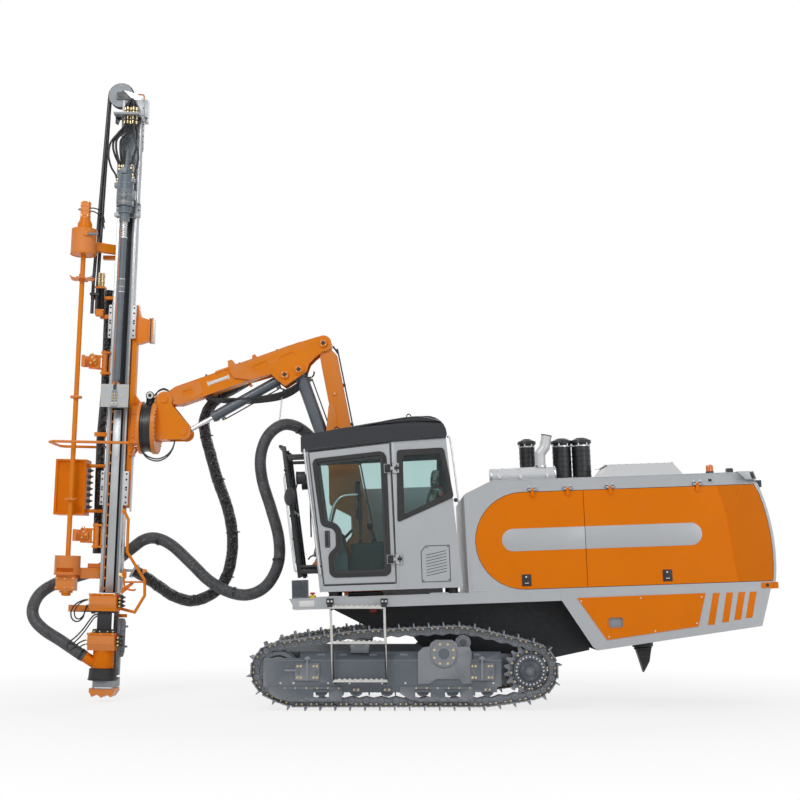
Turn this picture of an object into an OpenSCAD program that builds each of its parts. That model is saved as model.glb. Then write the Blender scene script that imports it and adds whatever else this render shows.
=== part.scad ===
// Top hammer drilling rig on tracks with a folding boom, in millimetres.
// X runs from the drilling end to the engine end, Y from the cab side to the far side, Z up.

/* [Undercarriage] */
// Distance from the idler's centre to the sprocket's centre
track_base = 2807; // [2600:1:3000]
// Width over both tracks
track_span = 2500; // [2400:10:2700]
// Width of a track shoe
shoe_w = 340; // [300:10:400]
// Number of shoes in a track
shoe_count = 44; // [42:1:46]
// Height of the lug on a shoe
lug_h = 42; // [30:1:50]
// Thickness of a shoe's plate
shoe_t = 13; // [10:1:18]
// Distance from a link's pin to its inner or upper edge
link_half = 47; // [40:1:52]
// Radius of the bottom rollers' treads
roller_r = 78; // [70:1:85]
// Radius of the carrier roller
carrier_r = 87; // [75:1:95]
// Radius of the idler's tread
idler_r = 209; // [195:1:220]
// Teeth on the sprocket
sprocket_teeth = 19; // [17:2:21]

/* [Chassis] */
// Nose-down pitch of the superstructure on the tracks, in degrees
body_pitch = 2; // [0:0.5:3]
// Width of the deck and of the engine house
body_w = 2400; // [2300:10:2500]
// Thickness of the skirt plates
skirt_t = 12; // [8:1:20]
// Thickness of the engine house's sheet walls
hood_t = 24; // [16:1:36]
// Height of the engine house's roof above the pivot's level
roof_z = 2541; // [2450:1:2640]

/* [Cab] */
// Width of the cab
cab_w = 1000; // [940:10:1040]
// Thickness of the cab's walls and door
cab_t = 45; // [35:1:55]

/* [Boom] */
// Length of the upper boom between its pins
upper_len = 2087; // [2000:1:2150]
// Length of the lower boom between its pins
lower_len = 2467.5; // [2400:0.5:2520]
// Half the width of the upper boom's box
upper_hw = 115; // [110:1:125]
// Half the width of the lower boom's box
lower_hw = 105; // [95:1:108]
// Thickness of the boom's doubler plates
doubler_t = 25; // [18:1:35]

/* [Feed] */
// Length of the feed beam
beam_len = 6260; // [6100:10:6400]
// Width and depth of the feed beam
beam_w = 240; // [232:1:246]
// Backward lean of the feed, in degrees
feed_lean = 1.2; // [0:0.1:2]
// Distance from the beam's middle to the drill rod's axis
rod_offset = 265; // [260:1:280]
// Radius of the drill rod
rod_r = 38; // [30:1:40]
// Radius of the dust hose
suction_r = 70; // [60:1:75]

/* [Hidden] */
$fn = 48;
// Places the model so that the middle of its box on the ground is the origin
shift_x = 19.2;
shift_y = 31;
// Running and seating clearances
seat_gap = 0.3;
run_gap = 6;

// Undercarriage places in side view
idler_x = -1358;
idler_z = 437;
sprocket_x = idler_x + track_base;
sprocket_z = 436;
pin_to_face = link_half + shoe_t;
pin_z = pin_to_face + lug_h;
tread_z = pin_z + link_half;
roller_z = tread_z + roller_r + seat_gap;
roller_xs = [-876, -488, -144, 255, 587, 975];
front_roller = [-1220, 56];
link_pitch_nominal = 171;
sprocket_r = link_pitch_nominal / 2 / sin(360 / sprocket_teeth);
carrier_x = 706;
carrier_z = 743;
skid_x = -451;
skid_top = 778;
skid_r = 220;
track_y = track_span / 2 - shoe_w / 2;
link_w = 45;
link_in_y = 28;
// The links cut each wheel's arc as straight pieces, so they stand off a little
wheel_gap = 1.4;
// A belt wheel is [x, z, radius at the pin line], in the order in which the track meets it
BELT = [
    [front_roller.x, tread_z + front_roller.y + 2 * wheel_gap, front_roller.y + link_half + 2 * wheel_gap],
    [roller_xs[5], roller_z, roller_r + link_half + seat_gap],
    [sprocket_x, sprocket_z, sprocket_r],
    [carrier_x, carrier_z, carrier_r + link_half + wheel_gap],
    [skid_x, skid_top - skid_r, skid_r + link_half + wheel_gap],
    [idler_x, idler_z, idler_r + link_half + wheel_gap],
];

// Superstructure: side-view places in the chassis's own level frame
pivot = [489, 622];
deck_top = 1288;
deck_low = 1162;
side_y = body_w / 2;

// Boom pins in side view: foot, elbow, head, cylinder pins
boom_y = 300;
foot_pin = [-470, 1950];
lower_dir = 101.38;
elbow_pin = foot_pin + lower_len * [cos(lower_dir), sin(lower_dir)];
upper_dir = 19.77;
head_pin = elbow_pin - upper_len * [cos(upper_dir), sin(upper_dir)];
lift_base = [-1000, 1600];
lift_eye = [-800, 2400];
fold_base = elbow_pin + [-303.12, -329.99];
fold_eye = [-805, 2790];
tilt_base = elbow_pin + [-477.12, -394.99];
tilt_eye = head_pin + [240.86, -403.07];
fork_gap = 7;

// Feed: side-view place of the beam's lower end, on the beam's centre line
feed_foot_at = head_pin + [-627.14, -2377.07];
magazine_x = -490;
pulley_at = [-151, beam_len + 42];
pulley_r = 155;
slew_z = 2047;
slew_r = 327;
carriage_z = [4699, 6015];

// Routes of the hoses
SUCTION_PATH = [
    [-3793, 35, 532], [-3900, 25, 600], [-4080, 20, 720], [-4290, 30, 850], [-4420, 60, 980],
    [-4450, 110, 1120], [-4390, 200, 1280], [-4240, 330, 1400], [-4030, 450, 1480], [-3800, 530, 1560],
    [-3560, 560, 1680], [-3370, 540, 1820], [-3200, 500, 1940], [-3030, 460, 1960], [-2830, 410, 1870],
    [-2590, 360, 1660], [-2340, 310, 1430], [-2070, 260, 1290], [-1830, 230, 1270], [-1620, 220, 1390],
    [-1490, 210, 1650], [-1490, 210, 1960], [-1590, 220, 2320], [-1700, 240, 2660], [-1730, 270, 2960],
    [-1650, 310, 3220], [-1480, 380, 3370], [-1300, 470, 3360], [-1130, 560, 3240], [-960, 660, 3060],
    [-830, 740, 2880],
];
// The boom's hose bundle moves with the head pin
bundle_at = head_pin + [2920.86, -3663.07];
BUNDLE_PATH = [for (p = [
    [-1950, 530, 3950], [-2060, 530, 3880], [-2260, 520, 3760], [-2400, 512, 3620], [-2470, 505, 3440],
    [-2450, 500, 3250], [-2400, 495, 3070], [-2290, 490, 2700], [-2165, 490, 2360], [-2095, 490, 2040],
    [-2095, 490, 1750], [-2160, 490, 1480], [-2310, 490, 1290], [-2560, 490, 1190], [-2790, 490, 1240],
    [-3000, 490, 1370], [-3160, 482, 1480], [-3290, 482, 1550],
]) p + [bundle_at.x, 0, bundle_at.y]];
bundle_r = 74;

// Plain helpers

module place() translate([shift_x, shift_y, 0]) children();

// The superstructure's frame, pitched about the track pivot
module chassis() place() translate([pivot.x, 0, pivot.y]) rotate([0, -body_pitch, 0])
    translate([-pivot.x, 0, -pivot.y]) children();

// The feed's frame: its origin is at the lower end of the beam
module feed() place() translate([feed_foot_at.x, boom_y, feed_foot_at.y]) rotate([0, feed_lean, 0])
    children();

// A frame along a line in side view, with its origin at the first point
module along(p, dir) place() translate([p.x, boom_y, p.y]) rotate([0, -dir, 0]) children();

// Extrusions of a side view, a front view and a plan
module side(y0, y1) translate([0, y1, 0]) rotate([90, 0, 0]) linear_extrude(height = y1 - y0) children();
module front(x0, x1) translate([x0, 0, 0]) rotate([90, 0, 90]) linear_extrude(height = x1 - x0) children();
module plan(z0, z1) translate([0, 0, z0]) linear_extrude(height = z1 - z0) children();

// A box between two corners
module block(a, b) translate(a) cube(b - a);

// Round bars across the machine, along it, and between two points
module pin_y(x, z, r, y0, y1) translate([x, y1, z]) rotate([90, 0, 0]) cylinder(h = y1 - y0, r = r);
module pin_x(y, z, r, x0, x1) translate([x0, y, z]) rotate([0, 90, 0]) cylinder(h = x1 - x0, r = r);
module bar(a, b, r) {
    d = b - a;
    translate(a) rotate([0, acos(d.z / norm(d)), atan2(d.y, d.x)]) cylinder(h = norm(d), r = r);
}

// A bent tube with round corners
module rail(points, r) {
    for (i = [0 : len(points) - 2]) bar(points[i], points[i + 1], r);
    for (i = [1 : len(points) - 2]) translate(points[i]) sphere(r * 1.03);
}

// A side-view bore through whatever is subtracted from
module bore_y(p, r) pin_y(p.x, p.y, r, -3000, 3000);

function arc(c, r, a0, a1, n) = [
    for (i = [0 : n]) let(a = a0 + (a1 - a0) * i / n) c + r * [cos(a), sin(a)]];
function turn(v, a) = [v.x * cos(a) - v.y * sin(a), v.x * sin(a) + v.y * cos(a)];
function chassis_to_side(p) = pivot + turn(p - pivot, body_pitch);
function side_to_chassis(p) = pivot + turn(p - pivot, -body_pitch);
function direction(a, b) = atan2(b.y - a.y, b.x - a.x);

// The track's loop: a belt round the wheels, walked by arc length

function belt_next(i) = (i + 1) % len(BELT);
function belt_normal(i) = let(a = BELT[i], b = BELT[belt_next(i)], d = [b.x - a.x, b.y - a.y])
    atan2(d.y, d.x) - acos((a.z - b.z) / norm(d));
function belt_turn(i) = (belt_normal(i) - belt_start(i) + 720) % 360;
function belt_start(i) = belt_normal((i + len(BELT) - 1) % len(BELT));
function belt_point(i, a) = [BELT[i].x, BELT[i].y] + BELT[i].z * [cos(a), sin(a)];
function belt_arc_len(i) = BELT[i].z * belt_turn(i) * PI / 180;
function belt_line_len(i) = norm(belt_point(belt_next(i), belt_normal(i)) - belt_point(i, belt_normal(i)));
function belt_len(i) = belt_arc_len(i) + belt_line_len(i);
function belt_total(i = 0) = i == len(BELT) ? 0 : belt_len(i) + belt_total(i + 1);
function belt_at(s, i = 0) =
    s > belt_len(i) && i < len(BELT) - 1 ? belt_at(s - belt_len(i), i + 1)
    : s < belt_arc_len(i) ? belt_point(i, belt_start(i) + s / BELT[i].z * 180 / PI)
    : let(a = belt_point(i, belt_normal(i)), b = belt_point(belt_next(i), belt_normal(i)))
      a + (b - a) * (s - belt_arc_len(i)) / belt_line_len(i);

PINS = [for (i = [0 : shoe_count - 1]) belt_at(belt_total() * (i + 0.35) / shoe_count)];

function pin_at(i) = PINS[(i + shoe_count) % shoe_count];
function out_of(d) = [d.y, -d.x] / norm(d);

// One shoe in side view: a plate with its lug at the trailing edge
module shoe(i) {
    a = pin_at(i);
    b = pin_at(i + 1);
    h = norm(b - a) / 2 - 3;
    translate((a + b) / 2) rotate(atan2(b.y - a.y, b.x - a.x)) mirror([0, 1]) polygon([
        [-h, link_half], [-h, pin_to_face], [h - 22, pin_to_face],
        [h - 13, pin_to_face + lug_h], [h - 3, pin_to_face + lug_h], [h, link_half],
    ]);
}

// One row of links as a closed ring, bossed at each pin
module link_row() {
    outer = [for (i = [0 : shoe_count - 1])
        pin_at(i) + (link_half + 4) * out_of(pin_at(i + 1) - pin_at(i - 1))];
    inner = [for (i = [0 : shoe_count - 1]) let(a = pin_at(i), b = pin_at(i + 1)) each [
        a - link_half * out_of(b - pin_at(i - 1)), (a + b) / 2 - (link_half - 21) * out_of(b - a)]];
    polygon(concat(outer, inner), [
        [for (i = [0 : len(outer) - 1]) i],
        [for (i = [0 : len(inner) - 1]) len(outer) + i],
    ]);
}

module track(s) color("dimgray") place() {
    side(s * track_y - shoe_w / 2, s * track_y + shoe_w / 2) for (i = [0 : shoe_count - 1]) shoe(i);
    for (y = [-link_in_y - link_w, link_in_y]) side(s * track_y + y, s * track_y + y + link_w) link_row();
}

// Undercarriage

frame_out = 110;
frame_in = 110;
hub_z = 150;

// One track frame in its own frame: y grows towards the outside of the machine
module track_frame() {
    difference() {
        union() {
            front(-1523, 1130) polygon([
                [-frame_in, 262], [frame_out, 262], [frame_out, 549], [20, 640], [-frame_in, 640],
            ]);
            // Boss plate round the pivot axle
            for (y = [[-frame_in, -frame_in + 16], [frame_out - 16, frame_out + 12]])
            side(y[0], y[1]) polygon([
                [200, 290], [200, 640], [260, 690], [330, 700], [345, 740], [400, 775],
                [580, 775], [632, 740], [645, 700], [775, 700], [800, 640], [800, 290],
                [700, 290], [660, 345], [400, 345], [330, 290],
            ]);
            pin_y(pivot.x, pivot.y, 148, -frame_in, frame_out);
            // Bracket of the travel motor
            side(-frame_in - 20, -frame_in + 10) polygon(concat(
                [[950, 280], [950, 620]], arc([sprocket_x, sprocket_z], 200, 120, -120, 10)));
            // Top skid under the track
            block([skid_x - 100, -70, 630], [skid_x + 100, 70, 700]);
            side(-75, 75) polygon(concat(
                [[skid_x - 106, 690]],
                [for (p = arc([skid_x, skid_top - skid_r], skid_r, 118, 62, 6)) p],
                [[skid_x + 106, 690]]));
            // Lug brackets at both ends
            for (x = [-1033, 915]) {
                block([x - 135, frame_out - 1, 330], [x + 135, frame_out + 18, 520]);
                block([x - 12, frame_out - 1, 330], [x + 12, frame_out + 26, 560]);
            }
            // Rail that carries the rollers, and the roller guards
            for (y = [-frame_in, frame_out - 16]) {
                block([-1500, y, 200], [1080, y + 16, 263]);
            }
            side(frame_out - 1, frame_out + 13) roller_guard(-1462, -643, [-876]);
            side(frame_out - 1, frame_out + 13) roller_guard(0, 819, [255, 587]);
        }
        // Channel for the rollers
        block([-1500, -frame_in + 16, 100], [1080, frame_out - 16, 320]);
        // Fork for the idler
        block([-1600, -85, 100], [idler_x + idler_r + 30, 85, 800]);
        bore_y([pivot.x, pivot.y], 110 + seat_gap);
        // Room for the sprocket's hub
        bore_y([sprocket_x, sprocket_z], 150);
    }
    // Carrier roller's post
    difference() {
        block([carrier_x - 30, -frame_in, 699], [carrier_x + 30, -frame_in + 18, carrier_z + 40]);
        pin_y(carrier_x, carrier_z, 24 + seat_gap, -200, 200);
    }
}

module roller_guard(x0, x1, holes) difference() {
    polygon([[x0, 262], [x0, 190], [x0 + 90, 132], [x0 + 210, 100], [x1, 100], [x1, 262]]);
    for (x = holes) translate([x - 85, 150]) square([170, 90]);
    for (x = holes) translate([x - 60, 135]) square([120, 20]);
}

module both_sides() place() for (s = [-1, 1]) translate([0, s * track_y, 0]) mirror([0, s < 0 ? 1 : 0, 0])
    children();

module track_frames() color("slategray") both_sides() track_frame();

module track_rollers() color("slategray") both_sides() {
    for (x = roller_xs) {
        pin_y(x, roller_z, roller_r, link_in_y, link_in_y + link_w);
        pin_y(x, roller_z, roller_r, -link_in_y - link_w, -link_in_y);
        pin_y(x, roller_z, roller_r - 14, -link_in_y - 1, link_in_y + 1);
        pin_y(x, roller_z, 30, -frame_in + 16 + seat_gap, frame_out - 16 - seat_gap);
    }
    front_z = tread_z + front_roller.y + 2 * wheel_gap;
    pin_y(front_roller.x, front_z, front_roller.y, -link_in_y - link_w, link_in_y + link_w);
    pin_y(front_roller.x, front_z, 26, -frame_in + 16 + seat_gap, frame_out - 16 - seat_gap);
    pin_y(carrier_x, carrier_z, carrier_r, -link_in_y - link_w, link_in_y + link_w);
    pin_y(carrier_x, carrier_z, 24, -frame_in, 80);
    // Idler wheel
    difference() {
        union() {
            pin_y(idler_x, idler_z, idler_r, -link_in_y - link_w, link_in_y + link_w);
            pin_y(idler_x, idler_z, idler_r + 22, -link_in_y + 4, link_in_y - 4);
        }
        pin_y(idler_x, idler_z, idler_r - 40, -200, -20);
        pin_y(idler_x, idler_z, idler_r - 40, 20, 200);
    }
    pin_y(idler_x, idler_z, 60, -85 + seat_gap, 85 - seat_gap);
}

// The sprocket's teeth stand between the two rows of links
module track_sprockets() color("gray") both_sides() {
    n = sprocket_teeth;
    tip = sprocket_r + 24;
    root = sprocket_r - 26;
    side(-22, 22) translate([sprocket_x, sprocket_z]) difference() {
        polygon([for (i = [0 : n - 1]) let(a = 360 / n * i) each [
            root * [cos(a - 360 / n * 0.36), sin(a - 360 / n * 0.36)],
            tip * [cos(a - 360 / n * 0.12), sin(a - 360 / n * 0.12)],
            tip * [cos(a + 360 / n * 0.12), sin(a + 360 / n * 0.12)],
            root * [cos(a + 360 / n * 0.36), sin(a + 360 / n * 0.36)],
        ]]);
        for (i = [0 : 11]) rotate(30 * i) translate([205, 0]) circle(9);
    }
    pin_y(sprocket_x, sprocket_z, 190, 20, 60);
    pin_y(sprocket_x, sprocket_z, 178, 59, 118);
    pin_y(sprocket_x, sprocket_z, hub_z - seat_gap, -frame_in - 30, -20);
}

module pivot_axle() color("slategray") place() {
    reach = track_y + frame_out + 12;
    pin_y(pivot.x, pivot.y, 110, -reach, reach);
    for (s = [-1, 1]) pin_y(pivot.x, pivot.y, 142, min(s * (reach + seat_gap), s * (reach + 24)),
        max(s * (reach + seat_gap), s * (reach + 24)));
}

// Chassis

belly_y = 560;
belly_top = deck_top - 22.3;
belly_t = 16;
BELLY = [
    [-773, belly_top], [-773, 1151], [-315, 905], [160, 800], [420, 470], [1768, 500], [2198, 575],
    [2198, 609], [4030, 814.7], [4110, 1160], [4110, belly_top],
];
outlet = [2830, -500];

module belly_frame() color("#202326") chassis() {
    difference() {
        side(-belly_y, belly_y) polygon(BELLY);
        side(-belly_y + belly_t, belly_y - belly_t) polygon([
            [-757, 1250], [-757, 1161], [-308, 919], [167, 816], [427, 487], [1766, 516], [2184, 589],
            [2184, 625], [4016, 831], [4094, 1162], [4094, 1250],
        ]);
        bore_y(pivot, 110 + seat_gap);
    }
    // Cross walls
    for (w = [[1150, 500], [2300, 636], [3300, 748]])
        block([w[0], -belly_y + belly_t - 1, w[1]], [w[0] + 20, belly_y - belly_t + 1, 1251]);
    // Flat rubber outlet below the tail
    intersection() {
        translate([outlet.x, outlet.y, 560]) cylinder(h = 200, r = 120);
        side(-700, -300) polygon([[2700, 652.1], [2700, 590], [2960, 590], [2960, 681.0]]);
    }
    side(outlet.y - 60, outlet.y + 60)
        polygon([[2735, 595], [2925, 595], [2890, 420], [2818, 299], [2785, 420]]);
}

module deck() color("silver") chassis() difference() {
    union() {
        block([-1215, -side_y + 60, deck_top - 22], [4150, side_y - 60, deck_top]);
        for (s = [-1, 1]) {
            y = s * side_y;
            side(min(y, y - s * 62), max(y, y - s * 62)) polygon([
                [-1222, deck_top], [-1158, deck_low], [1836, deck_low], [1836, deck_top],
            ]);
        }
        block([-1190, -side_y + 60, deck_low + 6], [-1160, side_y - 60, deck_top - 10]);
        // Stop-button box at the front corner
        block([-1188, -side_y + 10, deck_top - 2], [-1010, -side_y + 170, 1490]);
        pin_y(-1040, 1390, 26, -side_y - 14, -side_y + 12);
        // Boom pedestal
        translate([foot_chassis.x, boom_y, deck_top - 22]) cylinder(h = 34, r = 240);
        translate([foot_chassis.x, boom_y, deck_top]) cylinder(h = 210, r = 90);
    }
    // Channel recess of the side beams, seen from below
    for (s = [-1, 1]) {
        block([-1100, min(s * 1146, s * 1188), deck_low - 10],
            [1800, max(s * 1146, s * 1188), deck_top - 30]);
    }
}

foot_chassis = side_to_chassis(foot_pin);
SKIRT = [
    [1837, deck_top], [1837, deck_low - 3], [2156, 639], [2210, 598], [4063, 804], [4188, 1221],
    [4200, deck_top],
];
POCKET = [
    [2343, 861], [2361, 843], [2488, 843], [2506, 861], [2506, 937], [2488, 955], [2361, 955], [2343, 937],
];
PANEL = [[2006, 1186], [3450, 1191], [3346, 825], [2317, 710]];

module side_skirts() color("silver") chassis() {
    difference() {
        side(-side_y, side_y) polygon(SKIRT);
        side(-side_y + skirt_t, side_y - skirt_t) polygon([
            [1700, deck_top + 10], [1700, 500], [2150, 500], [2210, 598 + skirt_t], [4045, 804 + skirt_t],
            [4176, 1225], [4186, deck_top + 10],
        ]);
        // Pocket for the step in each side panel
        side(-side_y - 10, side_y + 10) polygon(POCKET);
    }
}

module skirt_panels() color("darkorange") chassis() for (s = [-1, 1]) {
    difference() {
        side(min(s * (side_y + 8), s * (side_y + seat_gap)), max(s * (side_y + 8), s * (side_y + seat_gap)))
            polygon(PANEL);
        side(-side_y - 20, side_y + 20) polygon(POCKET);
    }
}

// Hanging steps on the cab side, with serrated treads
step_y = [-track_span / 2 - 62, -track_span / 2 - 12];
TREADS = [[1143, -776], [756, -752], [338, -730]];

module steps() color("silver") place() {
    for (x = [[-780, -735], [-178, -147]]) {
        side(step_y[0] + 19, step_y[0] + 31) polygon([
            [x[0] - 14, 1236], [x[0] + 14, 1236], [x[1] + 14, 312], [x[1] - 14, 312],
        ]);
        block([x[0] - 22, step_y[0] + 18, 1150], [x[0] + 22, -side_y - seat_gap, 1232]);
    }
    for (t = TREADS) {
        side(step_y[0], step_y[1]) polygon(concat(
            [[t[1], t[0] - 22], [t[1] + 588, t[0] - 22], [t[1] + 588, t[0] + 8]],
            [for (i = [9 : -1 : 1]) each [[t[1] + 58.8 * i + 16, t[0] + 8], [t[1] + 58.8 * i + 8, t[0] + 20],
                [t[1] + 58.8 * i - 8, t[0] + 20], [t[1] + 58.8 * i - 16, t[0] + 8]]],
            [[t[1], t[0] + 8]]));
    }
}

// Engine house

hood_z0 = deck_top + seat_gap;
rear_c = [2002, 1587];
rear_r = 2267;
door_c = [1440, 1848];
door_r = 549;
door_split = 2135;
door_top = door_c.y + door_r;
door_low = door_c.y - door_r;

function hood_side(w) = concat(
    [[798 + w, hood_z0 - (w > 0 ? 50 : 0)], [786 + w, 2384 - w / 2], [1111 + w, roof_z - w],
        [4044 - w, roof_z - w]],
    [for (p = arc(rear_c, rear_r - w, 20, -7.4, 7)) p],
    w > 0 ? [[4240 - w, hood_z0 - 50]] : [[4250, hood_z0]]);
function hood_front(w) = [
    [-side_y + w, 0], [-side_y + w, 2400 - w / 2], [-side_y + 140 + w / 2, roof_z - w],
    [side_y - 140 - w / 2, roof_z - w], [side_y - w, 2400 - w / 2], [side_y - w, 0],
];
// The round-fronted door area in side view, drawn in by a gap
function door_area(g) = concat(
    [for (p = arc(door_c, door_r - g, 90, 270, 18)) p],
    [[4215 - g, door_low + g]],
    [for (p = arc(rear_c, rear_r - 30 - g, -6.6, 18.5, 6)) p],
    [[4070 - g, door_top - g]]);

module hood_form(w) intersection() {
    side(-side_y - 10, side_y + 10) polygon(hood_side(w));
    front(700, 4400) polygon(hood_front(w));
}

module hood_shell() color("silver") chassis() {
    difference() {
        hood_form(0);
        hood_form(hood_t);
        side(-side_y - 50, side_y + 50) polygon(door_area(0));
        // Rear air outlet
        for (i = [0 : 8]) block([4100, -800, 1420 + 85 * i], [4400, 800, 1460 + 85 * i]);
        // Roof air inlet slots
        for (i = [0 : 6]) block([3480 + 70 * i, -600, roof_z - 60], [3510 + 70 * i, 600, roof_z + 20]);
    }
    // Pillar between the doors on each side
    for (s = [-1, 1]) block([door_split - 40, min(s * (side_y - 36), s * (side_y - 60)), door_low - 8],
        [door_split + 40, max(s * (side_y - 36), s * (side_y - 60)), door_top + 8]);
    // Hinge knuckles at the top of the doors
    for (s = [-1, 1], x = hinge_xs, d = [-hinge_w, hinge_w]) {
        y = s * (side_y + hinge_out);
        pin_x(y, hinge_z, hinge_r, x + d - 17, x + d + 17);
        block([x + d - 17, min(y, y - s * 70), hinge_z], [x + d + 17, max(y, y - s * 70), hinge_z + hinge_r]);
    }
}

hinge_xs = [1560, 1960, 2440, 3430];
hinge_w = 34.5;
hinge_r = 13;
hinge_out = 18;
hinge_z = door_top + 20;

// A hood door: s is the side, x0 and x1 are its ends
module hood_door(s, x0, x1) {
    y_in = s * (side_y - 30);
    y_out = s * side_y;
    intersection() {
        side(min(y_in, y_out), max(y_in, y_out)) polygon(door_area(run_gap));
        block([x0, -2000, 1000], [x1, 2000, 3000]);
    }
    // Hinge knuckles between those of the shell
    for (x = hinge_xs) if (x > x0 && x < x1) {
        y = s * (side_y + hinge_out);
        pin_x(y, hinge_z, hinge_r, x - 17, x + 17);
        block([x - 17, min(y - 6, y + 6), door_top - 60], [x + 17, max(y - 6, y + 6), hinge_z - 4]);
        block([x - 17, min(y, s * (side_y - 4)), door_top - 60],
            [x + 17, max(y, s * (side_y - 4)), door_top - 20]);
    }
    // Latch at the lower edge
    xl = x0 < 1500 ? 1450 : 3035;
    y_latch = s * (side_y + 8);
    block([xl - 55, min(s * (side_y - 1), y_latch), 1335], [xl + 55, max(s * (side_y - 1), y_latch), 1470]);
}

module hood_door_left_front() color("darkorange") chassis() hood_door(-1, 800, door_split - 3);
module hood_door_left_rear() color("darkorange") chassis() hood_door(-1, door_split + 3, 4400);
module hood_door_right_front() color("darkorange") chassis() hood_door(1, 800, door_split - 3);
module hood_door_right_rear() color("darkorange") chassis() hood_door(1, door_split + 3, 4400);

module engine() color("dimgray") chassis() {
    for (b = [[1500, 2750, 420, 2250], [2900, 3700, 560, 1950]]) difference() {
        block([b[0], -b[2], deck_top + seat_gap], [b[1], b[2], b[3]]);
        block([b[0] + 40, -b[2] + 40, deck_top + 40], [b[1] - 40, b[2] - 40, b[3] - 40]);
    }
}

module exhaust() color("silver") chassis() {
    pin_x(-300, 2650, 95, 1150, 1935);
    for (x = [1250, 1820]) block([x - 20, -390, roof_z + seat_gap], [x + 20, -210, 2600]);
    rail([[1760, -300, 2650], [1760, -300, 2900], [1820, -300, 2980], [1850, -300, 3120]], 62);
}

module air_filters() color("#16181a") chassis() {
    for (c = [[1640, 60, 95, 3110], [2050, -60, 112, 3090], [2285, -60, 112, 3090]]) {
        translate([c[0], c[1], roof_z + seat_gap]) cylinder(h = c[3] - roof_z - 60, r = c[2]);
        translate([c[0], c[1], c[3] - 61]) cylinder(h = 40, r = c[2] + 14);
        translate([c[0], c[1], c[3] - 22]) cylinder(h = 22, r1 = c[2] + 2, r2 = c[2] - 30);
    }
}

module roof_cowl() color("gainsboro") chassis() intersection() {
    side(-480, 480)
        polygon([[2400, roof_z + seat_gap], [2560, 2735], [3330, 2735], [3470, roof_z + seat_gap]]);
    front(2300, 3600) polygon([[-470, 2500], [-380, 2740], [380, 2740], [470, 2500]]);
}

module roof_lamps() color("orange") chassis() {
    // Beacon and camera post
    translate([3735, -520, roof_z + seat_gap]) cylinder(h = 60, r = 46);
    translate([3735, -520, roof_z + 50]) cylinder(h = 60, r1 = 44, r2 = 34);
    block([3930, -560, roof_z + seat_gap], [3990, -480, roof_z + 90]);
    // Work lamps over the rear wall
    for (y = [-900, 900])
        side(y - 90, y + 90) polygon([[4089.4, 2450], [4128.8, 2370], [4215, 2370], [4215, 2450]]);
    // Rear lamps on the skirt
    for (y = [-1120, 1120]) {
        block([4200.5, y - 70, 1215], [4277, y + 70, 1286]);
    }
}

module dust_collector() color("silver") chassis() difference() {
    union() {
        block([-560, 620, deck_top + seat_gap], [560, 1180, 2300]);
        front(-540, 540) polygon([[640, 2290], [1160, 2290], [1100, 2620], [700, 2620]]);
        // Inlet pipe
        bar([-483, 911.5, 2530], [-748.2, 739.9, 2925.8], 76);
    }
    // Hollow inside
    block([-544, 636, deck_top + 16], [544, 1164, 2284]);
    front(-470, 524) polygon([[662, 2283], [1138, 2283], [1083, 2604], [717, 2604]]);
    for (i = [0 : 6]) block([-400, 1150, 1500 + 90 * i], [400, 1200, 1530 + 90 * i]);
}

// Cab

cab_in = -side_y + cab_w;
CAB = [[-866, 1350], [735, 1350], [606, 3046], [-991, 2963]];
cab_floor = 1411;
CAB_DOOR = [[-833, 1423], [-7, 1422], [-27, 3015], [-968, 2938]];
DOOR_WINDOW = [
    [-700, 1530], [-120, 1530], [-90, 1560], [-100, 2850], [-140, 2890], [-880, 2830], [-895, 2800],
    [-820, 2110], [-700, 2080], [-655, 2020], [-655, 1840], [-745, 1760], [-735, 1560],
];
REAR_WINDOW = [[40, 2120], [60, 2900], [560, 2910], [650, 2375]];
FAR_WINDOW = [[-760, 1750], [480, 1750], [520, 2880], [-880, 2860]];

function grow(points, c, g) = [for (p = points) p + g * (p - c) / norm(p - c)];

module cab_shell() color("silver") chassis() {
    difference() {
        side(-side_y, cab_in) polygon(CAB);
        side(-side_y + cab_t, cab_in - cab_t) polygon([
            [-820, cab_floor], [685, cab_floor], [562, 3100], [-950, 3100],
        ]);
        // Door opening, side window and louvres
        side(-side_y - 10, -side_y + cab_t + 10) offset_door(0);
        side(-side_y - 10, -side_y + cab_t + 10) polygon(REAR_WINDOW);
        for (i = [0 : 7]) side(-side_y - 10, -side_y + cab_t + 10) polygon([
            [330, 1488 + 33 * i], [560, 1533 + 33 * i], [560, 1546 + 33 * i], [330, 1501 + 33 * i],
        ]);
        // Far side window, windscreen and rear window
        side(cab_in - cab_t - 10, cab_in + 10) polygon(FAR_WINDOW);
        block([-1100, -side_y + 75, 1560], [-700, cab_in - 75, 2880]);
        block([500, -side_y + 120, 2250], [800, cab_in - 120, 2920]);
    }
    // Door hinges on the rear pillar
    for (z = [1690, 2715], d = [-36.5, 36.5]) {
        translate([cab_hinge.x, cab_hinge.y, z + d - 18]) cylinder(h = 36, r = 13);
        block([cab_hinge.x, cab_hinge.y - 12, z + d - 18], [60, -side_y + 1, z + d + 18]);
    }
    // Rubber mounts on the deck
    for (x = [-720, 620], y = [-side_y + 110, cab_in - 110])
        translate([x, y, deck_top + seat_gap]) cylinder(h = 63, r = 60);
}

cab_hinge = [-2, -side_y - 15];

module offset_door(g) polygon([
    CAB_DOOR[0] + [g, g], CAB_DOOR[1] + [-g, g], CAB_DOOR[2] + [-g, -g], CAB_DOOR[3] + [g, -g],
]);

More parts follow.
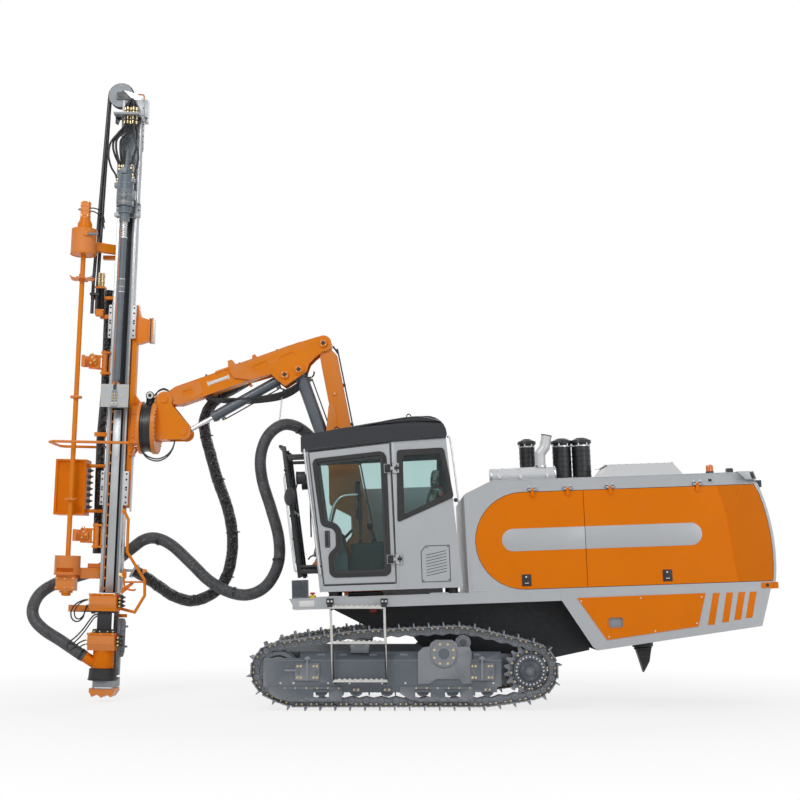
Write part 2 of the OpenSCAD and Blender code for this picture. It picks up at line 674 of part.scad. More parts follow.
module cab_door() color("silver") chassis() {
    difference() {
        side(-side_y, -side_y + cab_t) offset_door(run_gap);
        side(-side_y - 10, -side_y + cab_t + 10) polygon(DOOR_WINDOW);
    }
    // Handle
    block([-790, -side_y - 26, 1860], [-755, -side_y + 1, 2020]);
    for (z = [1690, 2715]) {
        translate([cab_hinge.x, cab_hinge.y, z - 18]) cylinder(h = 36, r = 13);
        block([-110, cab_hinge.y - 12, z - 18], [cab_hinge.x, cab_hinge.y + 11, z + 18]);
        block([-110, cab_hinge.y - 12, z - 50], [-34, -side_y + 1, z + 50]);
    }
}

module door_glass() color("lightblue", 0.4) chassis()
    side(-side_y + 18, -side_y + 24) polygon(grow(DOOR_WINDOW, [-300, 2040], -1.5));

module cab_glass() color("lightblue", 0.4) chassis() {
    side(-side_y + 18, -side_y + 24) polygon(grow(REAR_WINDOW, [340, 2600], -0.5));
    side(cab_in - 24, cab_in - 18) polygon(
        grow(FAR_WINDOW, [-160, 2300], -0.5));
    side(-side_y + 75.4, cab_in - 75.4) polygon([
        [-863, 1560.4], [-856, 1560.4], [-958, 2879.6], [-965, 2879.6],
    ]);
    side(-side_y + 120.4, cab_in - 120.4) polygon([
        [640, 2250.4], [647, 2250.4], [596, 2919.6], [589, 2919.6],
    ]);
}

// Domed roof cap, deeper towards the rear
module cab_roof() color("#10141c") chassis() {
    difference() {
        intersection() {
            side(-side_y - 14, cab_in + 14) polygon(concat(
                [[-1046, 2936], [-10, 3017], [606, 3038]],
                [for (p = arc([390, 3080], 230, 0, 80, 5)) p],
                [[240, 3309], [-300, 3235], [-1020, 3125], [-1046, 3105]]));
            front(-1200, 800) polygon([
                [-side_y - 14, 2900], [-side_y - 14, 3190], [-side_y + 60, 3320],
                [cab_in - 60, 3320], [cab_in + 14, 3190], [cab_in + 14, 2900],
            ]);
        }
        side(-side_y + 62, cab_in - 62) polygon([
            [-940, 2900], [560, 2900], [575, 3110], [375, 3272], [240, 3277], [-300, 3205],
            [-1000, 3096], [-1000, 2990],
        ]);
        // Corner cut off where the boom swings past
        plan(2880, 3330) polygon([[-1156, cab_in - 156], [-1156, cab_in + 124], [-876, cab_in + 124]]);
        // Seat on the walls
        side(-side_y - seat_gap, cab_in + seat_gap) polygon([
            [-991.4, 2963.4], [606.4, 3046.4], [617.6, 2900], [-986.6, 2900],
        ]);
    }
    // Lifting eyes
    for (p = [[194, 3302], [-640, 3182]]) {
        for (y = [-side_y + 200, cab_in - 200]) difference() {
            pin_y(p[0], p[1] + 25, 30, y - 8, y + 8);
            pin_y(p[0], p[1] + 25, 18, y - 20, y + 20);
        }
    }
}

module seat() color("#3a4a4c") chassis() {
    translate([180, -700, cab_floor + seat_gap]) cylinder(h = 330, r = 70);
    block([-90, -930, 1739], [410, -470, 1850]);
    side(-920, -480) polygon([[330, 1849], [430, 1849], [520, 2500], [430, 2500]]);
    side(-830, -570) polygon([[445, 2499], [515, 2499], [530, 2700], [450, 2700]]);
}

module cab_console() color("#2c3234") chassis() {
    // Sloping front console
    side(-1050, -380) polygon([
        [-800, cab_floor + seat_gap], [-560, cab_floor + seat_gap], [-560, 1700], [-620, 2000], [-800, 2020],
    ]);
    // Right-hand console with its joystick
    block([-540, -420, cab_floor + seat_gap], [300, -260, 1900]);
    rail([[-260, -340, 1890], [-270, -340, 2000], [-300, -350, 2080]], 24);
    // Screens
    bar([-425, -310, 1890], [-425, -310, 2600], 18);
    block([-440, -560, 2440], [-410, -290, 2620]);
    block([-440, -530, 2190], [-410, -290, 2400]);
    // Fire extinguisher
    translate([540, -308, 2150]) cylinder(h = 380, r = 55);
    block([580, -320, 2200], [624, -262, 2240]);
}

// Front guard with its bars, wipers and grab rail
module cab_guard() color("#14171a") chassis() {
    for (y = [-side_y + 60, -side_y + 500, cab_in - 60]) rail([[-1243, y, 3003], [-1093, y, 1531]], 26);
    for (p = [[-1236, 2930], [-1168, 2270], [-1100, 1600]])
        bar([p[0], -side_y + 60, p[1]], [p[0], cab_in - 60, p[1]], 22);
    for (y = [-side_y + 60, cab_in - 60]) {
        bar([-1232, y, 2900], [-988.4, y, 2900], 20);
        bar([-1104, y, 1640], [-890.6, y, 1640], 20);
    }
    // Work lamps
    for (y = [-side_y + 40, cab_in - 40]) {
        pin_x(y, 2645, 72, -1090, -1010);
        bar([-1050, y, 2640], [-968, y, 2640], 18);
    }
}

// Boom

// A plate in side view, rounded out at each pin: [x, z, radius]
module fork_plate(points, bosses) {
    polygon(points);
    for (b = bosses) translate([b[0], b[1]]) circle(b[2]);
}

module both_plates(y0, y1) for (s = [-1, 1]) side(min(s * y0, s * y1), max(s * y0, s * y1)) children();

foot_c = side_to_chassis(foot_pin);
lift_c = side_to_chassis(lift_base);

module boom_bracket() color("orange") chassis() translate([0, boom_y, 0]) {
    difference() {
        union() {
            translate([foot_c.x, 0, deck_top + 12 + seat_gap]) cylinder(h = 40, r = 240);
            translate([foot_c.x, 0, deck_top + 40]) cylinder(h = 190, r = 128);
            both_plates(lower_hw + fork_gap, lower_hw + fork_gap + 30) fork_plate([
                [foot_c.x + 190, deck_top + 45], [foot_c.x + 105, foot_c.y], [foot_c.x - 60, foot_c.y + 98],
                [-690, 1860], [lift_c.x - 20, lift_c.y + 76], [lift_c.x - 70, lift_c.y - 30],
                [-700, deck_top + 45],
            ], [[foot_c.x, foot_c.y, 110], [lift_c.x, lift_c.y, 78]]);
            block([foot_c.x - 270, -lower_hw - fork_gap - 1, deck_top + 45],
                [foot_c.x - 230, lower_hw + fork_gap + 1, 1560]);
        }
        translate([foot_c.x, 0, deck_top - 10]) cylinder(h = 221 + seat_gap, r = 90 + seat_gap);
    }
    reach = lower_hw + fork_gap + 42;
    pin_y(foot_c.x, foot_c.y, 50, -reach, reach);
    pin_y(lift_c.x, lift_c.y, 36, -reach, reach);
}

lower_back = -140;
lower_front = 76;
function in_lower(p) = turn(p - foot_pin, -lower_dir);
fold_l = in_lower(fold_eye);
lift_l = in_lower(lift_eye);

// The lower boom lies along X here, with its front towards +Z, lowered where the fold cylinder comes near
module lower_boom() color("orange") along(foot_pin, lower_dir) {
    difference() {
        union() {
            side(-lower_hw, lower_hw) {
                polygon([
                    [-60, -80], [60, lower_back], [lower_len - 180, lower_back], [lower_len - 70, -70],
                    [lower_len - 70, 70], [lower_len - 260, lower_front], [1560, lower_front], [1430, 38],
                    [770, 38], [640, lower_front], [60, lower_front], [-60, 80],
                ]);
                circle(98);
                translate([lower_len, 0]) circle(96);
            }
            // Gusset plates that carry the cylinders
            both_plates(lower_hw - 8, lower_hw + 8) fork_plate([
                [1716, 20], [1690, lower_front + 10], [1397, 171],
                [fold_l.x + 60, fold_l.y + 66],
                [lift_l.x + 20, lift_l.y + 68], [lift_l.x - 60, lift_l.y + 30], [250, 20],
            ], [[fold_l.x, fold_l.y, 74], [lift_l.x, lift_l.y, 70]]);
            // Bosses over the cylinder eyes
            for (p = [fold_l, lift_l]) both_plates(lower_hw, lower_hw + 16) translate(p) circle(44);
        }
        // Hollow box
        side(-lower_hw + 16, lower_hw - 16) polygon([
            [170, lower_back + 16], [lower_len - 230, lower_back + 16],
            [lower_len - 230, lower_front - 16], [1560, lower_front - 16], [1430, 22], [770, 22],
            [640, lower_front - 16], [170, lower_front - 16],
        ]);
        pin_y(0, 0, 50 + seat_gap, -300, 300);
        pin_y(lower_len, 0, 45 + seat_gap, -300, 300);
        // Obround recesses
        for (x = [1410, 2150]) both_plates(lower_hw + 1, lower_hw + 9) slot2d([x, 0], 90, 24, 0);
    }
}

// An obround: half its length between centres, its radius and its slope
module slot2d(c, half, r, slope) translate(c) rotate(slope) {
    translate([-half, 0]) circle(r);
    translate([half, 0]) circle(r);
    translate([-half, -r * 0.999]) square([2 * half, 2 * r * 0.999]);
}

function in_upper(p) = turn(p - head_pin, -upper_dir);
fold_u = in_upper(fold_base);
tilt_u = in_upper(tilt_base);
bundle_u = in_upper([BUNDLE_PATH[0].x, BUNDLE_PATH[0].z]);
upper_top = 112;
upper_low = -122;
DOUBLER = [
    [895, 196], [948, 190], [976, 115], [1823, 115], [upper_len - 20, 103], [upper_len + 62, -60],
    [1937, -129], [1844, -174], [1765, -270], [1464, -345], [1394, -236], [1349, -142],
    [1084, -125], [899, -30], [868, 87],
];

// The upper boom lies along X here, from the head pin to the elbow
module upper_boom() color("orange") along(head_pin, upper_dir) {
    plate_out = upper_hw + doubler_t;
    difference() {
        union() {
            side(-upper_hw, upper_hw) {
                polygon([
                    [-30, 55], [170, upper_top], [upper_len - 132, upper_top], [upper_len - 147, -30],
                    [upper_len - 243, upper_low], [170, upper_low], [-30, -55],
                ]);
                circle(66);
            }
            both_plates(upper_hw - 1, plate_out) fork_plate(DOUBLER, [[upper_len, 0, 102]]);
            // Bosses of the cylinder pins and the knuckle
            for (b = [[fold_u.x, fold_u.y, 70], [tilt_u.x, tilt_u.y, 58], [upper_len, 0, 52]])
                both_plates(plate_out - 1, plate_out + 14) translate([b[0], b[1]]) circle(b[2]);
            // Side plates at the head end
            both_plates(upper_hw - 1, upper_hw + 5)
                polygon([[200, 96], [430, 96], [480, 60], [480, -60], [430, -96], [200, -96]]);
            // Hose bracket on the far side, and the bulkhead where the hose bundle starts
            block([560, upper_hw - 1, -110], [610, upper_hw + 20, -60]);
            translate([bundle_u.x, BUNDLE_PATH[0].y - boom_y, bundle_u.y])
                rotate([0, upper_dir - direction([-2060, 3880], [-1950, 3950]), 0])
                    block([seat_gap, -92, -88], [40, 80, 88]);
        }
        side(-upper_hw + 16, upper_hw - 16) polygon([
            [180, upper_top - 16], [upper_len - 260, upper_top - 16], [upper_len - 260, upper_low + 16],
            [180, upper_low + 16],
        ]);
        pin_y(0, 0, 40 + seat_gap, -300, 300);
        for (c = [[1252, -5], [1604, -10]]) both_plates(plate_out - 8, plate_out + 1) slot2d(c, 72, 36, 3);
        both_plates(upper_hw - 3, upper_hw + 10) slot2d([300, 0], 40, 22, 0);
    }
    reach = plate_out + 20;
    pin_y(upper_len, 0, 45, -reach, reach);
    pin_y(fold_u.x, fold_u.y, 40, -reach, reach);
    pin_y(tilt_u.x, tilt_u.y, 34, -reach, reach);
}

// A hydraulic barrel along X with its eye at the origin
// r: outside, cav: bore, rod: rod, long: barrel's end, eye: eye's radius, hw: half its width, pin: its pin
module barrel(r, cav, rod, long, eye, hw, pin) difference() {
    union() {
        pin_y(0, 0, eye, -hw, hw);
        pin_x(0, 0, r, eye * 0.7, long);
        pin_x(0, 0, r + 7, long - 70, long - 20);
    }
    pin_x(0, 0, cav, eye + 25, long - 60);
    pin_x(0, 0, rod + seat_gap, long - 70, long + 10);
    pin_y(0, 0, pin + seat_gap, -hw - 10, hw + 10);
}

// The rod with its piston, and an eye at the far pin
module piston_rod(total, at, cav, rod, eye, hw) {
    pin_x(0, 0, cav - seat_gap, at, at + 50);
    pin_x(0, 0, rod, at + 10, total - eye * 0.6);
    pin_y(total, 0, eye, -hw, hw);
}

lift_span = norm(lift_eye - lift_base);
fold_span = norm(fold_eye - fold_base);
tilt_span = norm(tilt_eye - tilt_base);
module on_lift() along(lift_base, direction(lift_base, lift_eye)) children();
module on_fold() along(fold_base, direction(fold_base, fold_eye)) children();
module on_tilt() along(tilt_base, direction(tilt_base, tilt_eye)) children();

module lift_barrel() color("slategray") on_lift() barrel(62, 50, 32, lift_span * 0.6549, 62, 100, 36);
module lift_rod() color("gainsboro") on_lift() piston_rod(lift_span, lift_span * 0.3759, 50, 32, 50, 88);
module fold_barrel() color("slategray") on_fold() barrel(82, 68, 40, fold_span * 0.7523, 74, 100, 40);
module fold_rod() color("gainsboro") on_fold() piston_rod(fold_span, fold_span * 0.2633, 68, 40, 62, 84);
module tilt_barrel() color("slategray") on_tilt() barrel(64, 52, 29, tilt_span * 0.7298, 58, 100, 34);
module tilt_rod() color("gainsboro") on_tilt() piston_rod(tilt_span, tilt_span * 0.2089, 52, 29, 54, 80);

// Feed: everything here is drawn in the feed's frame

function in_feed(p) = turn(p - feed_foot_at, feed_lean);
head_f = in_feed(head_pin);
tilt_f = in_feed(tilt_eye);
bundle_f = in_feed([BUNDLE_PATH[17].x, BUNDLE_PATH[17].z]);
slew_in = 306;
drum_x0 = slew_in + 6;
drum_x1 = 440;
flange_x1 = 490;

module boom_head() color("orange") feed() {
    difference() {
        union() {
            // Slew drum and its bolted flange
            pin_x(0, slew_z, 292, drum_x0, drum_x1 + 1);
            pin_x(0, slew_z, slew_r, drum_x1, flange_x1);
            both_plates(upper_hw + fork_gap, upper_hw + fork_gap + 30) fork_plate([
                [flange_x1 - 2, slew_z + 285], [head_f.x - 40, head_f.y + 92], [head_f.x + 60, head_f.y + 80],
                [head_f.x + 95, head_f.y - 60], [tilt_f.x + 80, tilt_f.y + 62],
                [tilt_f.x + 40, tilt_f.y - 88],
                [flange_x1 - 2, slew_z - 160],
            ], [[head_f.x, head_f.y, 100], [tilt_f.x, tilt_f.y, 95]]);
            // Rib between the plates, below the tilt rod
            block([flange_x1 - 2, -upper_hw - fork_gap - 1, slew_z - 155],
                [tilt_f.x - 190, upper_hw + fork_gap + 1, slew_z - 125]);
            for (p = [head_f, tilt_f]) both_plates(upper_hw + fork_gap + 29, upper_hw + fork_gap + 40)
                translate(p) circle(46);
            both_plates(92, upper_hw + fork_gap + 1) translate(tilt_f) circle(46);
            // Slew motor
            pin_y(388, slew_z + 395, 48, -90, 60);
            translate([388, 0, slew_z + 270]) cylinder(h = 100, r = 62);
        }
        pin_x(0, slew_z, 150 + seat_gap, drum_x0 - 10, drum_x1 - 20);
    }
    reach = upper_hw + fork_gap + 44;
    pin_y(head_f.x, head_f.y, 40, -reach, reach);
}

beam_h = beam_w / 2;
rail_h = 40;
web_x = beam_h - 25;
BEAM = [
    [-beam_h, -beam_h], [-beam_h + 42, -beam_h], [-beam_h + 42, -beam_h + 50], [beam_h - 42, -beam_h + 50],
    [beam_h - 42, -beam_h], [beam_h, -beam_h], [beam_h, -beam_h + rail_h], [web_x, -beam_h + rail_h + 12],
    [web_x, beam_h - rail_h - 12], [beam_h, beam_h - rail_h], [beam_h, beam_h], [-beam_h, beam_h],
    [-beam_h, beam_h - rail_h], [-web_x, beam_h - rail_h - 12], [-web_x, -beam_h + rail_h + 12],
    [-beam_h, -beam_h + rail_h],
];
cradle_z = [1046, 3588];
hoop_z = 1815;

module feed_cradle() color("orange") feed() {
    shoe_x = beam_h + seat_gap;
    difference() {
        union() {
            // Long bar behind the beam, box and flange of the slew bearing
            block([shoe_x + 8, -62, cradle_z[0]], [shoe_x + 70, 62, cradle_z[1]]);
            block([shoe_x + 60, -170, 1831], [278, 170, 2300]);
            side(-40, 40) polygon([[shoe_x + 60, 2299], [278, 2299], [276, 2340], [shoe_x + 60, 2480]]);
            pin_x(0, slew_z, slew_r, 276, slew_in);
            pin_x(0, slew_z, 150, slew_in - 1, drum_x1 - 30);
            // Slide holders that reach into the beam's side grooves
            for (z = [cradle_z[0] + 25, cradle_z[1] - 435]) {
                block([shoe_x, -100, z], [shoe_x + 58, 100, z + 420]);
                block([web_x + seat_gap, -60, z], [shoe_x + 1, 60, z + 420]);
            }
            // Flared hose guide near the top
            side(-60, 60) polygon([
                [shoe_x + 60, 3100], [shoe_x + 60, cradle_z[1] - 48], [shoe_x + 75, cradle_z[1] - 48],
                [shoe_x + 100, 3440],
                [335, 3405], [335, 3140], [shoe_x + 110, 3105],
            ]);
            block([334, -80, 3120], [348, 80, 3425]);
            block([362, -80, 3120], [385, 80, 3425]);
            block([340, -70, 3130], [370, 70, 3415]);
            // Hoop round the feed
            rail([
                [shoe_x + 60, -90, 1720], [shoe_x + 130, -260, 1760], [shoe_x + 90, -425, hoop_z],
                [-700, -425, hoop_z],
                [-765, -340, hoop_z], [-765, 180, hoop_z], [-700, 230, hoop_z], [shoe_x + 90, 230, hoop_z],
                [shoe_x + 60, 90, 1720],
            ], 17);
            block([shoe_x + 30, -110, 1690], [shoe_x + 80, 110, 1760]);
        }
        // Hollow slew box
        block([shoe_x + 76, -154, 1847], [262, 154, 2284]);
    }
}

module feed_beam() color("silver") feed() {
    difference() {
        union() {
            plan(0, beam_len) difference() {
                polygon(BEAM);
                translate([-64, -40]) square([128, 66]);
                translate([-64, 44]) square([128, 52]);
            }
            block([-beam_h, -beam_h, beam_len - 1], [beam_h, beam_h, beam_len + 14]);
        }
        // Notch for the hose pulley
        block([-beam_h - 1, -beam_h - 1, pulley_at.y - pulley_r - 8],
            [pulley_at.x + pulley_r + 8, -2, beam_len + 20]);
    }
    // Pulley bracket and head cover
    for (y = [-130, -2]) side(y, y + 12) polygon([
        [10, beam_len - 20], [112, beam_len - 20], [112, beam_len + 13], [60, beam_len + 60],
        [pulley_at.x + 40, pulley_at.y + 60], [pulley_at.x - 50, pulley_at.y + 30],
        [pulley_at.x - 50, pulley_at.y - 60],
    ]);
    block([web_x - 10, -60, beam_len - 280], [beam_h + 70, 60, beam_len + 13]);
    pin_y(pulley_at.x, pulley_at.y, 30, -135, 15);
    // Bar that carries the foot
    block([60, -60, -1010], [beam_h - 6, 10, 320]);
    // Bracket and pivot of each gripper
    for (z = grip_z) {
        for (k = [z[0], z[1] - 24])
            block([gripper_at.x - 40, gripper_at.y - 36, k], [-beam_h + 1, gripper_at.y + 36, k + 24]);
        block([-beam_h - 20, -114, z[0]], [-beam_h + 1, -94, z[1]]);
        translate([gripper_at.x, gripper_at.y, z[0] - 12]) cylinder(h = z[1] - z[0] + 24, r = 18);
    }
    // Tubes that carry the cabinet
    for (z = [1000, 1560]) bar([-350, 20, z], [-web_x + 1, 20, z], 22);
    // Hose brackets in front of the beam
    for (z = [305, 1930, 3420, 4180]) block([-300, -14, z], [-web_x + 1, 51.7, z + 50]);
    block([-425, -35, 3660], [-web_x + 1, 20, 3699.7]);
    // Bulkhead where the boom's hose bundle ends
    block([beam_h - 2, 100, 262], [232, 130, 296]);
    translate([bundle_f.x, BUNDLE_PATH[17].y - boom_y, bundle_f.y]) rotate([0, -152.9, 0])
        block([seat_gap, -84, -88], [28, 84, 88]);
}

module hose_pulley() color("slategray") feed() difference() {
    union() {
        for (y = [-114, -14]) pin_y(pulley_at.x, pulley_at.y, pulley_r, y, y + 8);
        pin_y(pulley_at.x, pulley_at.y, pulley_r - 30, -107, -13);
    }
    pin_y(pulley_at.x, pulley_at.y, 30 + seat_gap, -200, 100);
}

// Carriage and drifter, stacked from round and milled sections: [z, length, radius]
DRIFTER = [
    [4608, 110, 62], [4717, 92, 78], [4808, 200, 104], [5007, 184, 96], [5190, 120, 70], [5309, 210, 52],
];

module drifter() color("slategray") feed() {
    y_rail = -beam_h - seat_gap;
    difference() {
        union() {
            block([-108, y_rail - 34, carriage_z[0]], [108, y_rail, carriage_z[1]]);
            for (d = DRIFTER) translate([0, -rod_offset, d[0]]) cylinder(h = d[1], r = d[2]);
            for (z = [4740, 5020, 5250]) block([-84, -rod_offset - 30, z], [84, y_rail - 33, z + 90]);
            // Motor beside the gearbox
            translate([-60, -rod_offset - 30, 4830]) cylinder(h = 420, r = 46);
            // Hose clamp shelf
            block([-190, -rod_offset - 60, 5985], [135, -180, 6005]);
            block([-100, -181, 5985], [100, y_rail - 33, 6005]);
        }
        translate([0, -rod_offset, 4600]) cylinder(h = 150, r = 32 + seat_gap);
    }
}

module drill_rod() color("gray") feed() translate([0, -rod_offset, 0]) {
    translate([0, 0, 2480]) cylinder(h = 121, r = 26);
    translate([0, 0, 2600]) cylinder(h = 1810, r = rod_r);
    translate([0, 0, 3700]) cylinder(h = 180, r = rod_r + 3);
    translate([0, 0, 4409]) cylinder(h = 330, r = 32);
}

module rod_support() color("silver") feed() {
    y_rail = -beam_h - seat_gap;
    difference() {
        union() {
            block([-108, y_rail - 30, 2270], [108, y_rail, 2530]);
            block([-75, -rod_offset - 70, 2290], [75, y_rail - 29, 2510]);
            block([-170, -rod_offset - 84, 2258], [170, -rod_offset - 69, 2541]);
        }
        translate([0, -rod_offset, 2000]) cylinder(h = 800, r = rod_r + 8);
        block([-22, -rod_offset - 100, 2330], [22, -rod_offset, 2700]);
    }
}

gripper_at = [-190, -130];
grip_from = 110;
grip_z = [[547, 834], [2691, 2975]];
mag_top = 4480;
mag_low = 440 + seat_gap;

// Turning spindle with its rod star
module rod_magazine() color("orange") feed() translate([magazine_x, -rod_offset, 0]) {
    translate([0, 0, mag_low]) cylinder(h = mag_top - seat_gap - mag_low, r = 30);
    plan(3856, 3870) difference() {
        circle(142);
        for (i = [0 : 5]) rotate(60 * i) translate([118, 0]) circle(34);
    }
}

module magazine_ends() color("orange") feed() {
    difference() {
        translate([magazine_x, -rod_offset, 4168]) cylinder(h = 324, r = 158);
        translate([magazine_x, -rod_offset, 4100]) cylinder(h = mag_top - 4100, r = 148);
    }
    translate([magazine_x, -rod_offset, 4491]) cylinder(h = 80, r = 90);
    translate([magazine_x, -rod_offset, 4570]) cylinder(h = 70, r = 62);
    block([magazine_x - 52, -rod_offset - 52, 4639], [magazine_x + 52, -rod_offset + 52, 4850]);
    difference() {
        translate([magazine_x, -rod_offset, 207]) cylinder(h = 233, r = 155);
        block([magazine_x - 100, -rod_offset - 170, 240], [magazine_x + 100, -rod_offset - 90, 290]);
    }
    block([magazine_x - 112, -rod_offset - 90, 20], [magazine_x + 112, -rod_offset + 90, 208]);
    // Arms to the beam
    for (z = [[4240, 110], [170, 130]]) {
        plan(z[0], z[0] + z[1]) polygon([
            [magazine_x + 100, -rod_offset + 115], [magazine_x + 150, -rod_offset + 40],
            [-web_x - seat_gap, -60], [-web_x - seat_gap, 30],
        ]);
    }
}

// Swinging arms that end in open jaws
module rod_grippers() color("orange") feed() {
    c = [magazine_x + grip_from, -rod_offset];
    d = c - gripper_at;
    for (z = grip_z) translate([gripper_at.x, gripper_at.y, 0]) rotate(atan2(d.y, d.x)) difference() {
        union() {
            plan(z[0] + 24 + seat_gap, z[1] - 24 - seat_gap) circle(34);
            for (k = [z[0] + 54, z[1] - 74]) plan(k, k + 20) translate([0, -26]) square([norm(d) - 40, 52]);
            plan(z[0] + 73, z[1] - 73) {
                translate([norm(d), 0]) circle(rod_r + 28);
                translate([60, -22]) square([norm(d) - 100, 44]);
            }
        }
        plan(z[0], z[1]) circle(18 + seat_gap);
        // Mouth, open in the direction in which the arm swings
        plan(z[0], z[1]) translate([norm(d), 0]) circle(rod_r + 7);
        plan(z[0], z[1]) translate([norm(d) - rod_r - 7, 0]) square([2 * rod_r + 14, 200]);
    }
}

module control_cabinet() color("darkorange") feed() {
    difference() {
        block([-730, -130, 943], [-350 - seat_gap, 150, 1626]);
        block([-700, -140, 970], [-380, -110, 1600]);
    }
}

module foot_clamps() color("orange") feed() difference() {
    union() {
        // Two jaw housings with their bevelled covers
        for (z = [-213, -679]) {
            side(-rod_offset - 130, -140) polygon([
                [-170, z], [150, z], [150, z + 206], [-170, z + 206],
            ]);
            front(-170, 150) polygon([
                [-rod_offset - 129, z + 5], [-rod_offset - 165, z + 80], [-rod_offset - 165, z + 180],
                [-rod_offset - 129, z + 202],
            ]);
            block([40, -141, z + 20], [beam_h - 8, -60 - seat_gap, z + 180]);
        }
        // Neck between the housings
        translate([0, -rod_offset, -475]) cylinder(h = 265, r = 78);
        block([-135, -rod_offset - 60, -470], [135, -rod_offset + 90, -430]);
        // Stub for rod storage
        block([-470, -190, -232], [-160, -150, -150]);
        // Tube guard beside the foot
        rail([
            [beam_h + 26, -138, 1000], [198, -138, 898], [201, -138, 505], [431, -138, 161],
            [439, -138, -20], [327, -138, -224], [130, -138, -180],
        ], 18);
        block([beam_h + seat_gap, -158, 978], [beam_h + 46, -108, 1022]);
        block([60, -158, -205], [150, -118, -155]);
    }
    translate([0, -rod_offset, -1000]) cylinder(h = 1200, r = rod_r + 8);
}

module dust_hood() color("darkorange") feed() difference() {
    union() {
        translate([0, -rod_offset, -892]) cylinder(h = 213 - seat_gap, r = 125);
        translate([0, -rod_offset, -899]) cylinder(h = 20, r = 132);
        bar([-67, -250.1, -857.3], [-228.9, -265, -759.1], 66);
        // Rubber skirt
        translate([0, -rod_offset, -1034]) cylinder(h = 136, r1 = 172, r2 = 160);
    }
    translate([0, -rod_offset, -1100]) cylinder(h = 410, r = 100);
    translate([0, -rod_offset, -1100]) cylinder(h = 500, r = rod_r + 8);
    translate([0, -rod_offset, -1100]) cylinder(h = 180, r = 140);
    bar([-67, -250.1, -857.3], [-263, -268.1, -738.4], 56);
}

module feed_foot() color("slategray") feed() difference() {
    union() {
        block([30, -61, -1120], [150, 40, -1010.3]);
        front(-90, 150) polygon([[-60, -1130], [-60, -1034.3], [-400, -1034.3], [-400, -1130]]);
        // Toothed foot
        side(-rod_offset - 130, -60) polygon([
            [-130, -1125], [170, -1125], [170, -1165], [130, -1225], [80, -1190], [20, -1233], [-40, -1190],
            [-95, -1225], [-130, -1165],
        ]);
    }
    translate([0, -rod_offset, -1300]) cylinder(h = 400, r = rod_r + 14);
}

// Feed hoses from the pulley down to their manifold, held at both ends
function feed_hose_path(k) = let(x = -395 + 55 * k, y = -83 + 46 * k, r = pulley_r - 5) concat(
    [[x, -60, 3470], [x, -60, 3880]],
    [for (i = [0 : 9]) let(a = 182 - 20.2 * i) [pulley_at.x + r * cos(a), y, pulley_at.y + r * sin(a)]]);
SHEATH_PATH = [[-225, 110, 3800], [-215, 112, 2500], [-240, 112, 1900], [-225, 110, 1000], [-215, 100, 480]];

module feed_hoses() color("#111315") feed() {
    for (k = [0, 1]) hose(feed_hose_path(k), 22, 10);
    block([-425, -96, 3700], [-310, -24, 3730]);
    // Wrapped bundle down the front of the beam
    hose(SHEATH_PATH, 58, 10);
}

// A hose as one swept tube: each ring stands across the route
function tangent(path, i) = let(n = len(path), d = path[min(i + 1, n - 1)] - path[max(i - 1, 0)]) d / norm(d);
function ring_at(path, i, r, sides) = let(
    t = tangent(path, i), u = cross([0, 1, 0], t) / norm(cross([0, 1, 0], t)), v = cross(t, u))
    [for (k = [0 : sides - 1]) path[i] + r * (cos(360 * k / sides) * u + sin(360 * k / sides) * v)];
module hose(path, r, sides) {
    n = len(path);
    polyhedron(
        [for (i = [0 : n - 1]) each ring_at(path, i, r, sides)],
        concat(
            [[for (k = [0 : sides - 1]) k]],
            [for (i = [0 : n - 2], k = [0 : sides - 1]) let(a = i * sides, m = (k + 1) % sides)
                each [[a + k, a + sides + k, a + sides + m], [a + k, a + sides + m, a + m]]],
            [[for (k = [sides - 1 : -1 : 0]) (n - 1) * sides + k]]));
}

module suction_hose() color("#3b3d40") place() hose(SUCTION_PATH, suction_r, 10);
module boom_hoses() color("#111315") place() hose(BUNDLE_PATH, bundle_r, 10);

track(-1);  // track_left
track(1);  // track_right
track_frames();
track_rollers();
track_sprockets();
pivot_axle();
belly_frame();
deck();
side_skirts();
skirt_panels();
steps();
engine();
hood_shell();
hood_door_left_front();
hood_door_left_rear();
hood_door_right_front();
hood_door_right_rear();
exhaust();
air_filters();
roof_cowl();
roof_lamps();
dust_collector();
cab_shell();
cab_roof();
cab_door();
door_glass();
cab_glass();
seat();
cab_console();
cab_guard();
boom_bracket();
lower_boom();
upper_boom();
lift_barrel();
lift_rod();
fold_barrel();
fold_rod();
tilt_barrel();
tilt_rod();
boom_head();
feed_cradle();
feed_beam();
hose_pulley();
drifter();
drill_rod();
rod_support();
rod_magazine();
magazine_ends();
rod_grippers();
control_cabinet();
foot_clamps();
dust_hood();
feed_foot();
feed_hoses();
suction_hose();
boom_hoses();
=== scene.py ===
"""Top hammer drilling rig: paint, hoses, bolts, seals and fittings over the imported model.

Every size below is in millimetres, in the frame of what carries the piece, and is turned into metres once."""

import math

import bmesh
import bpy
from bpy.props import FloatProperty, FloatVectorProperty, IntProperty, PointerProperty
from mathutils import Matrix, Vector, noise


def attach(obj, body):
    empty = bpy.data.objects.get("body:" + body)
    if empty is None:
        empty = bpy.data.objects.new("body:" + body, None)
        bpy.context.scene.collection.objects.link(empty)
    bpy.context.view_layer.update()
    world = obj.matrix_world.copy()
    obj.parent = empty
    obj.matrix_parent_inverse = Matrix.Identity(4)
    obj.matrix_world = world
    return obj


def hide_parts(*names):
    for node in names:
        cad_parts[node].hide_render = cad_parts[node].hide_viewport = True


bl_info = {
    "name": "Drilling rig dressing",
    "version": (1, 0, 0),
    "blender": (4, 5, 0),
    "location": "View3D > Sidebar > Drilling Rig",
    "description": "Dresses the packed drilling rig with its finishes, hoses, fasteners and fittings",
    "category": "Object",
}

